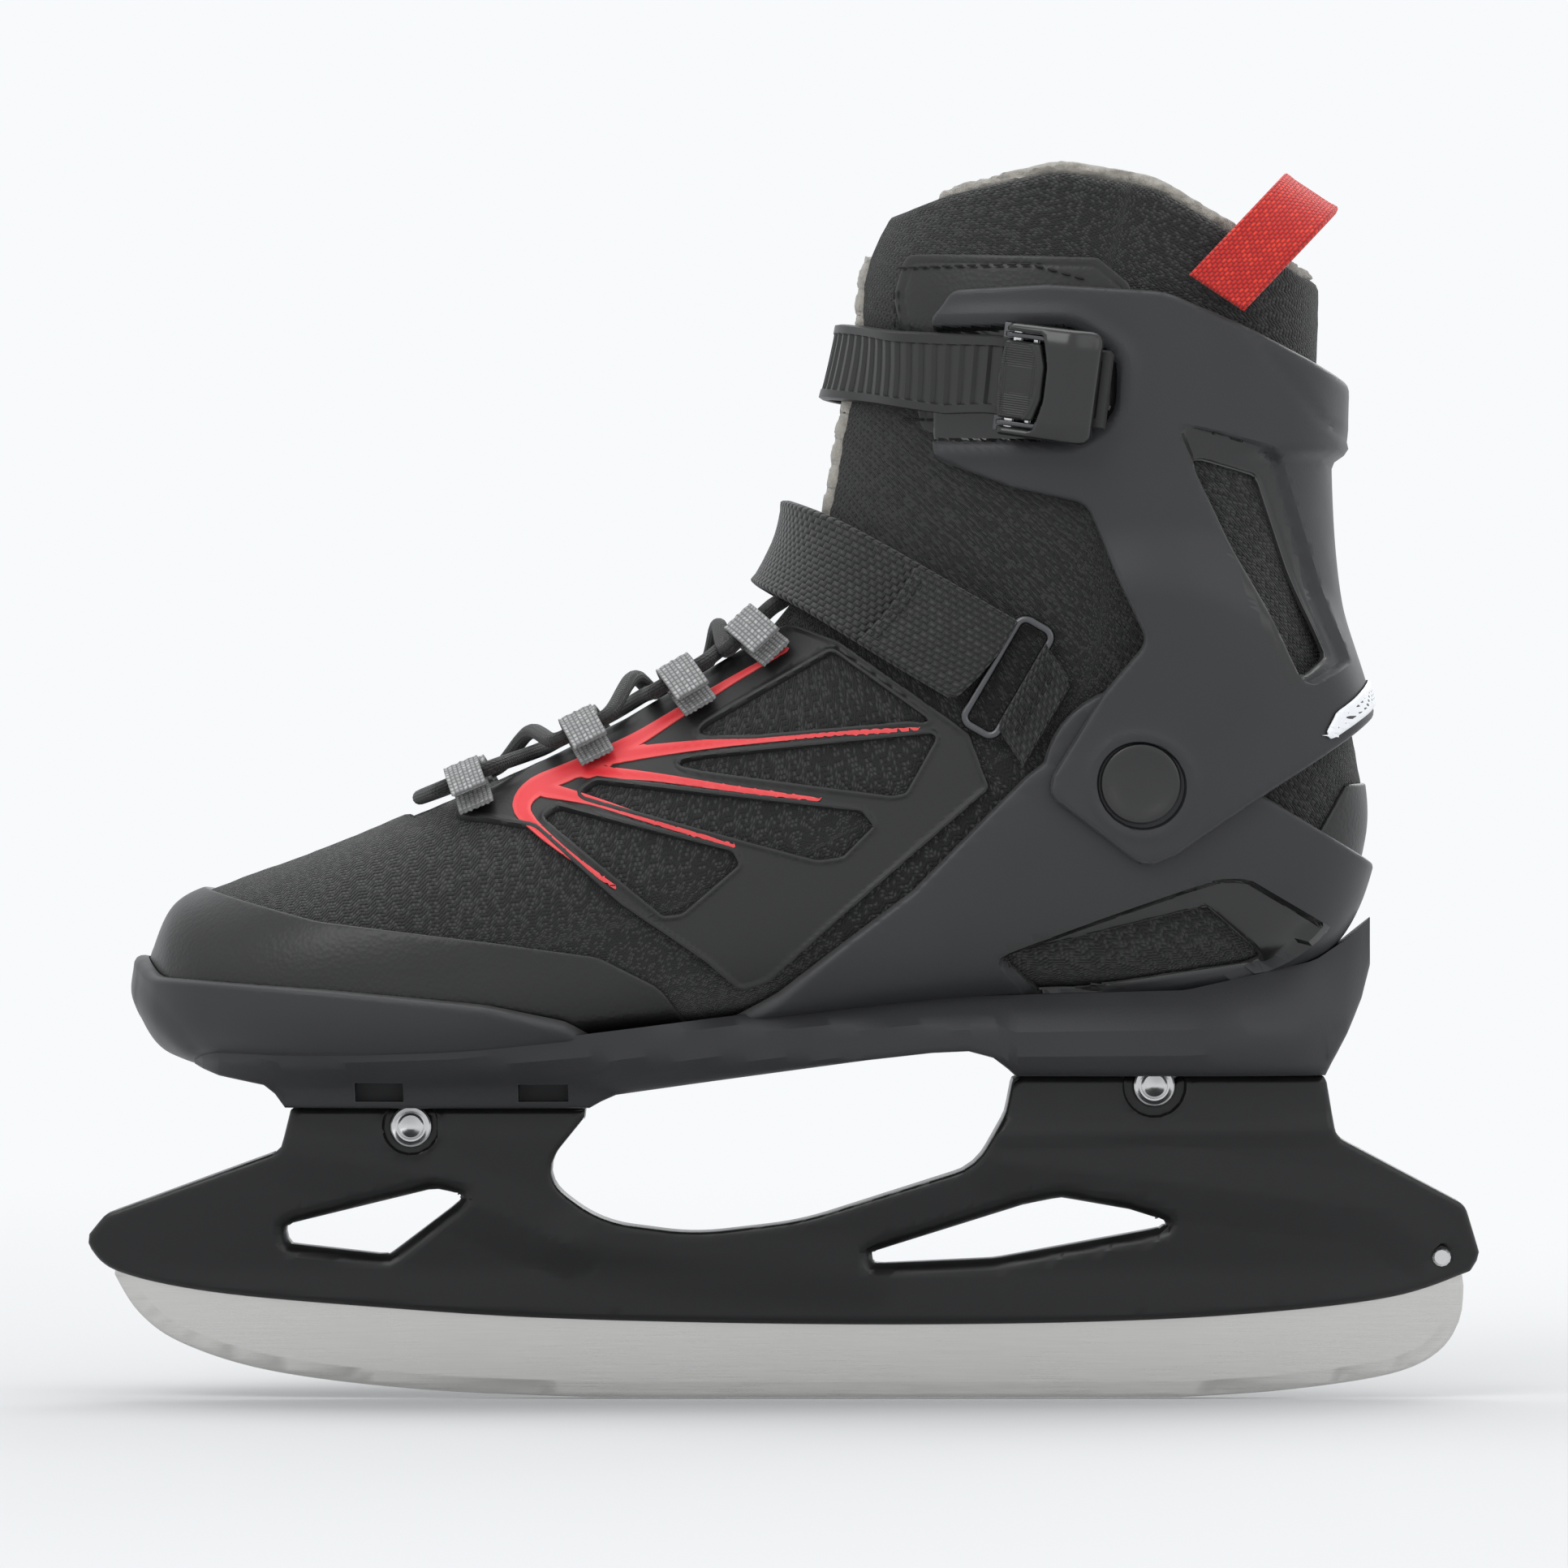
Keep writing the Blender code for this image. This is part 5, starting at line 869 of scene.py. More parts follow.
def fleece_collar():
    """Brushed lining that stands above the knit round the opening, its pile raised in clumps."""
    high = [(c[0], c[1] + 3.2) + tuple(c[2:]) for c in COLLAR[1:-1]]
    region = rounded([(19.0, 226.0), (13.4, 281.0, 3)] + high + [(150.0, 274.0), (150.0, 232.0)])
    tongue_room = band_of(DORSAL[4:], 31.0)
    seed = np.random.default_rng(7)
    waves = [(seed.normal(0, 1, 3) * k, seed.uniform(0, 6.28), a) for k, a in
             [(500, 0.00022)] * 5 + [(1100, 0.00016)] * 6 + [(2200, 0.00010)] * 6]

    def test(p):
        flat = p[:, [0, 2]]
        room = np.maximum(signed(flat, tongue_room), np.abs(p[:, 1]) - TONGUE_HALF - GAP)
        return np.maximum(signed(flat, region), -room)

    def fuzz(p):
        return sum(a * np.sin(p @ k + phase) for k, phase, a in waves)

    def out(p, value, uv):
        above = ease((0.0040 + value) / 0.0015)
        proud = 0.0028 * above * ease((p[:, 2] - 0.262) / 0.01)
        return -BOOT_WALL - GAP + proud + fuzz(p) * (0.3 + 0.7 * above) - 0.0012 * (1 - bow(-value / 0.0016))

    def inner(p, value, uv):
        return -BOOT_WALL - GAP - FLEECE_THICKNESS - fuzz(p) + 0.0012 * (1 - bow(-value / 0.0016))

    piece = trimmed("fleece_collar_pad", steps(0.62, 1.0, 0.0022), round_steps(0.0135), boot_field(test),
                    offset(out), offset(inner), levels=(0.0, -0.0003, -0.0016), wrap=True, angle=75.0)
    dress(piece, "fleece", "cuff", "fleece_collar", slot="fleece")
    return piece


def insole_pad():
    region = rounded([(-146.0, 60.0), (-146.0, 96.5), (-80.0, 96.0, 30), (-46.0, 99.0, 40), (-8.0, 104.0, 40),
                      (98.0, 112.5, 30), (134.0, 118.0), (150.0, 60.0)])
    base = -BOOT_WALL - GAP

    def test(p):
        return from_side(p, region)

    piece = trimmed("insole_pad", steps(0.0, 0.72, 0.006), round_steps(0.05), boot_field(test),
                    offset(base), offset(base - 0.003), wrap=True, angle=60.0)
    dress(piece, "foam", "chassis", "insole", slot="insole_foam")
    return piece


# ---------------------------------------------------------------- bonded pieces

OUTER = steps(2.0, 4.0, 0.011)
INNER = steps(0.0, 2.0, 0.011)
OVERLAY_FRAME = [(-82.0, 142.4, 2), (-72.4, 148.4, 8), (-38.0, 166.0, 20), (-8.0, 184.0, 12), (2.0, 190.0, 6),
                 (14.0, 185.6, 3), (45.0, 163.5, 2), (50.0, 150.0, 2), (-4.0, 103.5, 8), (-11.0, 101.4, 3),
                 (-19.4, 108.2, 6), (-39.6, 121.8, 8), (-60.4, 139.8, 6), (-72.0, 141.6, 6)]
OVERLAY_WINDOWS = [
    [(-23.6, 162.2, 2), (12.0, 183.0, 2), (36.0, 166.0, 2), (30.0, 166.4, 2), (-8.0, 162.6, 4)],
    [(-34.0, 155.6, 2), (37.6, 163.4, 1.5), (29.4, 149.0, 2), (26.0, 148.4, 1)],
    [(-50.0, 147.8, 1.5), (-45.4, 151.0, 1.5), (18.6, 144.4, 2), (21.4, 141.0, 1), (14.0, 133.6, 2),
     (8.0, 132.8, 1)],
    [(-58.2, 142.4, 1), (-54.6, 144.8, 1.5), (-12.8, 134.6, 2), (-11.2, 131.6, 1), (-25.2, 119.8, 3),
     (-29.4, 119.4, 1)]]


def bonded(name, outline, windows, us, vs, material, body, replaced, slot, base=GAP,
           thickness=OVERLAY_THICKNESS, rim=0.0, wrap=False, stitch=None):
    """A thin piece bonded to the boot, with an optional raised rim along its edges and windows."""
    frame_line = rounded(outline)
    holes = [rounded(w) for w in windows]

    def test(p):
        flat = p[:, [0, 2]]
        value = signed(flat, frame_line)
        for hole in holes:
            value = np.maximum(value, -signed(flat, hole))
        return value

    def out(p, value, uv):
        raised = rim * ease((0.0016 + value) / 0.0008) * ease(-value / 0.0002)
        sewn = 0.0 if stitch is None else -0.00022 * np.exp(-((-value - stitch) / 0.00045) ** 2)
        return base + thickness * (0.3 + 0.7 * bow(-value / 0.0006)) + raised + sewn

    levels = (0.0, -0.0002, -0.0006) + ((-0.0009, -0.0016) if rim else ())
    if stitch:
        levels += (-stitch + 0.0005, -stitch, -stitch - 0.0005)
    piece = trimmed(name, us, vs, boot_field(test), offset(out), offset(base * 0.4), levels=levels, wrap=wrap,
                    angle=50.0)
    dress(piece, material, body, *replaced, slot=slot)
    return piece


def toe_rand_leather():
    toe = [(-175.0, 128.0), (-144.4, 125.4), (-132.0, 122.2, 10), (-113.0, 117.6, 30), (-70.0, 112.8, 30),
           (-45.0, 109.4, 12), (-30.0, 102.0, 12), (-22.0, 91.0), (-24.0, 80.0), (-175.0, 80.0)]
    return bonded("toe_rand_leather", toe, [], steps(-NOSE, 0.45, 0.004), round_steps(0.03), "leather",
                  "chassis", ["toe_rand"], "smooth_leather", wrap=True)


def side_overlays():
    for label, vs in (("outer", OUTER), ("inner", INNER)):
        bonded("side_overlay_film_" + label, OVERLAY_FRAME, OVERLAY_WINDOWS, steps(0.14, 0.6, 0.0026), vs,
               "overlay", "chassis", ["side_overlay_" + label], "overlay_film", rim=0.0006)


def leather_patches():
    heel = [(126.0, 125.0), (130.0, 139.0, 2), (136.8, 151.0, 2), (170.0, 152.0), (170.0, 110.0),
            (130.0, 110.0)]
    bonded("heel_patch_leather", heel, [], steps(0.45, 0.85, 0.004), round_steps(0.03), "leather",
           "chassis", ["heel_patch"], "smooth_leather", wrap=True)
    ankle = [(34.0, 236.0, 4), (27.0, 270.0, 3), (30.0, 280.0, 3), (76.0, 278.6, 3), (84.0, 272.0, 4),
             (84.0, 244.0, 6)]
    for label, vs in (("outer", OUTER), ("inner", INNER)):
        bonded("ankle_patch_leather_" + label, ankle, [], steps(0.6, 1.0, 0.003), vs, "leather", "cuff",
               ["ankle_patch_" + label], "smooth_leather", thickness=OVERLAY_THICKNESS / 3, stitch=0.0021)


# each branch: points in side view with the half width there, all in millimetres
BRANCHES = [
    [(1.4, 183.4, 0.45), (-12.0, 175.6, 0.8), (-25.0, 167.6, 1.2), (-36.3, 160.6, 1.6), (-50.0, 154.0, 2.0),
     (-60.0, 149.4, 2.3), (-63.4, 145.0, 2.2), (-60.6, 140.6, 1.3), (-52.0, 133.6, 0.8),
     (-40.9, 126.0, 0.45)],
    [(32.6, 164.4, 0.45), (10.0, 163.0, 0.7), (-14.0, 160.6, 1.0), (-30.0, 158.6, 1.4), (-44.0, 156.4, 1.8)],
    [(8.6, 147.2, 0.45), (-12.0, 149.6, 0.7), (-32.0, 152.2, 1.0), (-48.0, 153.2, 1.6)],
    [(-12.2, 136.0, 0.45), (-30.0, 141.2, 0.7), (-46.0, 146.2, 1.0), (-58.0, 148.8, 1.8)]]


def branch_field(p):
    """Distance to the printed branches, negative inside them."""
    nearest = np.full(len(p), 1.0)
    for branch in BRANCHES:
        line = np.array(smooth_run([(x, z) for x, z, _ in branch], 4)) * MM
        run = np.cumsum([0.0] + [math.hypot(*(b - a)) for a, b in zip(line, line[1:])])
        corner = [int(np.argmin(np.hypot(*(line - np.array([x, z]) * MM).T))) for x, z, _ in branch]
        half = np.interp(run, run[corner], [w * MM for _, _, w in branch])
        for a, b, wa, wb in zip(line, line[1:], half, half[1:]):
            share = np.clip(((p - a) @ (b - a)) / ((b - a) @ (b - a)), 0, 1)
            gap = np.hypot(*(p - a - share[:, None] * (b - a)).T) - (wa + (wb - wa) * share)
            nearest = np.minimum(nearest, gap)
    return nearest


def printed_branches():
    """The red branches printed on the side film."""
    base = GAP + OVERLAY_THICKNESS
    piece = trimmed("printed_branches", steps(0.16, 0.56, 0.0028), OUTER,
                    boot_field(lambda p: branch_field(p[:, [0, 2]])),
                    offset(lambda p, value, uv: base + 0.0003 + 0.0001 * bow(-value / 0.0004)),
                    offset(base - 0.0003), levels=(0.0, -0.0004), angle=60.0)
    return dress(piece, "branch", "chassis", slot="overlay_film")


def throat_edge(z, sign):
    """The point of the boot's throat edge at a height, with its normal."""
    near, far = 0.02, 0.9
    level = np.array([0.0, 0.0, z])
    for _ in range(22):
        half = (near + far) / 2
        s = crossing(math.pi - sign * half, level, np.array([0.0, 0.0, 1.0]))
        if abs(boot([s], math.pi - sign * half)[0, 1]) < THROAT_HALF + 0.0004:
            near = half
        else:
            far = half
    turn = math.pi - sign * near
    return boot([s], turn)[0], boot_normals([s], turn)[0]


def fleece_edging():
    """A roll of the brushed lining that shows along both edges of the throat."""
    for label, sign in (("outer", -1.0), ("inner", 1.0)):
        path = []
        for z in np.linspace(0.2155, 0.2805, 40):
            place, normal = throat_edge(z, sign)
            path.append(place - normal * 0.0014)
        wave = np.sin(np.arange(40) * 1.7)[:, None] * np.array([0.00035, 0.0002, 0.0])
        roll = bar("fleece_edge_" + label, even_path(np.array(path) + wave, 120)[0], 0.0023, 18)
        low = np.empty(len(roll.data.vertices) * 3)
        roll.data.vertices.foreach_get("co", low)
        low = low.reshape(-1, 3)
        rough = np.random.default_rng(5).normal(0.0, 0.00012, low.shape)
        roll.data.vertices.foreach_set("co", (low + rough).ravel())
        dress(roll, "fleece", None, slot="fleece")
        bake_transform(roll)


# ---------------------------------------------------------------- chassis, bumper and cuff


def arc(centre, radius, start, end, count=20):
    return [(centre[0] + radius * math.cos(math.radians(start + (end - start) * i / count)),
             centre[1] + radius * math.sin(math.radians(start + (end - start) * i / count)))
            for i in range(count + 1)]


CHASSIS_ARM = [(56.6, 79.75), (132.6, 79.75), (134.8, 84.5, 4), (145.0, 102.0, 14), (150.0, 122.0, 8),
               (150.0, 131.8, 2), (141.5, 132.4, 3),
               (116.0, 148.4, 4)] + arc((86.4, 151.3), 24.0, 0.0, 168.0) + [(59.0, 153.4, 3),
                                                                            (44.0, 138.4, 12),
                                                                            (31.0, 125.4, 12),
                                                                            (-2.0, 101.4, 30),
                                                                            (-19.0, 92.6, 12),
                                                                            (-44.0, 85.2, 2),
                                                                            (-47.5, 82.9, 1),
                                                                            (-144.0, 82.9, 1),
                                                                            (-144.0, 74.0), (56.6, 74.0)]
CHASSIS_WINDOW = [(53.0, 110.0, 1.5), (63.4, 101.4, 2), (117.4, 109.4, 2), (102.6, 122.0, 2)]
CHASSIS_RECESS = [(50.4, 110.8, 2), (62.6, 99.2, 3), (136.8, 110.6, 3), (137.8, 114.0, 2), (111.8, 129.2, 4),
                  (104.8, 129.0, 3)]


def chassis_shell():
    """The side walls and heel counter, with the recessed window in each side."""
    line, window, recess = rounded(CHASSIS_ARM), rounded(CHASSIS_WINDOW), rounded(CHASSIS_RECESS)

    def side_only(p):
        return np.abs(p[:, 1]) > 0.02

    def opening(p):
        value = from_side(p, window)
        return np.where(side_only(p), value, 0.05)

    def test(p):
        return np.maximum(from_side(p, line), -opening(p))

    def out(p, value, uv):
        dip = from_side(p, recess)
        hollow = 0.0017 * ease(-dip / 0.0014) * side_only(p)
        return SHELL_START + CHASSIS_WALL * (0.35 + 0.65 * bow(-value / 0.0013)) - hollow

    def recess_field(uv):
        return signed(boot(uv[:, 0], turn_of(uv[:, 1]))[:, [0, 2]], recess)

    piece = trimmed("chassis_walls", steps(0.0, 0.86, 0.0046), round_steps(0.026), boot_field(test),
                    offset(out), offset(SHELL_START), cuts=[(recess_field, (0.0, -0.0007, -0.0014))],
                    levels=(0.0, -0.0002, -0.0006, -0.0013), wrap=True, angle=32.0)
    dress(piece, "shell", "chassis", "chassis_shell", slot="shell_plastic")
    face_finish(piece, "facet", lambda p: (from_side(p, recess) < -0.0003) & side_only(p))
    return piece


SOLE_STATIONS = [(-144.5, 20.0), (-138.0, 31.0), (-120.0, 41.0), (-95.0, 47.0), (-70.0, 48.0),
                 (-45.0, 44.0), (-10.0, 36.0), (40.0, 33.0), (90.0, 34.0), (110.0, 33.0), (125.0, 28.5),
                 (134.0, 21.5), (140.0, 14.0), (144.5, 3.0)]
SOLE_BOTTOM = [(-146.0, 83.5), (-142.0, 81.5), (-138.0, 79.9), (-127.0, 77.6), (-124.4, 75.4),
               (-122.0, 71.95), (-47.5, 71.95), (-44.6, 73.6), (-41.0, 75.2), (-20.0, 78.2), (0.0, 81.0),
               (20.0, 83.8), (36.0, 85.6), (45.0, 86.0), (51.0, 84.4), (54.6, 81.6), (56.6, 79.75),
               (132.6, 79.75), (134.0, 82.8), (138.0, 90.0), (142.0, 98.5), (144.5, 107.0)]


def chassis_sole():
    """The load-carrying sole between the boot and the holder, lofted along the foot."""
    xs = np.unique(np.concatenate([np.linspace(-144.2, 144.3, 130), [p[0] for p in SOLE_BOTTOM[1:-1]]]))
    half = np.interp(xs, *np.array(smooth_run(SOLE_STATIONS, 8)).T)
    floor = np.interp(xs, *np.array(SOLE_BOTTOM).T)
    boot_under = np.interp(xs, [-154, -149, -138, -115, -80, -46, -8, 42, 98, 130, 138, 145],
                           [95, 89, 87, 86.5, 88, 92, 96.5, 100.5, 102, 109, 114, 120]) - 1.2
    heights, widths = [68.0, 76.0, 84.0, 92.0, 100.0, 112.0], [0.50, 0.62, 0.96, 1.0, 0.8, 0.5]
    rings = []
    for x, wide, low, high in zip(xs, half, floor, boot_under):
        high = max(high, low + 2.5)
        levels = np.array([0.0, 0.012, 0.05, 0.12, 0.25, 0.4, 0.55, 0.7, 0.85, 1.0])
        zs = low + (high - low) * levels
        ws = np.interp(zs, heights, widths) * wide
        ws[0] -= 1.4
        ws[1] -= 0.6
        ws[2] -= 0.15
        side_points = [(w, z) for w, z in zip(ws, zs)]
        ring = side_points + [(-w, z) for w, z in side_points[::-1]]
        rings.append([(x, y, z) for y, z in ring])
    count = len(rings[0])
    points = np.array(rings).reshape(-1, 3) * MM
    faces = []
    for i in range(len(rings) - 1):
        for j in range(count):
            k = (j + 1) % count
            faces.append((i * count + j, (i + 1) * count + j, (i + 1) * count + k, i * count + k))
    faces.append(list(range(count)))
    faces.append([(len(rings) - 1) * count + j for j in range(count)][::-1])
    piece = new_piece("chassis_sole", points, faces, 30.0)
    keep_values(piece, "rim", np.full(len(points), NO_RIM))
    for low_x, high_x, top in ((-104.6, -92.8, 78.4), (-64.8, -52.6, 78.0)):
        for y in (-29.0, 29.0):
            carve(piece, box("pocket", (low_x, y - 9.0, 73.6), (high_x, y + 9.0, top)))
    dress(piece, "shell", "chassis", slot="shell_plastic")
    return piece


BUMPER_REGION = [(-175.0, 113.0), (-158.0, 111.5, 1), (-151.0, 104.0, 5), (-110.0, 101.4, 30),
                 (-72.0, 98.2, 30), (-53.0, 94.8, 10), (-41.5, 88.6, 1.5), (-47.0, 83.3, 2), (-175.0, 83.3)]


def toe_bumper():
    line = rounded(BUMPER_REGION)
    crease = [(-168.0, 104.5), (-158.4, 102.8), (-152.0, 97.4), (-145.6, 91.4), (-140.0, 84.0)]

    def test(p):
        return from_side(p, line)

    def out(p, value, uv):
        step = 0.0006 * ease(1 - along_line(p[:, [0, 2]], crease) / 0.0035)
        return SHELL_START + BUMPER_WALL * (0.35 + 0.65 * bow(-value / 0.0016)) + step

    piece = trimmed("toe_bumper_cap", steps(-NOSE, 0.36, 0.0042), round_steps(0.026), boot_field(test),
                    offset(out), offset(SHELL_START), levels=(0.0, -0.0002, -0.0007, -0.0016), wrap=True,
                    angle=34.0)
    dress(piece, "shell", "chassis", "toe_bumper", slot="shell_plastic")
    return piece


CUFF_REGION = [(37.0, 236.0, 3), (37.6, 264.0, 4), (42.0, 270.8, 4), (64.0, 272.0, 20), (92.0, 270.4, 20),
               (110.0, 262.6, 16), (134.0, 248.6, 4), (170.0, 246.0), (170.0, 172.0), (144.0, 170.6, 3),
               (138.0, 165.6, 4), (95.0, 134.8, 4), (87.0, 131.4, 6), (64.0, 148.4, 4), (65.0, 153.4, 2),
               (77.4, 173.2, 15), (88.2, 186.4, 5), (73.4, 219.4, 6), (56.0, 223.4, 8), (38.2, 230.0, 5)]
CUFF_WINDOW = [(97.6, 230.6, 2), (113.8, 226.0, 3), (128.6, 181.6, 2), (122.0, 176.4, 2)]
CUFF_RECESS = [(93.6, 239.4, 3), (105.0, 236.6, 3), (114.8, 233.4, 3), (118.6, 229.0, 3), (133.0, 179.6, 2),
               (122.4, 173.6, 3)]
BUCKLE_RECESS = [(20.0, 234.0), (20.0, 262.6), (70.0, 262.6, 10), (81.4, 255.0, 9), (81.0, 240.0, 9),
                 (70.0, 233.6, 8)]


def cuff_inner(p):
    radius = np.hypot(p[:, 0] - PIVOT[0], p[:, 2] - PIVOT[1])
    return CUFF_FAR + (CUFF_NEAR - CUFF_FAR) * ease((0.064 - radius) / 0.018)


def spoiler(p):
    back = ease((p[:, 0] - 0.100) / 0.025)
    return 0.0042 * ease((p[:, 2] - 0.229) / 0.004) * back


def cuff_shell():
    line, window, recess = rounded(CUFF_REGION), rounded(CUFF_WINDOW), rounded(CUFF_RECESS)
    buckle_bed = rounded(BUCKLE_RECESS)

    def opening(p):
        value = np.minimum(from_side(p, window), np.hypot(p[:, 0] - PIVOT[0], p[:, 2] - PIVOT[1]) - 0.0052)
        return np.where(np.abs(p[:, 1]) > 0.012, value, 0.05)

    def test(p):
        front = np.maximum(p[:, 0] - 0.034, np.abs(p[:, 1]) - 0.030)
        return np.maximum(np.maximum(from_side(p, line), -opening(p)), -front)

    def out(p, value, uv):
        flat = p[:, [0, 2]]
        wide = np.abs(p[:, 1]) > 0.012
        dip = signed(flat, recess)
        slope = ease((0.0125 - signed(flat, window)) / 0.0125)
        hollow = 0.0023 * ease(-dip / 0.0012) * wide * (0.15 + 0.85 * slope)
        bed = signed(flat, buckle_bed)
        sunk = 0.0012 * ease(-bed / 0.0016) - 0.0008 * np.exp(-((bed - 0.0022) / 0.0018) ** 2)
        hollow = hollow + sunk * ((p[:, 1] < 0) & (p[:, 0] > 0.036))
        centre = np.hypot(p[:, 0] - PIVOT[0], p[:, 2] - PIVOT[1])
        seat = 0.0014 * ease((0.0107 - centre) / 0.0005) - 0.0005 * np.exp(-((centre - 0.0122) / 0.0012) ** 2)
        groove = 0.0005 * np.exp(-(along_line(flat, [(110.0, 262.0), (124.0, 240.0),
                                                     (136.0, 231.6)]) / 0.0008) ** 2)
        wall = CUFF_WALL * (0.35 + 0.65 * bow(-value / 0.0013))
        return cuff_inner(p) + wall + spoiler(p) * (0.4 + 0.6 * bow(-value / 0.003)) - hollow - seat - groove

    def field(outline):
        return lambda uv: signed(boot(uv[:, 0], turn_of(uv[:, 1]))[:, [0, 2]], outline)

    def seat_field(uv):
        p = boot(uv[:, 0], turn_of(uv[:, 1]))
        return np.hypot(p[:, 0] - PIVOT[0], p[:, 2] - PIVOT[1]) - 0.0107

    piece = trimmed("cuff_moulding", steps(0.5, 1.0, 0.0031), round_steps(0.02), boot_field(test),
                    offset(out), offset(lambda p, value, uv: cuff_inner(p)),
                    cuts=[(field(recess), (0.0, -0.0006, -0.0012)),
                          (field(buckle_bed), (0.0026, 0.0, -0.0008, -0.0016)),
                          (seat_field, (0.0028, 0.0015, 0.0, -0.00025, -0.0005))],
                    levels=(0.0, -0.0002, -0.0006, -0.0013), wrap=True, angle=32.0)
    dress(piece, "shell", "cuff", "cuff_shell", slot="shell_plastic")
    face_finish(piece, "facet", lambda p: ((from_side(p, recess) < -0.0003) & (np.abs(p[:, 1]) > 0.012))
                | (from_side(p, buckle_bed) < -0.0006) & (p[:, 1] < 0))
    return piece


def reflective_strip():
    line = rounded([(126.2, 162.4, 1), (128.4, 168.0, 1), (135.4, 173.6), (144.0, 180.6), (170.0, 182.0),
                    (170.0, 171.0), (141.0, 171.0), (128.0, 161.8, 1)])
    base = lambda p: cuff_inner(p) + CUFF_WALL + 0.0004
    piece = trimmed("reflective_dots", steps(0.5, 0.95, 0.003), round_steps(0.02),
                    boot_field(lambda p: from_side(p, line)),
                    offset(lambda p, value, uv: base(p) + 0.0002 + 0.0004 * bow(-value / 0.0005)),
                    offset(lambda p, value, uv: base(p) + 0.00005), levels=(0.0, -0.0005), wrap=True,
                    angle=40.0)
    dress(piece, "strip", "cuff", "reflective_strip", slot="reflective_film")
    return piece


# ---------------------------------------------------------------- holder and runner


def box(name, low, high):
    """A helper block between two corners in millimetres."""
    bpy.ops.object.select_all(action="DESELECT")
    low, high = Vector(low) * MM, Vector(high) * MM
    bpy.ops.mesh.primitive_cube_add(size=1.0, location=(low + high) / 2, scale=high - low)
    made = bpy.context.object
    made.name = name
    return made


def carve(obj, cutter, operation="DIFFERENCE"):
    """Cuts, joins or crosses for good, and drops the helper."""
    bpy.context.view_layer.update()
    modifier = obj.modifiers.new("carve", "BOOLEAN")
    modifier.operation = operation
    modifier.solver = "EXACT"
    modifier.object = cutter
    bpy.ops.object.select_all(action="DESELECT")
    bpy.context.view_layer.objects.active = obj
    obj.select_set(True)
    bpy.ops.object.modifier_apply(modifier=modifier.name)
    bpy.data.objects.remove(cutter, do_unlink=True)


HOLDER_EDGE = [(-171.0, 37.0), (-164.0, 31.0), (-141.0, 26.0), (-100.0, 22.2), (-55.0, 19.4), (10.0, 18.0),
               (68.0, 18.4), (112.0, 20.4), (149.0, 24.6), (169.0, 31.0)]
HOLDER_TOP = [(171.4, 35.0, 3), (167.5, 47.6, 5), (135.5, 64.6, 5), (133.0, 79.4, 1), (56.2, 79.4, 1),
              (54.4, 70.0, 14), (47.0, 57.0, 14), (4.0, 43.4, 80), (-22.0, 40.4, 60), (-45.0, 43.4, 30),
              (-60.5, 55.0, 9), (-47.0, 71.6, 2), (-121.0, 71.6, 1), (-123.6, 61.0, 4), (-167.0, 45.2, 4),
              (-171.6, 39.5, 2)]
HOLDER_WINDOWS = [[(-122.6, 42.6, 2), (-122.0, 38.0, 2), (-97.2, 35.2, 2), (-77.6, 50.0, 2),
                   (-86.0, 51.6, 3)],
                  [(21.0, 35.6, 1.2), (22.6, 33.0, 1.2), (52.0, 34.4, 20), (97.0, 42.6, 1.5), (85.0, 46.4, 3),
                   (68.0, 49.4, 5), (59.0, 47.6, 4)]]
HOLDER_CREASES = [[(-120.0, 60.0), (-86.0, 54.6), (-78.4, 48.6), (-53.0, 38.2)],
                  [(52.4, 58.2), (97.0, 53.0), (146.8, 46.2), (156.8, 38.2)],
                  [(-53.0, 38.2), (-20.0, 33.0), (20.0, 31.0)]]
STEP_BANDS = [[(54.0, 65.6), (134.0, 66.6)]]


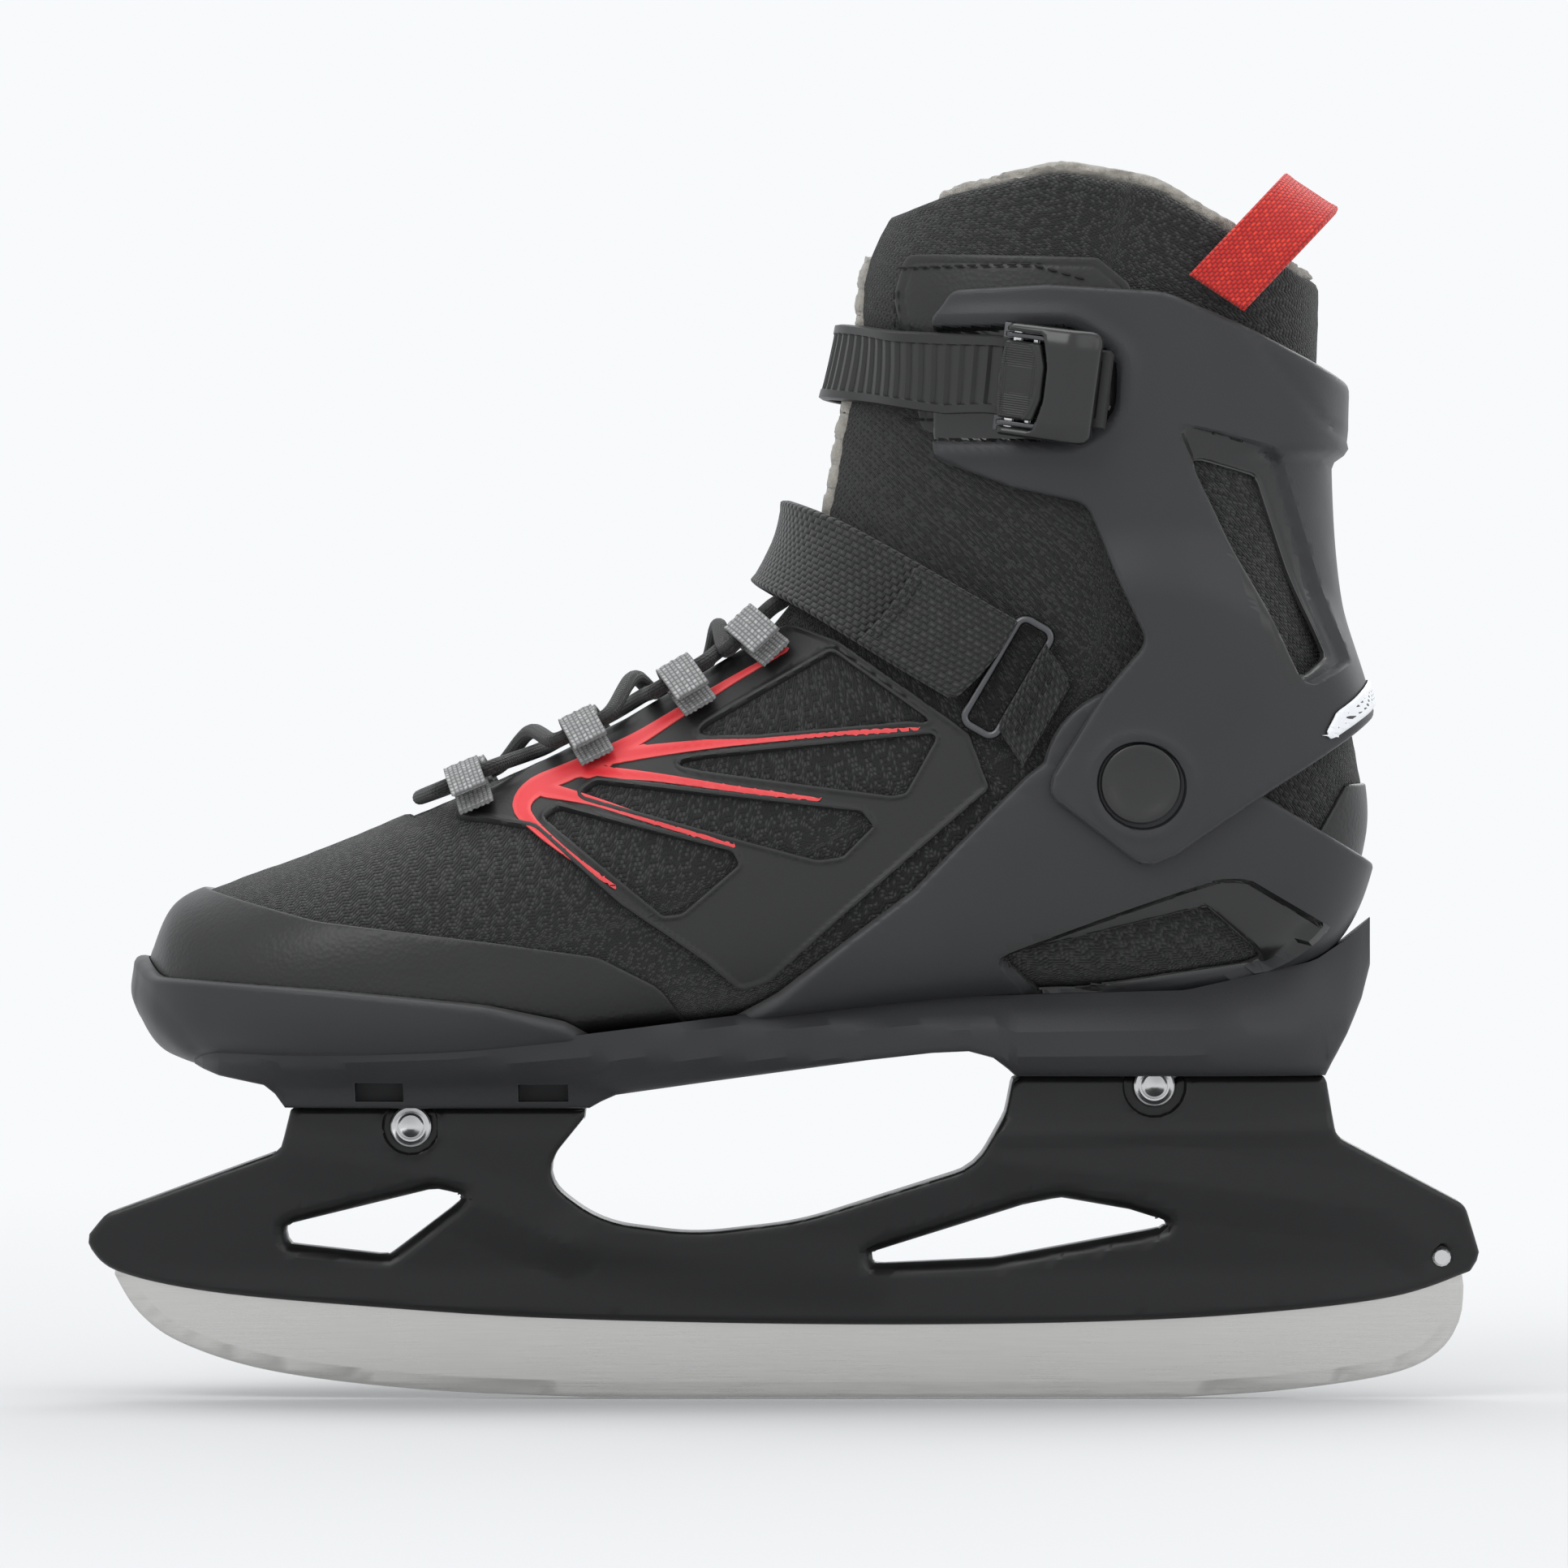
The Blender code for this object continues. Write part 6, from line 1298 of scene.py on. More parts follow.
def holder_moulding():
    """The blade holder as two mirrored side faces with soft ridges, chamfered windows and bolt seats."""
    edge = smooth_run(HOLDER_EDGE, 8)
    line = rounded(edge + HOLDER_TOP, 14)
    windows = [rounded(w) for w in HOLDER_WINDOWS]
    bolts = [(FRONT_BOLT, 0.0066), (REAR_BOLT, 0.0074)]

    def test(uv):
        value = signed(uv, line)
        for window in windows:
            value = np.maximum(value, -signed(uv, window))
        for centre, _ in bolts:
            value = np.maximum(value, 0.0038 - np.hypot(uv[:, 0] - centre[0], uv[:, 1] - centre[1]))
        return value

    def half(uv, value):
        z = uv[:, 1]
        wide = np.interp(z, [0.018, 0.032, 0.050, 0.064, 0.080], [0.0046, 0.0053, 0.0088, 0.0112, 0.0114])
        nose = ease((-0.128 - uv[:, 0]) / 0.045) + ease((uv[:, 0] - 0.128) / 0.045)
        wide = wide - nose * 0.0018
        for crease in HOLDER_CREASES:
            wide = wide + 0.0008 * (1 - np.clip(along_line(uv, crease) / 0.009, 0, 1)) ** 1.0
        for band in STEP_BANDS:
            wide = wide + 0.0009 * ease(1 - along_line(uv, band) / 0.0045)
        for window in windows:
            gap = signed(uv, window)
            wide = wide - 0.0022 * (1 - ease(gap / 0.0032))
        for centre, seat in bolts:
            r = np.hypot(uv[:, 0] - centre[0], uv[:, 1] - centre[1])
            rim = 0.0005 * np.exp(-((r - seat - 0.0006) / 0.0006) ** 2)
            wide = np.where(r < seat, 0.0115 - 0.0026, wide + rim)
        r = np.hypot(uv[:, 0] - TAIL_SCREW[0], uv[:, 1] - TAIL_SCREW[1])
        wide = np.where(r < 0.0028, 0.0038, wide)
        return wide - 0.0014 * (1 - bow(-value / 0.0016))

    def face(sign):
        def surface(uv, value):
            return np.stack([uv[:, 0], sign * half(uv, value), uv[:, 1]], 1)
        return surface

    def circle(centre, radius):
        return lambda uv: np.hypot(uv[:, 0] - centre[0], uv[:, 1] - centre[1]) - radius

    cuts = [(lambda uv, w=w: signed(uv, w), (0.0016, 0.0032)) for w in windows]
    cuts += [(circle(centre, seat), (0.0, -0.0001, 0.0005, 0.0012)) for centre, seat in bolts]
    cuts += [(circle(TAIL_SCREW, 0.0028), (0.0, -0.0001))]
    cuts += [(lambda uv, c=c: along_line(uv, c) - 0.00002, (0.0009, 0.009)) for c in HOLDER_CREASES[:2]]
    cuts += [(lambda uv: uv[:, 1] - 0.0656, (-0.0045, 0.0, 0.0045))]
    piece = trimmed("holder_moulding", steps(-0.176, 0.176, 0.0024), steps(0.014, 0.084, 0.0022), test,
                    face(-1), face(1), cuts=cuts, levels=(0.0, -0.0002, -0.0007, -0.0016), angle=34.0,
                    cloth=lambda uv: uv)
    slot_line = [(x, z + 7.0) for x, z in edge if -160.0 < x < 157.0]
    slot = [(-166.6, 10.0), (-166.6, 33.0), (-163.4, 38.0)] + slot_line
    slot += [(157.1, 38.8), (166.0, 38.8), (168.2, 27.0), (168.2, 10.0)]
    carve(piece, slab("slot", [(x, z) for x, z in slot], 2.3))
    dress(piece, "holder", "chassis", "blade_holder", slot="holder_plastic")
    return piece


def slab(name, outline, half):
    """A helper plate: a side outline in millimetres, given that half thickness about the middle."""
    points = [(x, y, z) for y in (-half, half) for x, z in outline]
    count = len(outline)
    faces = [list(range(count))[::-1], [count + i for i in range(count)]]
    faces += [(i, (i + 1) % count, count + (i + 1) % count, count + i) for i in range(count)]
    return new_piece(name, np.array(points) * MM, faces)


def runner():
    """The steel runner: rockered, with a ground edge thinned along its lower part."""
    front = smooth_run([(-165.5, 31.4), (-159.0, 21.0), (-148.0, 13.2), (-126.0, 6.4), (-90.0, 1.9),
                        (-48.0, 0.0)])
    rear = smooth_run([(98.0, 0.0), (124.0, 1.8), (149.0, 5.6), (161.0, 11.0), (166.4, 19.0), (167.4, 27.5)])
    top = [(x, z + 6.7) for x, z in smooth_run(HOLDER_EDGE, 8) if -160.0 < x < 157.0]
    outline = front + rear + [(165.6, 38.4), (157.5, 38.4)] + top[::-1] + [(-163.0, 36.0)]
    line = np.array(outline) * MM

    def half(uv, value):
        tooth = 0.0020 - 0.00035 * (1 - bow(-value / 0.0006))
        grind = 0.00012 * ease((0.0036 + value) / 0.0004) * (uv[:, 1] < 0.03)
        return tooth - grind

    def face(sign):
        return lambda uv, value: np.stack([uv[:, 0], sign * half(uv, value), uv[:, 1]], 1)

    piece = trimmed("runner_steel", steps(-0.170, 0.170, 0.003), steps(-0.002, 0.042, 0.003),
                    lambda uv: signed(uv, line), face(-1), face(1),
                    levels=(0.0, -0.00015, -0.0006, -0.0036, -0.0040), angle=25.0, cloth=lambda uv: uv)
    dress(piece, "steel", "chassis", "runner_blade", slot="stainless_steel")
    return piece


# ---------------------------------------------------------------- webbing


def crossing(turn, point, normal):
    """The s at which the boot's line at this turn crosses a plane, from the ankle upwards."""
    s = np.linspace(0.15, 0.97, 1400)
    gap = (boot(s, turn) - point) @ normal
    hit = np.where(gap[:-1] * gap[1:] <= 0)[0][0]
    return s[hit] + (s[hit + 1] - s[hit]) * gap[hit] / (gap[hit] - gap[hit + 1])


def strap_grid(centre, line, width, turns, out, across_count=9):
    """Rows of points and normals of a strap laid round the boot's front, each row across the strap."""
    middle = np.array([centre[0], 0.0, centre[1]]) * MM
    along = np.array([line[0], 0.0, line[1]]) / math.hypot(*line)
    across = np.array([-along[2], 0.0, along[0]])
    points, normals = [], []
    for turn in turns:
        s = np.array([crossing(turn, middle + across * (width * k), across)
                      for k in np.linspace(-0.5, 0.5, across_count)])
        base, normal = boot(s, turn), boot_normals(s, turn)
        points.append(base + normal * out(base)[:, None])
        normals.append(normal)
    return np.array(points), np.array(normals)


def turn_where(x, sign, centre, line):
    """The turn at which a strap's middle line passes a side x, on the outer (-1) or inner (+1) side."""
    middle = np.array([centre[0], 0.0, centre[1]]) * MM
    across = np.array([-line[1], 0.0, line[0]]) / math.hypot(*line)
    near, far = math.pi, math.pi - sign * math.radians(100.0)
    for _ in range(24):
        half = (near + far) / 2
        if boot(crossing(half, middle, across), half)[0, 0] < x:
            near = half
        else:
            far = half
    return (near + far) / 2


def blended(grid, u, t):
    """Values of a grid at row position u and across position t, both in grid steps."""
    iu = np.clip(u.astype(int), 0, grid.shape[0] - 2)
    it = np.clip(t.astype(int), 0, grid.shape[1] - 2)
    fu, ft = (u - iu)[:, None], (t - it)[:, None]
    low = grid[iu, it] * (1 - ft) + grid[iu, it + 1] * ft
    high = grid[iu + 1, it] * (1 - ft) + grid[iu + 1, it + 1] * ft
    return low * (1 - fu) + high * fu


def webbing(name, points, normals, width, thickness, step=0.0014, relief=None, corner=0.0006, hole=None,
            angle=50.0, least=0.25, levels=None):
    """A strap over a grid of points: u runs along it and v across it, both in metres."""
    middle = points[:, points.shape[1] // 2]
    run = np.concatenate([[0.0], np.cumsum(np.linalg.norm(np.diff(middle, axis=0), axis=1))])
    length = run[-1]
    box_line = np.array([(0, -width / 2), (length, -width / 2), (length, width / 2), (0, width / 2)])

    def trim(uv):
        value = signed(uv, box_line)
        return np.maximum(value, hole(uv)) if hole else value

    def place(uv):
        u = np.interp(uv[:, 0], run, np.arange(len(run)))
        t = (uv[:, 1] / width + 0.5) * (points.shape[1] - 1)
        normal = blended(normals, u, t)
        return blended(points, u, t), normal / np.linalg.norm(normal, axis=1)[:, None]

    def top(uv, value):
        base, normal = place(uv)
        lift = thickness * (least + (1 - least) * bow(-value / corner))
        if relief:
            lift = lift + relief(uv, value, length)
        return base + normal * lift[:, None]

    def bottom(uv, value):
        base, normal = place(uv)
        return base + normal * (thickness * 0.15 * (1 - bow(-value / corner)))[:, None]

    return trimmed(name, steps(0.0, length, step), steps(-width / 2, width / 2, min(step, width / 8)),
                   trim, top, bottom, levels=levels or (0.0, -corner * 0.3, -corner), angle=angle,
                   cloth=lambda uv: uv)


def selvedge(uv, value, length):
    """The thicker woven border of a strap and the faint ladder of its weft."""
    border = 0.00018 * ease((0.0022 + value) / 0.0006) * ease(-value / 0.0003)
    return border + 0.00005 * np.sin(uv[:, 0] * 2 * math.pi / 0.0028)


STRAP_CENTRE, STRAP_LINE = (20.0, 198.0), (-53.0, 31.0)
STRAP_WIDTH, STRAP_THICKNESS = 0.025, 0.0020


def strap_out(p):
    return 0.0024 + 0.0035 * ease((0.030 - p[:, 0]) / 0.022)


def instep_strap():
    """Nylon strap over the laces, folded through the ring on the outer side, riveted on the inner side."""
    turns = np.linspace(turn_where(0.0505, -1.0, STRAP_CENTRE, STRAP_LINE),
                        turn_where(0.053, 1.0, STRAP_CENTRE, STRAP_LINE), 70)
    points, normals = strap_grid(STRAP_CENTRE, STRAP_LINE, STRAP_WIDTH, turns, strap_out)
    thickness = round(settings().strap_thickness, 6)
    strap = webbing("instep_webbing", points, normals, STRAP_WIDTH, thickness, relief=selvedge)
    dress(strap, "black_webbing", "chassis", "instep_strap", slot="black_webbing")
    # the tail that was folded round the ring lies back on the strap, sewn down
    tail = int((points[:, 4, 0] > 0.026).argmin())
    rows, ups = points[:tail], normals[:tail]
    lift = thickness + 0.0002 + 0.0006 * np.sin(np.linspace(0, math.pi, len(rows)))
    back = webbing("instep_folded_tail", rows + ups * lift[:, None, None], ups, STRAP_WIDTH * 0.97, 0.0015,
                   relief=selvedge)
    dress(back, "black_webbing", "chassis", slot="black_webbing")
    stitches("instep_stitching", rows + ups * (lift[:, None, None] + 0.0015), ups,
             [((u, 0.12), (u, 0.88)) for u in (0.88, 0.95)])


def stitches(name, points, normals, lines, pitch=0.0026, radius=0.00028, body="chassis"):
    """Short raised thread dashes along lines given as shares of a strap's grid."""
    made, faces = [], []
    size = np.array(points.shape[:2]) - 1
    for start, end in lines:
        start, end = np.array(start) * size, np.array(end) * size
        a, b = (blended(points, np.array([q[0]]), np.array([q[1]]))[0] for q in (start, end))
        count = max(2, int(np.linalg.norm(b - a) / pitch))
        for i in range(count):
            ends = []
            for share in ((i + 0.14) / count, (i + 0.86) / count):
                q = start + (end - start) * share
                u, t = np.array([q[0]]), np.array([q[1]])
                ends.append((blended(points, u, t)[0], blended(normals, u, t)[0]))
            capsule(made, faces, ends[0][0], ends[1][0], ends[0][1], radius)
    piece = new_piece(name, made, faces, 60.0)
    keep_values(piece, "rim", np.full(len(made), NO_RIM))
    dress(piece, "thread", body)
    return piece


def capsule(points, faces, a, b, up, radius):
    """A small rounded dash between two points, half sunk into the cloth."""
    along = (b - a) / np.linalg.norm(b - a)
    across = np.cross(up, along)
    across /= np.linalg.norm(across)
    up = np.cross(along, across)
    base = len(points)
    length = np.linalg.norm(b - a)
    for share, size in ((0.0, 0.35), (0.12, 0.85), (0.5, 1.0), (0.88, 0.85), (1.0, 0.35)):
        for k in range(6):
            angle = k * math.pi / 3
            points.append(a + along * (share * length)
                          + (across * math.cos(angle) * 1.25 + up * math.sin(angle)) * (radius * size))
    for ring in range(4):
        for k in range(6):
            n = (k + 1) % 6
            low, high = base + ring * 6, base + ring * 6 + 6
            faces.append((low + k, low + n, high + n, high + k))
    faces.append([base + k for k in range(6)][::-1])
    faces.append([base + 24 + k for k in range(6)])


def side_frame(x, z, sign):
    """A point of the boot's side seen at (x, z), with its outward normal."""
    s, v = 0.5, 3.0 if sign < 0 else 1.0
    target = np.array([x, z])
    for _ in range(40):
        p = boot([s], turn_of(np.array([v])))[0, [0, 2]]
        ds = (boot([s + 0.002], turn_of(np.array([v])))[0, [0, 2]] - p) / 0.002
        dv = (boot([s], turn_of(np.array([v + 0.01])))[0, [0, 2]] - p) / 0.01
        step = np.linalg.lstsq(np.stack([ds, dv], 1), target - p, rcond=None)[0]
        s += float(np.clip(step[0], -0.05, 0.05)) * 0.7
        v += float(np.clip(step[1], -0.15, 0.15)) * 0.7
    turn = turn_of(np.array([v]))
    return boot([s], turn)[0], boot_normals([s], turn)[0]


def ring_anchor():
    """The strip that holds the ring down to the chassis, with plain bar tacks."""
    along = np.array([STRAP_LINE[0], 0.0, STRAP_LINE[1]])
    where, normal = side_frame(0.0545, 0.177, -1.0)
    along = along - normal * (along @ normal)
    along /= np.linalg.norm(along)
    across = np.cross(normal, along)
    start = where + normal * 0.0034 - along * 0.0040
    points, normals = [], []
    for i in range(14):
        share = i / 13
        x = start[0] + (0.0640 - start[0]) * share
        z = start[2] + (0.1655 - start[2]) * share
        base, up = side_frame(x, z, -1.0)
        curl = 0.0030 * ease(1 - share / 0.25)
        points.append([base + up * (0.0016 + curl) + across * (0.0118 * k) for k in np.linspace(-1, 1, 5)])
        normals.append([up] * 5)
    points, normals = np.array(points), np.array(normals)
    strap = webbing("ring_anchor_webbing", points, normals, 0.0235, 0.0017, relief=selvedge)
    dress(strap, "black_webbing", "chassis", "ring_anchor", slot="black_webbing")
    stitches("ring_anchor_stitching", points + normals * 0.0017, normals,
             [((u, 0.14), (u, 0.86)) for u in (0.42, 0.52)])


PULL_WIDTH = 0.016


def pull_loop():
    """Webbing that rises from both sides of the shaft and arches over behind the opening."""
    x0, z0, x1, z1 = 0.1046, 0.270, 0.128, 0.2946
    lean = np.array([x1 - x0, 0.0, z1 - z0])
    width_dir = np.array([0.83, 0.0, -0.55])
    width_dir /= np.linalg.norm(width_dir)
    y0 = 0.0459
    heights = [0.0, 0.2, 0.4, 0.6, 0.78, 0.9, 0.97, 1.0]
    ys = [1.0, 0.995, 0.98, 0.95, 0.88, 0.76, 0.6, 0.4]
    half = [(np.array([x0, 0, z0]) + lean * h, y0 * y) for h, y in zip(heights, ys)]
    line = [p + np.array([0, -y, 0]) for p, y in half] + [p + np.array([0, y, 0]) for p, y in half[::-1]]
    line = np.array(smooth_run([tuple(p) for p in line], 6))
    points, normals = [], []
    for i, centre in enumerate(line):
        along = line[min(i + 1, len(line) - 1)] - line[max(i - 1, 0)]
        normal = np.cross(width_dir, along)
        normal /= np.linalg.norm(normal)
        if normal @ (centre - np.array([x0, 0, z0])) < 0:
            normal = -normal
        points.append([centre + width_dir * (PULL_WIDTH / 2 * k) for k in np.linspace(-1, 1, 5)])
        normals.append([normal] * 5)
    points, normals = np.array(points), np.array(normals)
    strap = webbing("pull_loop_webbing", points, normals, PULL_WIDTH, 0.0018, relief=selvedge)
    dress(strap, "red_webbing", "cuff", "pull_loop", slot="red_webbing")


# ---------------------------------------------------------------- lacing

LACE_ROWS = [0.262, 0.316, 0.366, 0.412]
LOOP_TURN = math.radians(27.0)
LACE_RADIUS = 0.0020
LACE_POINTS = 420
LOOP_WIDTH = 0.009
LOOP_INSIDE = 0.0031
LOOP_WEBBING = 0.0011


def loop_frame(s, sign):
    turn = math.pi - sign * LOOP_TURN
    where, normal = one(s, turn)
    along = (one(s + 0.01, turn)[0] - one(s - 0.01, turn)[0]).normalized()
    inward = normal.cross(along).normalized()
    if inward.y * sign > 0:
        inward = -inward
    return where + normal * 0.0063, inward, along, normal


def lace_loops():
    """Folded ribbed webbing: each loop is a flat hairpin round the lace."""
    for label, sign in (("outer", -1.0), ("inner", 1.0)):
        for number, s in enumerate(LACE_ROWS, 1):
            centre, inward, along, normal = (np.array(v) for v in loop_frame(s, sign))
            radius = LOOP_INSIDE
            path = [(-0.0125, -radius + 0.0004), (-0.009, -radius), (-0.005, -radius)]
            path += [(radius * math.cos(math.radians(a)), radius * math.sin(math.radians(a)))
                     for a in range(-90, 91, 15)]
            path += [(-0.005, radius - 0.0002), (-0.009, radius - 0.0012), (-0.0125, radius - 0.0022)]
            path = smooth_run(path, 2)
            points, normals = [], []
            for i, (u, v) in enumerate(path):
                a, b = path[max(i - 1, 0)], path[min(i + 1, len(path) - 1)]
                out = inward * (b[1] - a[1]) - normal * (b[0] - a[0])
                out = out / np.linalg.norm(out)
                if i < len(path) // 2 and out @ normal > 0 or i > len(path) // 2 and out @ normal < 0:
                    out = -out
                points.append([centre + inward * u + normal * v + along * (LOOP_WIDTH / 2 * k)
                               for k in np.linspace(-1, 1, 5)])
                normals.append([out] * 5)
            loop = webbing(f"loop_webbing_{label}_{number}", np.array(points), np.array(normals), LOOP_WIDTH,
                           LOOP_WEBBING, step=0.0009,
                           relief=lambda uv, value, length: 0.00016 * np.cos(uv[:, 1] * 2 * math.pi / 0.0015),
                           corner=0.0003)
            dress(loop, "grey_webbing", "chassis", f"lace_loop_{label}_{number}", slot="grey_webbing")


def lace_route():
    """The lace's own path: tucked end, up and across through the loops, and back the same way."""
    def through(row, sign, ends):
        centre, _, along, _ = loop_frame(LACE_ROWS[row], sign)
        return [centre + along * (end * (LOOP_WIDTH / 2 + 0.0030)) for end in ends]

    def over(s, height):
        return one(s, math.pi, height)[0]

    tuck = math.pi - LOOP_TURN * 0.9
    tucked = LACE_RADIUS + 0.0006
    ends = (LACE_ROWS[3] + 0.050, LACE_ROWS[3] + 0.034)
    route = [one(s, 2 * math.pi - tuck, tucked)[0] for s in ends]
    low, high = 0.0008, 0.0058
    for row, sign in ((3, -1.0), (2, 1.0), (1, -1.0)):
        route += through(row, sign, (1, 0, -1))
        route += [over((LACE_ROWS[row] + LACE_ROWS[row - 1]) / 2, high)]
    route += through(0, 1.0, (1, 0, -1))
    route += [over(LACE_ROWS[0] - 0.024, 0.0024)]
    for row, sign in ((0, -1.0), (1, 1.0), (2, -1.0)):
        route += through(row, sign, (-1, 0, 1))
        route += [over((LACE_ROWS[row] + LACE_ROWS[row + 1]) / 2, low)]
    route += through(3, 1.0, (-1, 0, 1))
    route += [one(s, tuck, tucked)[0] for s in ends[::-1]]
    return np.array(smooth_run([tuple(p) for p in route], 10))


def even_path(line, count):
    run = np.concatenate([[0.0], np.cumsum(np.linalg.norm(np.diff(line, axis=0), axis=1))])
    at = np.linspace(0, run[-1], count)
    return np.stack([np.interp(at, run, line[:, k]) for k in range(3)], 1), run[-1]


def bar(name, path, radius, around=12, closed=False, flat=1.0, ups=None):
    """A round bar along a path, with domed ends where it is open."""
    count = len(path)
    nxt, prev = np.roll(path, -1, 0), np.roll(path, 1, 0)
    if not closed:
        nxt[-1], prev[0] = path[-1], path[0]
    tangent = nxt - prev
    tangent /= np.linalg.norm(tangent, axis=1)[:, None]
    up = np.cross(tangent[0], np.array([0.3, 1.0, 0.2]))
    rings = []
    for i in range(count):
        up = ups[i] if ups is not None else up
        up = up - tangent[i] * (up @ tangent[i])
        up /= np.linalg.norm(up)
        across = np.cross(tangent[i], up)
        angles = np.arange(around) * 2 * math.pi / around
        around_centre = np.cos(angles)[:, None] * across + flat * np.sin(angles)[:, None] * up
        rings.append(path[i] + radius * around_centre)
    points = np.concatenate(rings)
    faces = []
    for i in range(count if closed else count - 1):
        j = (i + 1) % count
        for k in range(around):
            n = (k + 1) % around
            faces.append((i * around + k, i * around + n, j * around + n, j * around + k))
    if not closed:
        faces.append(list(range(around))[::-1])
        faces.append([(count - 1) * around + k for k in range(around)])
    piece = new_piece(name, points, faces, 60.0)
    run = np.concatenate([[0.0], np.cumsum(np.linalg.norm(np.diff(path, axis=0), axis=1))])
    coords = [(run[i], k / around * 2 * math.pi * radius) for i in range(count) for k in range(around)]
    keep_map(piece, coords)
    keep_values(piece, "rim", np.full(len(points), NO_RIM))
    return piece


def lace():
    path, length = even_path(lace_route(), LACE_POINTS)
    radius = round(settings().lace_diameter / 2, 6)
    piece = bar("boot_lace", path, radius, 14, flat=0.92)
    dress(piece, "lace", "chassis", "lace", slot="black_webbing")


# ---------------------------------------------------------------- metal fittings


def turned_piece(name, profile, centre, axis, segments=56, angle=30.0):
    """A turned part from (radius, height) pairs, top to bottom, spun about its axis."""
    axis = Vector(axis).normalized()
    turn = Vector((0.0, 0.0, 1.0)).rotation_difference(axis).to_matrix()
    points, faces, rings = [], [], []
    for radius, height in profile:
        if radius < 1e-7:
            rings.append([len(points)])
            points.append(turn @ Vector((0.0, 0.0, height)) + Vector(centre))
            continue
        rings.append(list(range(len(points), len(points) + segments)))
        points += [turn @ Vector((radius * math.cos(2 * math.pi * k / segments),
                                  radius * math.sin(2 * math.pi * k / segments), height)) + Vector(centre)
                   for k in range(segments)]
    for low, high in zip(rings, rings[1:]):
        for k in range(segments):
            n = (k + 1) % segments
            if len(low) == 1:
                faces.append((low[0], high[k], high[n]))
            elif len(high) == 1:
                faces.append((low[k], high[0], low[n]))
            else:
                faces.append((low[k], high[k], high[n], low[n]))
    piece = new_piece(name, [tuple(p) for p in points], faces, angle)
    keep_values(piece, "rim", np.full(len(points), NO_RIM))
    return piece


def fittings():
    """Bolt heads with their sleeves, and the pivot buttons."""
    face = 0.0115 - 0.0026 + GAP
    for name, (x, z) in (("front_bolt", FRONT_BOLT), ("rear_bolt", REAR_BOLT)):
        head = [(0.0, 0.0012), (0.0010, 0.00125), (0.0024, 0.0020), (0.0027, 0.0021), (0.0030, 0.0020),
                (0.0033, 0.0017), (0.0037, 0.00165), (0.0041, 0.0019), (0.0046, 0.0021), (0.0050, 0.0018),
                (0.0051, 0.0014), (0.0051, 0.0)]
        shank = [(0.0032, 0.0), (0.0032, -face + 0.0015), (0.0022, -face + 0.0015), (0.0022, -face - 0.0055),
                 (0.0, -face - 0.0055)]
        dress(turned_piece(name + "_head", head + shank, (x, -face, z), (0.0, -1.0, 0.0)), "chrome",
              "chassis", name, slot="chromed_steel")
        nut = [(0.0, 0.0014), (0.0016, 0.0014), (0.0018, 0.0021), (0.0040, 0.0022), (0.0048, 0.0020),
               (0.0051, 0.0015), (0.0051, 0.0), (0.0032, 0.0), (0.0032, -face - 0.0007),
               (0.0025, -face - 0.0007), (0.0025, -face + 0.0063), (0.0, -face + 0.0063)]
        dress(turned_piece(name + "_sleeve", nut, (x, face, z), (0.0, 1.0, 0.0)), "chrome", "chassis",
              name + "_nut", slot="chromed_steel")
    for label, sign in (("outer", -1.0), ("inner", 1.0)):
        low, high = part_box("pivot_cap_" + label)
        top = (high.y if sign > 0 else -low.y)
        seat = top - 0.0019
        cap = [(0.0, 0.0009), (0.0020, 0.00092), (0.0045, 0.0011), (0.0070, 0.0015), (0.0082, 0.00185),
               (0.0088, 0.0019), (0.0094, 0.0017), (0.0098, 0.0012), (0.0098, 0.0), (0.0045, 0.0),
               (0.0045, -0.0052), (0.0, -0.0052)]
        place, axis = (PIVOT[0], sign * seat, PIVOT[1]), (0.0, sign, 0.0)
        dress(turned_piece("pivot_button_" + label, cap, place, axis, 72),
              "button", "chassis", "pivot_cap_" + label, slot="shell_plastic")


# ---------------------------------------------------------------- ladder strap and buckle

BUCKLE_AXES = Matrix(((0.9609, 0.116025, -0.251416, 0.060869), (-0.24076, -0.098406, -0.965583, -0.048196),
                      (-0.136772, 0.98836, -0.066624, 0.2489), (0.0, 0.0, 0.0, 1.0)))
LADDER_CENTRE, LADDER_LINE = (11.2, 254.7), (-46.0, 5.4)
LADDER_WIDTH, LADDER_THICKNESS = 0.019, 0.0022
LADDER_LIFT = 0.0007
BUCKLE_WIDTH, BUCKLE_PLATE = 0.0262, 0.0012
PLATE_FRONT, PLATE_REAR = -0.009, 0.013
RIB_PITCH = 0.0036


def ladder_out(p):
    return 0.0012 + (CUFF_TOP + LADDER_LIFT - 0.0012) * ease((p[:, 0] - 0.019) / 0.014)


def in_buckle(x, y, z):
    return np.array(BUCKLE_AXES @ Vector((x, y, z)))


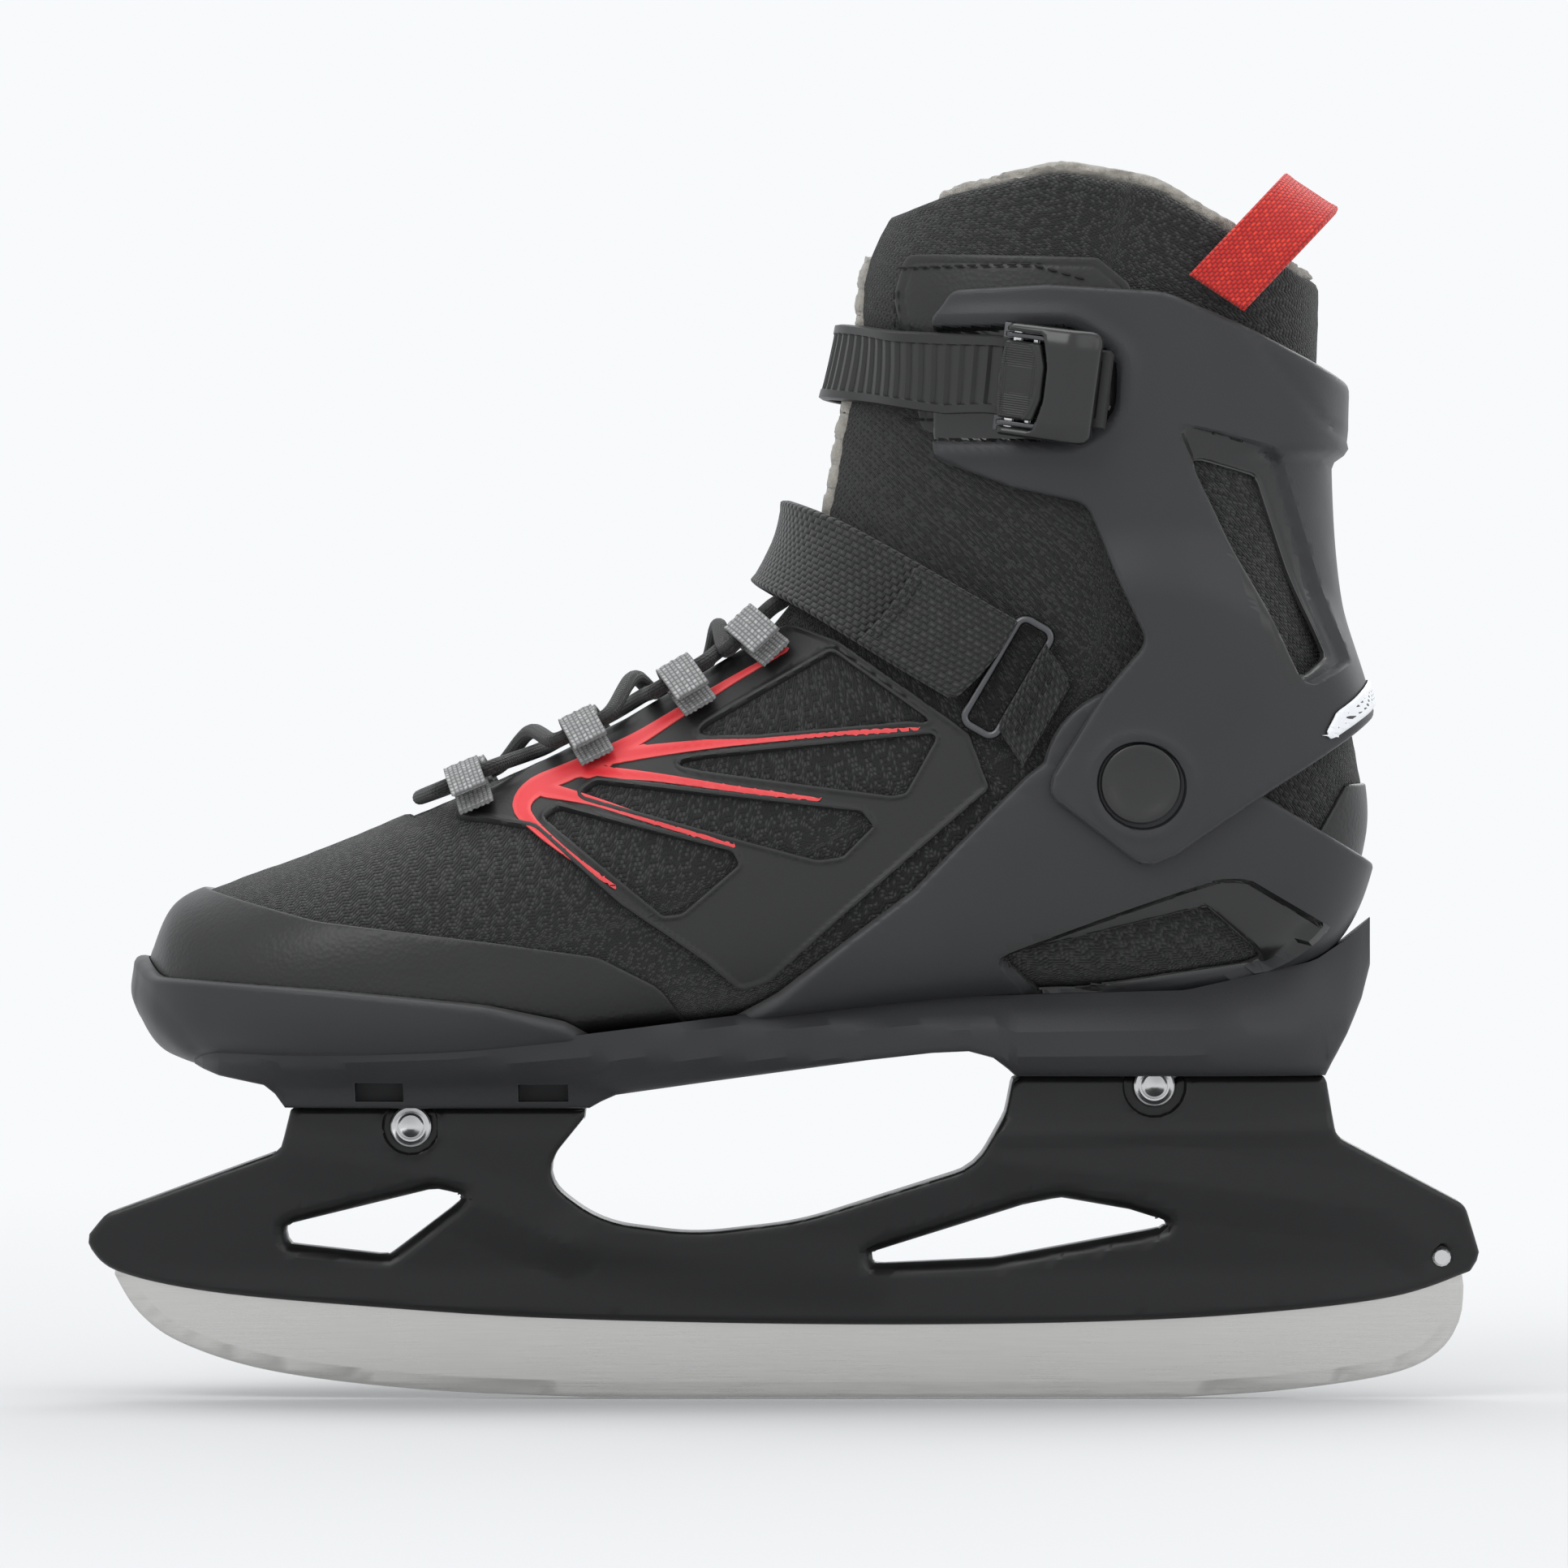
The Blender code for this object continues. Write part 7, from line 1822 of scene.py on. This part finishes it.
def ladder_strap():
    """The toothed plastic strap, with rails along its edges and ribs across it."""
    front_x = in_buckle(PLATE_FRONT - 0.011, 0.0, 0.0)[0]
    turns = np.linspace(turn_where(0.067, 1.0, LADDER_CENTRE, LADDER_LINE),
                        turn_where(front_x, -1.0, LADDER_CENTRE, LADDER_LINE), 90)
    points, normals = strap_grid(LADDER_CENTRE, LADDER_LINE, LADDER_WIDTH, turns, ladder_out, 5)
    rows, ups = list(points), list(normals)
    lift = BUCKLE_PLATE + GAP
    normal = np.array(BUCKLE_AXES.to_3x3() @ Vector((0.0, 0.0, 1.0)))
    flip = np.array(BUCKLE_AXES.to_3x3() @ Vector((0.0, 1.0, 0.0))) @ (rows[0][-1] - rows[0][0]) > 0
    for x in (PLATE_FRONT - 0.002, PLATE_FRONT + 0.004, 0.0, PLATE_REAR, PLATE_REAR + 0.006):
        ks = np.linspace(-0.5, 0.5, 5) if flip else np.linspace(0.5, -0.5, 5)
        rows.append(np.array([in_buckle(x, LADDER_WIDTH * k, lift) for k in ks]))
        ups.append(np.array([normal] * 5))
    fine = np.stack([even_path(np.array(smooth_run([tuple(r[j]) for r in rows], 3)), 240)[0]
                     for j in range(5)], 1)
    middle = np.array([r[2] for r in rows])
    run = np.concatenate([[0], np.cumsum(np.linalg.norm(np.diff(middle, axis=0), axis=1))])
    at = np.linspace(0, run[-1], 240)
    fine_ups = np.stack([np.stack([np.interp(at, run, [u[j][k] for u in ups]) for k in range(3)], 1)
                         for j in range(5)], 1)

    def relief(uv, value, length):
        rail = ease((0.0026 + value) / 0.0003)
        wave = (uv[:, 0] / RIB_PITCH) % 1.0
        tooth = np.where(wave < 0.7, wave / 0.7, (1 - wave) / 0.3)
        toothed = ease((uv[:, 0] - length * 0.42) / 0.004)
        return -0.0009 * (1 - rail) * (1 - 0.9 * tooth * toothed)

    strap = webbing("ladder_moulding", fine, fine_ups, LADDER_WIDTH, LADDER_THICKNESS, step=0.0009,
                    relief=relief, corner=0.0004, angle=32.0, least=0.5,
                    levels=(0.0, -0.0004, -0.0023, -0.0026))
    dress(strap, "ladder", "cuff", "ladder_strap", slot="shell_plastic")


def plate_piece(name, corners, low, high, bevel=0.0003):
    """A plate in the buckle's frame: an outline in its x and z between two y levels, its edges rounded."""
    points = [(x, y, z) for y in (low, high) for x, z in corners]
    count = len(corners)
    faces = [list(range(count))[::-1], [count + i for i in range(count)]]
    faces += [(i, (i + 1) % count, count + (i + 1) % count, count + i) for i in range(count)]
    piece = new_piece(name, points, faces)
    if bevel:
        soften(piece, bevel)
    return piece


def soften(piece, width, segments=2, angle=25.0):
    bpy.ops.object.select_all(action="DESELECT")
    bpy.context.view_layer.objects.active = piece
    piece.select_set(True)
    modifier = piece.modifiers.new("soft edges", "BEVEL")
    modifier.width = width
    modifier.segments = segments
    modifier.limit_method = "ANGLE"
    modifier.angle_limit = math.radians(angle)
    bpy.ops.object.modifier_apply(modifier=modifier.name)
    piece.data.shade_smooth()
    piece.data.set_sharp_from_angle(angle=math.radians(35))


def into_place(piece, material, body, *replaced, slot=None):
    piece.data.transform(BUCKLE_AXES)
    return dress(piece, material, body, *replaced, slot=slot)


def round_bar(name, x, z, radius, half):
    """A pin along the buckle's y axis, its ends chamfered."""
    profile = [(0.0, half), (radius * 0.75, half), (radius, half - radius * 0.25),
               (radius, -half + radius * 0.25), (radius * 0.75, -half), (0.0, -half)]
    return turned_piece(name, profile, (x, 0.0, z), (0.0, 1.0, 0.0), 28)


def buckle():
    """Base plate with two cheeks, the lever and the ridged thumb trigger."""
    cheek_inside, cheek_wall, top = LADDER_WIDTH / 2 + 0.0006, 0.0012, 0.0088
    plate = [(PLATE_FRONT, 0.0), (PLATE_REAR, 0.0), (PLATE_REAR, BUCKLE_PLATE), (PLATE_FRONT, BUCKLE_PLATE)]
    base = plate_piece("buckle_plate", plate, -BUCKLE_WIDTH / 2, BUCKLE_WIDTH / 2, 0.0002)
    into_place(base, "dark_steel", "cuff", "buckle_base", slot="stainless_steel")
    cheek = [(-0.0072, 0.0002), (-0.0072, 0.0066), (-0.0066, 0.0076), (-0.0058, 0.0080), (0.0020, 0.0082),
             (0.0042, 0.0076), (0.0060, 0.0060), (0.0100, 0.0002)]
    for label, sign in (("low", -1.0), ("high", 1.0)):
        low, high = sorted((sign * cheek_inside, sign * (cheek_inside + cheek_wall)))
        into_place(plate_piece("buckle_cheek_" + label, cheek, low, high), "dark_steel", "cuff",
                   slot="stainless_steel")
    skirt_inside = cheek_inside + cheek_wall + GAP
    skirt_outside = skirt_inside + 0.0011
    pad_line = np.array(rounded([(-6.4, -9.4, 1.0), (2.4, -9.4, 1.0), (4.0, -4.0, 4), (4.0, 4.0, 4),
                                 (2.4, 9.4, 1.0), (-6.4, 9.4, 1.0), (-7.2, 0.0, 20)]))
    cover_line = np.array(rounded([(-6.0, -13.6, 0.8), (16.4, -13.8, 3.0), (16.8, 13.8, 3.0),
                                   (-6.0, 13.6, 0.8)]))
    apart = np.array(rounded([(-20.0, -11.25), (2.4, -11.25, 1.0), (4.1, -4.0, 4), (4.1, 4.0, 4),
                              (2.4, 11.25, 1.0), (-20.0, 11.25)]))

    def cover_trim(uv):
        return np.maximum(signed(uv, cover_line), 0.00045 - signed(uv, apart))

    def cover_height(uv, value):
        fall = 0.0034 * ease((uv[:, 0] - 0.0088) / 0.0088)
        fall = fall + 0.0014 * ease((np.abs(uv[:, 1]) - 0.0090) / 0.006)
        return top + 0.0021 - fall - 0.0011 * (1 - bow(-value / 0.0013))

    def cover_top(uv, value):
        return np.stack([uv[:, 0], uv[:, 1], cover_height(uv, value)], 1)

    def cover_low(uv, value):
        return np.stack([uv[:, 0], uv[:, 1], cover_height(uv, np.full(len(uv), -1.0)) - 0.0024], 1)

    lever = trimmed("lever_cover", steps(-0.008, 0.0176, 0.0008), steps(-0.0145, 0.0145, 0.0008), cover_trim,
                    cover_top, cover_low, levels=(0.0, -0.0002, -0.0006, -0.0013), angle=30.0)
    into_place(lever, "button", "lever", "buckle_lever", slot="holder_plastic")
    skirt = [(-0.0066, 0.0040), (-0.0070, 0.0060), (-0.0066, 0.0078), (0.0050, top), (0.0130, top - 0.0006),
             (0.0148, top - 0.0026), (0.0040, 0.0034)]
    for label, sign in (("low", -1.0), ("high", 1.0)):
        low, high = sorted((sign * skirt_inside, sign * skirt_outside))
        into_place(plate_piece("lever_arm_" + label, skirt, low, high), "small_plastic", "lever",
                   slot="holder_plastic")

    def pad_top(uv, value):
        lens = np.hypot(uv[:, 0] + 0.0140, uv[:, 1]) - 0.0170
        dome = 0.0012 * (1 - (uv[:, 1] / 0.0135) ** 2)
        knurl = 0.00016 * np.cos((uv[:, 0] + uv[:, 1]) * 2 * math.pi / 0.0011) * np.cos(
            (uv[:, 0] - uv[:, 1]) * 2 * math.pi / 0.0011) * ease((-lens - 0.0004) / 0.0003)
        rim = 0.0003 * np.exp(-(lens / 0.00035) ** 2)
        lift = dome + knurl + rim - 0.0008 * (1 - bow(-value / 0.0006))
        return np.stack([uv[:, 0], uv[:, 1], top + 0.0004 + lift], 1)

    def pad_low(uv, value):
        return np.stack([uv[:, 0], uv[:, 1], np.full(len(uv), top - 0.0003)], 1)

    pad = trimmed("trigger_pad", steps(-0.008, 0.005, 0.00028), steps(-0.0100, 0.0100, 0.00028),
                  lambda uv: signed(uv, pad_line), pad_top, pad_low, levels=(0.0, -0.0002, -0.0006, -0.0011),
                  angle=45.0)
    into_place(pad, "ladder", "trigger", "release_trigger", slot="shell_plastic")
    for label, (low, high) in (("low", (-0.0090, -0.0062)), ("high", (0.0062, 0.0090))):
        lug = [(-0.0010, top), (-0.0012, 0.0046), (0.0018, 0.0044), (0.0026, top)]
        into_place(plate_piece("trigger_lug_" + label, lug, low, high, 0.0002), "small_plastic", "trigger",
                   slot="shell_plastic")
    into_place(round_bar("lever_axle", -0.0040, 0.0058, 0.0014, skirt_outside + 0.0006), "chrome", "cuff",
               "lever_pin", slot="chromed_steel")
    into_place(round_bar("trigger_axle", 0.0006, 0.0062, 0.0009, cheek_inside + cheek_wall - 0.0001),
               "chrome", "cuff", "trigger_pin", slot="stainless_steel")


def strap_ring():
    """The wire ring at the strap's outer end, its corners bent round."""
    where, normal = side_frame(0.0545, 0.177, -1.0)
    along = np.array([STRAP_LINE[0], 0.0, STRAP_LINE[1]])
    along = along - normal * (along @ normal)
    along /= np.linalg.norm(along)
    across = np.cross(normal, along)
    centre = where + normal * 0.0034
    half_wide, half_long, corner = STRAP_WIDTH / 2 + 0.0022, 0.0045, 0.0024
    points = []
    for sx, sy, start in ((1, 1, 0), (-1, 1, 90), (-1, -1, 180), (1, -1, 270)):
        for bend in range(9):
            angle = math.radians(start + bend * 90 / 8)
            points.append(centre + along * (sx * (half_long - corner) + corner * math.cos(angle))
                          + across * (sy * (half_wide - corner) + corner * math.sin(angle)))
    ring = bar("strap_wire_ring", np.array(points), 0.0011, 14, closed=True)
    dress(ring, "dark_steel", "chassis", "strap_ring", slot="stainless_steel")


def rivet_heads():
    """Domed rivets that hold the instep strap and the ladder strap on the inner side."""
    for name, node, body in (("strap_rivet_head", "strap_rivet", "chassis"),
                             ("ladder_rivet_head", "ladder_rivet", "cuff")):
        low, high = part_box(node)
        x, z = (low.x + high.x) / 2, (low.z + high.z) / 2
        _, normal = side_frame(x, z, 1.0)
        middle = np.array([x, high.y, z]) - normal * 0.0012
        dome = [(0.0, 0.0014), (0.0011, 0.0013), (0.0013, 0.0011), (0.0024, 0.00105), (0.0034, 0.0006),
                (0.0039, 0.0), (0.0039, -0.0006), (0.0015, -0.0008), (0.0015, -0.0040), (0.0, -0.0040)]
        dress(turned_piece(name, dome, tuple(middle), tuple(normal), 36, 25.0), "chrome", body, node,
              slot="stainless_steel")


KEPT_NODES = {"blade_screw": "chrome", "buckle_rivet": "chrome", "trigger_spring": "chrome",
              "pivot_nut_outer": "chrome", "pivot_nut_inner": "chrome"}


def kept_nodes():
    """Gives the modelled nodes that stay as they are their finish."""
    for name, look in KEPT_NODES.items():
        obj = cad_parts[name]
        obj.data.materials.clear()
        obj.data.materials.append(LOOKS[look])


def side_run(line, lift, sign=-1.0):
    """Points and normals on the boot's side along a line given in side view, in millimetres."""
    line, _ = even_path(np.array([(x, 0.0, z) for x, z in line]) * MM, max(12, int(len(line) * 6)))
    found = [side_frame(x, z, sign) for x, _, z in line]
    return (np.array([p + n * lift for p, n in found]), np.array([n for _, n in found]))


PATCH_STITCHES = [[(28.6, 276.6), (60.0, 277.0), (76.0, 272.4)], [(29.6, 240.0), (46.0, 239.4)],
                  [(28.4, 242.0), (27.8, 274.0)]]


def patch_stitching():
    """Dashed seams along the ankle patches."""
    for label, sign in (("outer", -1.0), ("inner", 1.0)):
        made, faces = [], []
        for line in PATCH_STITCHES:
            points, normals = side_run(line, GAP + 0.0012, sign)
            run = np.concatenate([[0.0], np.cumsum(np.linalg.norm(np.diff(points, axis=0), axis=1))])
            for start in np.arange(0.0, run[-1] - 0.0026, 0.0034):
                ends = [np.array([np.interp(start + k, run, points[:, i]) for i in range(3)])
                        for k in (0.0, 0.0024)]
                up = np.array([np.interp(start, run, normals[:, i]) for i in range(3)])
                capsule(made, faces, ends[0], ends[1], up / np.linalg.norm(up), 0.0003)
        piece = new_piece("patch_stitches_" + label, made, faces, 60.0)
        keep_values(piece, "rim", np.full(len(made), NO_RIM))
        dress(piece, "thread", "cuff")


# ---------------------------------------------------------------- stage


BACKDROP = (0.939, 0.956, 0.973)


def stage_sweep():
    """A round floor disc; stage() gives it a finish that fades into the background's colour away from the
    skate.
    """
    bpy.ops.mesh.primitive_circle_add(vertices=96, radius=7.0, fill_type="TRIFAN",
                                      location=(0.0, 0.0, -0.0004))
    bpy.ops.object.transform_apply(location=True, rotation=True, scale=True)
    floor = bpy.context.object
    floor.name = "studio_floor"
    return floor


def stage():
    """Plain pale floor, soft lights and the camera at the side."""
    bpy.ops.object.select_all(action="DESELECT")
    floor = stage_sweep()
    made, tree, shader = new_material("Pale studio floor")
    tone = noise(tree, object_vector(tree), 0.6, 2.0)
    plain = colour_mix(tree, tone, (0.58, 0.585, 0.59, 1.0), (0.60, 0.605, 0.61, 1.0))
    fade = tree.nodes.new("ShaderNodeMapRange")
    fade.interpolation_type = "SMOOTHSTEP"
    fade.inputs["From Min"].default_value = 0.25
    fade.inputs["From Max"].default_value = 1.3
    length = tree.nodes.new("ShaderNodeVectorMath")
    length.operation = "LENGTH"
    tree.links.new(object_vector(tree), length.inputs[0])
    tree.links.new(length.outputs["Value"], fade.inputs["Value"])
    black, far = (0.0, 0.0, 0.0, 1.0), fade.outputs[0]
    tree.links.new(colour_mix(tree, far, plain, black), shader.inputs["Base Color"])
    tree.links.new(colour_mix(tree, far, black, (*BACKDROP, 1.0)), shader.inputs["Emission Color"])
    shader.inputs["Emission Strength"].default_value = 1.0
    shader.inputs["Specular IOR Level"].default_value = 0.0
    shader.inputs["Roughness"].default_value = 1.0
    floor.data.materials.append(made)
    world = bpy.data.worlds.new("Studio")
    bpy.context.scene.world = world
    world.use_nodes = True
    world.node_tree.nodes["Background"].inputs["Color"].default_value = (*BACKDROP, 1.0)
    world.node_tree.nodes["Background"].inputs["Strength"].default_value = 1.0
    for name, place, aim, size, power in (
            ("key_light", (-0.9, -1.5, 1.5), (0.0, 0.0, 0.15), (1.4, 1.0), 12.0),
            ("fill_light", (1.3, -1.3, 0.9), (0.0, 0.0, 0.15), (1.2, 1.2), 3.0),
            ("top_light", (0.1, 0.2, 1.9), (0.0, 0.0, 0.15), (1.8, 1.2), 14.0),
            ("rim_light", (0.7, 1.5, 1.0), (0.0, 0.0, 0.15), (1.2, 1.0), 9.0)):
        light = bpy.data.lights.new(name, "AREA")
        light.shape = "RECTANGLE"
        light.size, light.size_y = size
        light.energy = power
        lamp = bpy.data.objects.new(name, light)
        lamp.location = place
        lamp.rotation_euler = (Vector(aim) - Vector(place)).to_track_quat("-Z", "Y").to_euler()
        bpy.context.scene.collection.objects.link(lamp)
    lens = bpy.data.cameras.new("side_camera")
    lens.sensor_width = 36.0
    distance, seen_width, middle_height = 2.6, 0.3864, 0.151
    lens.lens = lens.sensor_width * distance / seen_width
    lens.clip_end = 50.0
    eye = bpy.data.objects.new("side_camera", lens)
    eye.location = (0.0, -distance, middle_height + 0.012)
    sight = Vector((0.0, 0.0, middle_height)) - eye.location
    eye.rotation_euler = sight.to_track_quat("-Z", "Y").to_euler()
    bpy.context.scene.collection.objects.link(eye)
    bpy.context.scene.camera = eye
    bpy.context.scene.view_settings.view_transform = "Standard"


# ---------------------------------------------------------------- add-on


class IceSkateSettings(bpy.types.PropertyGroup):
    """The sizes and colours a user would change."""

    shell_colour: bpy.props.FloatVectorProperty(
        name="Shell colour", description="Colour of the chassis, cuff and toe bumper",
        default=SHELL_COLOUR, size=3, min=0.0, max=1.0, subtype="COLOR")
    holder_colour: bpy.props.FloatVectorProperty(
        name="Holder colour", description="Colour of the blade holder",
        default=HOLDER_COLOUR, size=3, min=0.0, max=1.0, subtype="COLOR")
    pull_loop_colour: bpy.props.FloatVectorProperty(
        name="Pull loop colour", description="Colour of the webbing loop behind the opening",
        default=PULL_COLOUR, size=3, min=0.0, max=1.0, subtype="COLOR")
    lace_diameter: bpy.props.FloatProperty(
        name="Lace diameter", description="Diameter of the lace, as long as it clears its loops",
        default=2 * LACE_RADIUS, min=0.003, max=0.0042, unit="LENGTH", subtype="DISTANCE")
    strap_thickness: bpy.props.FloatProperty(
        name="Strap thickness", description="Thickness of the instep strap's webbing",
        default=STRAP_THICKNESS, min=0.0012, max=0.0026, unit="LENGTH", subtype="DISTANCE")


def settings():
    return bpy.context.scene.ice_skate


def repaint(look, colour):
    """Gives a moulded or woven finish another base colour."""
    for node in LOOKS[look].node_tree.nodes:
        if node.type == "GROUP":
            node.inputs["Base"].default_value = (*colour, 1.0)


def finishes():
    repaint("shell", settings().shell_colour)
    repaint("holder", settings().holder_colour)
    repaint("red_webbing", settings().pull_loop_colour)


class ICESKATE_OT_finishes(bpy.types.Operator):
    """Set the finishes to the chosen colours"""

    bl_idname = "ice_skate.finishes"
    bl_label = "Finishes"

    def execute(self, context):
        finishes()
        return {"FINISHED"}


class ICESKATE_OT_boot(bpy.types.Operator):
    """Build the knitted boot, its tongue and the insole"""

    bl_idname = "ice_skate.boot"
    bl_label = "Boot Fabric"

    def execute(self, context):
        boot_fabric()
        tongue_pad()
        insole_pad()
        return {"FINISHED"}


class ICESKATE_OT_fleece(bpy.types.Operator):
    """Build the fleece collar and the edging of the throat"""

    bl_idname = "ice_skate.fleece"
    bl_label = "Fleece"

    def execute(self, context):
        fleece_collar()
        fleece_edging()
        return {"FINISHED"}


class ICESKATE_OT_toe_leather(bpy.types.Operator):
    """Build the leather round the toe"""

    bl_idname = "ice_skate.toe_leather"
    bl_label = "Toe Leather"

    def execute(self, context):
        toe_rand_leather()
        return {"FINISHED"}


class ICESKATE_OT_overlays(bpy.types.Operator):
    """Build the bonded films on both sides and the coloured branches"""

    bl_idname = "ice_skate.overlays"
    bl_label = "Side Films"

    def execute(self, context):
        side_overlays()
        printed_branches()
        return {"FINISHED"}


class ICESKATE_OT_patches(bpy.types.Operator):
    """Build the ankle and heel patches with their stitching"""

    bl_idname = "ice_skate.patches"
    bl_label = "Patches"

    def execute(self, context):
        leather_patches()
        patch_stitching()
        return {"FINISHED"}


class ICESKATE_OT_chassis(bpy.types.Operator):
    """Build the chassis walls and the sole"""

    bl_idname = "ice_skate.chassis"
    bl_label = "Chassis"

    def execute(self, context):
        chassis_shell()
        chassis_sole()
        return {"FINISHED"}


class ICESKATE_OT_bumper(bpy.types.Operator):
    """Build the toe bumper"""

    bl_idname = "ice_skate.bumper"
    bl_label = "Toe Bumper"

    def execute(self, context):
        toe_bumper()
        return {"FINISHED"}


class ICESKATE_OT_cuff(bpy.types.Operator):
    """Build the hinged cuff and its reflective strip"""

    bl_idname = "ice_skate.cuff"
    bl_label = "Cuff"

    def execute(self, context):
        cuff_shell()
        reflective_strip()
        return {"FINISHED"}


class ICESKATE_OT_holder(bpy.types.Operator):
    """Build the blade holder"""

    bl_idname = "ice_skate.holder"
    bl_label = "Blade Holder"

    def execute(self, context):
        holder_moulding()
        return {"FINISHED"}


class ICESKATE_OT_runner(bpy.types.Operator):
    """Build the steel runner"""

    bl_idname = "ice_skate.runner"
    bl_label = "Runner"

    def execute(self, context):
        runner()
        return {"FINISHED"}


class ICESKATE_OT_fittings(bpy.types.Operator):
    """Build the bolts, sleeves, pivot buttons and rivets"""

    bl_idname = "ice_skate.fittings"
    bl_label = "Bolts and Pivots"

    def execute(self, context):
        fittings()
        rivet_heads()
        return {"FINISHED"}


class ICESKATE_OT_instep_strap(bpy.types.Operator):
    """Build the instep strap, its ring and the ring's anchor"""

    bl_idname = "ice_skate.instep_strap"
    bl_label = "Instep Strap"

    def execute(self, context):
        instep_strap()
        ring_anchor()
        strap_ring()
        return {"FINISHED"}


class ICESKATE_OT_laces(bpy.types.Operator):
    """Build the lace loops and the lace"""

    bl_idname = "ice_skate.laces"
    bl_label = "Laces"

    def execute(self, context):
        lace_loops()
        lace()
        return {"FINISHED"}


class ICESKATE_OT_pull_loop(bpy.types.Operator):
    """Build the webbing loop behind the opening"""

    bl_idname = "ice_skate.pull_loop"
    bl_label = "Pull Loop"

    def execute(self, context):
        pull_loop()
        return {"FINISHED"}


class ICESKATE_OT_ladder_strap(bpy.types.Operator):
    """Build the toothed strap"""

    bl_idname = "ice_skate.ladder_strap"
    bl_label = "Ladder Strap"

    def execute(self, context):
        ladder_strap()
        return {"FINISHED"}


class ICESKATE_OT_buckle(bpy.types.Operator):
    """Build the ratchet buckle with its lever and trigger"""

    bl_idname = "ice_skate.buckle"
    bl_label = "Buckle"

    def execute(self, context):
        buckle()
        return {"FINISHED"}


class ICESKATE_OT_small_parts(bpy.types.Operator):
    """Give the small turned parts their finish"""

    bl_idname = "ice_skate.small_parts"
    bl_label = "Small Parts"

    def execute(self, context):
        kept_nodes()
        return {"FINISHED"}


class ICESKATE_OT_stage(bpy.types.Operator):
    """Set up the floor, lights and camera"""

    bl_idname = "ice_skate.stage"
    bl_label = "Stage"

    def execute(self, context):
        stage()
        return {"FINISHED"}


OPERATORS = [ICESKATE_OT_finishes, ICESKATE_OT_boot, ICESKATE_OT_fleece, ICESKATE_OT_toe_leather,
             ICESKATE_OT_overlays, ICESKATE_OT_patches, ICESKATE_OT_chassis, ICESKATE_OT_bumper,
             ICESKATE_OT_cuff, ICESKATE_OT_holder, ICESKATE_OT_runner, ICESKATE_OT_fittings,
             ICESKATE_OT_instep_strap, ICESKATE_OT_laces, ICESKATE_OT_pull_loop, ICESKATE_OT_ladder_strap,
             ICESKATE_OT_buckle, ICESKATE_OT_small_parts, ICESKATE_OT_stage]


class ICESKATE_PT_panel(bpy.types.Panel):
    """Lists the skate's settings and its building steps"""

    bl_idname = "ICESKATE_PT_panel"
    bl_label = "Ice Skate"
    bl_space_type = "VIEW_3D"
    bl_region_type = "UI"
    bl_category = "Ice Skate"

    def draw(self, context):
        for name in IceSkateSettings.__annotations__:
            self.layout.prop(settings(), name)
        for step in OPERATORS:
            self.layout.operator(step.bl_idname)


CLASSES = [IceSkateSettings, *OPERATORS, ICESKATE_PT_panel]


def register():
    for cls in CLASSES:
        bpy.utils.register_class(cls)
    bpy.types.Scene.ice_skate = bpy.props.PointerProperty(type=IceSkateSettings)


def unregister():
    del bpy.types.Scene.ice_skate
    for cls in reversed(CLASSES):
        bpy.utils.unregister_class(cls)


def main():
    register()
    for step in OPERATORS:
        getattr(bpy.ops.ice_skate, step.bl_idname.split(".")[1])()


if __name__ == "__main__":
    main()
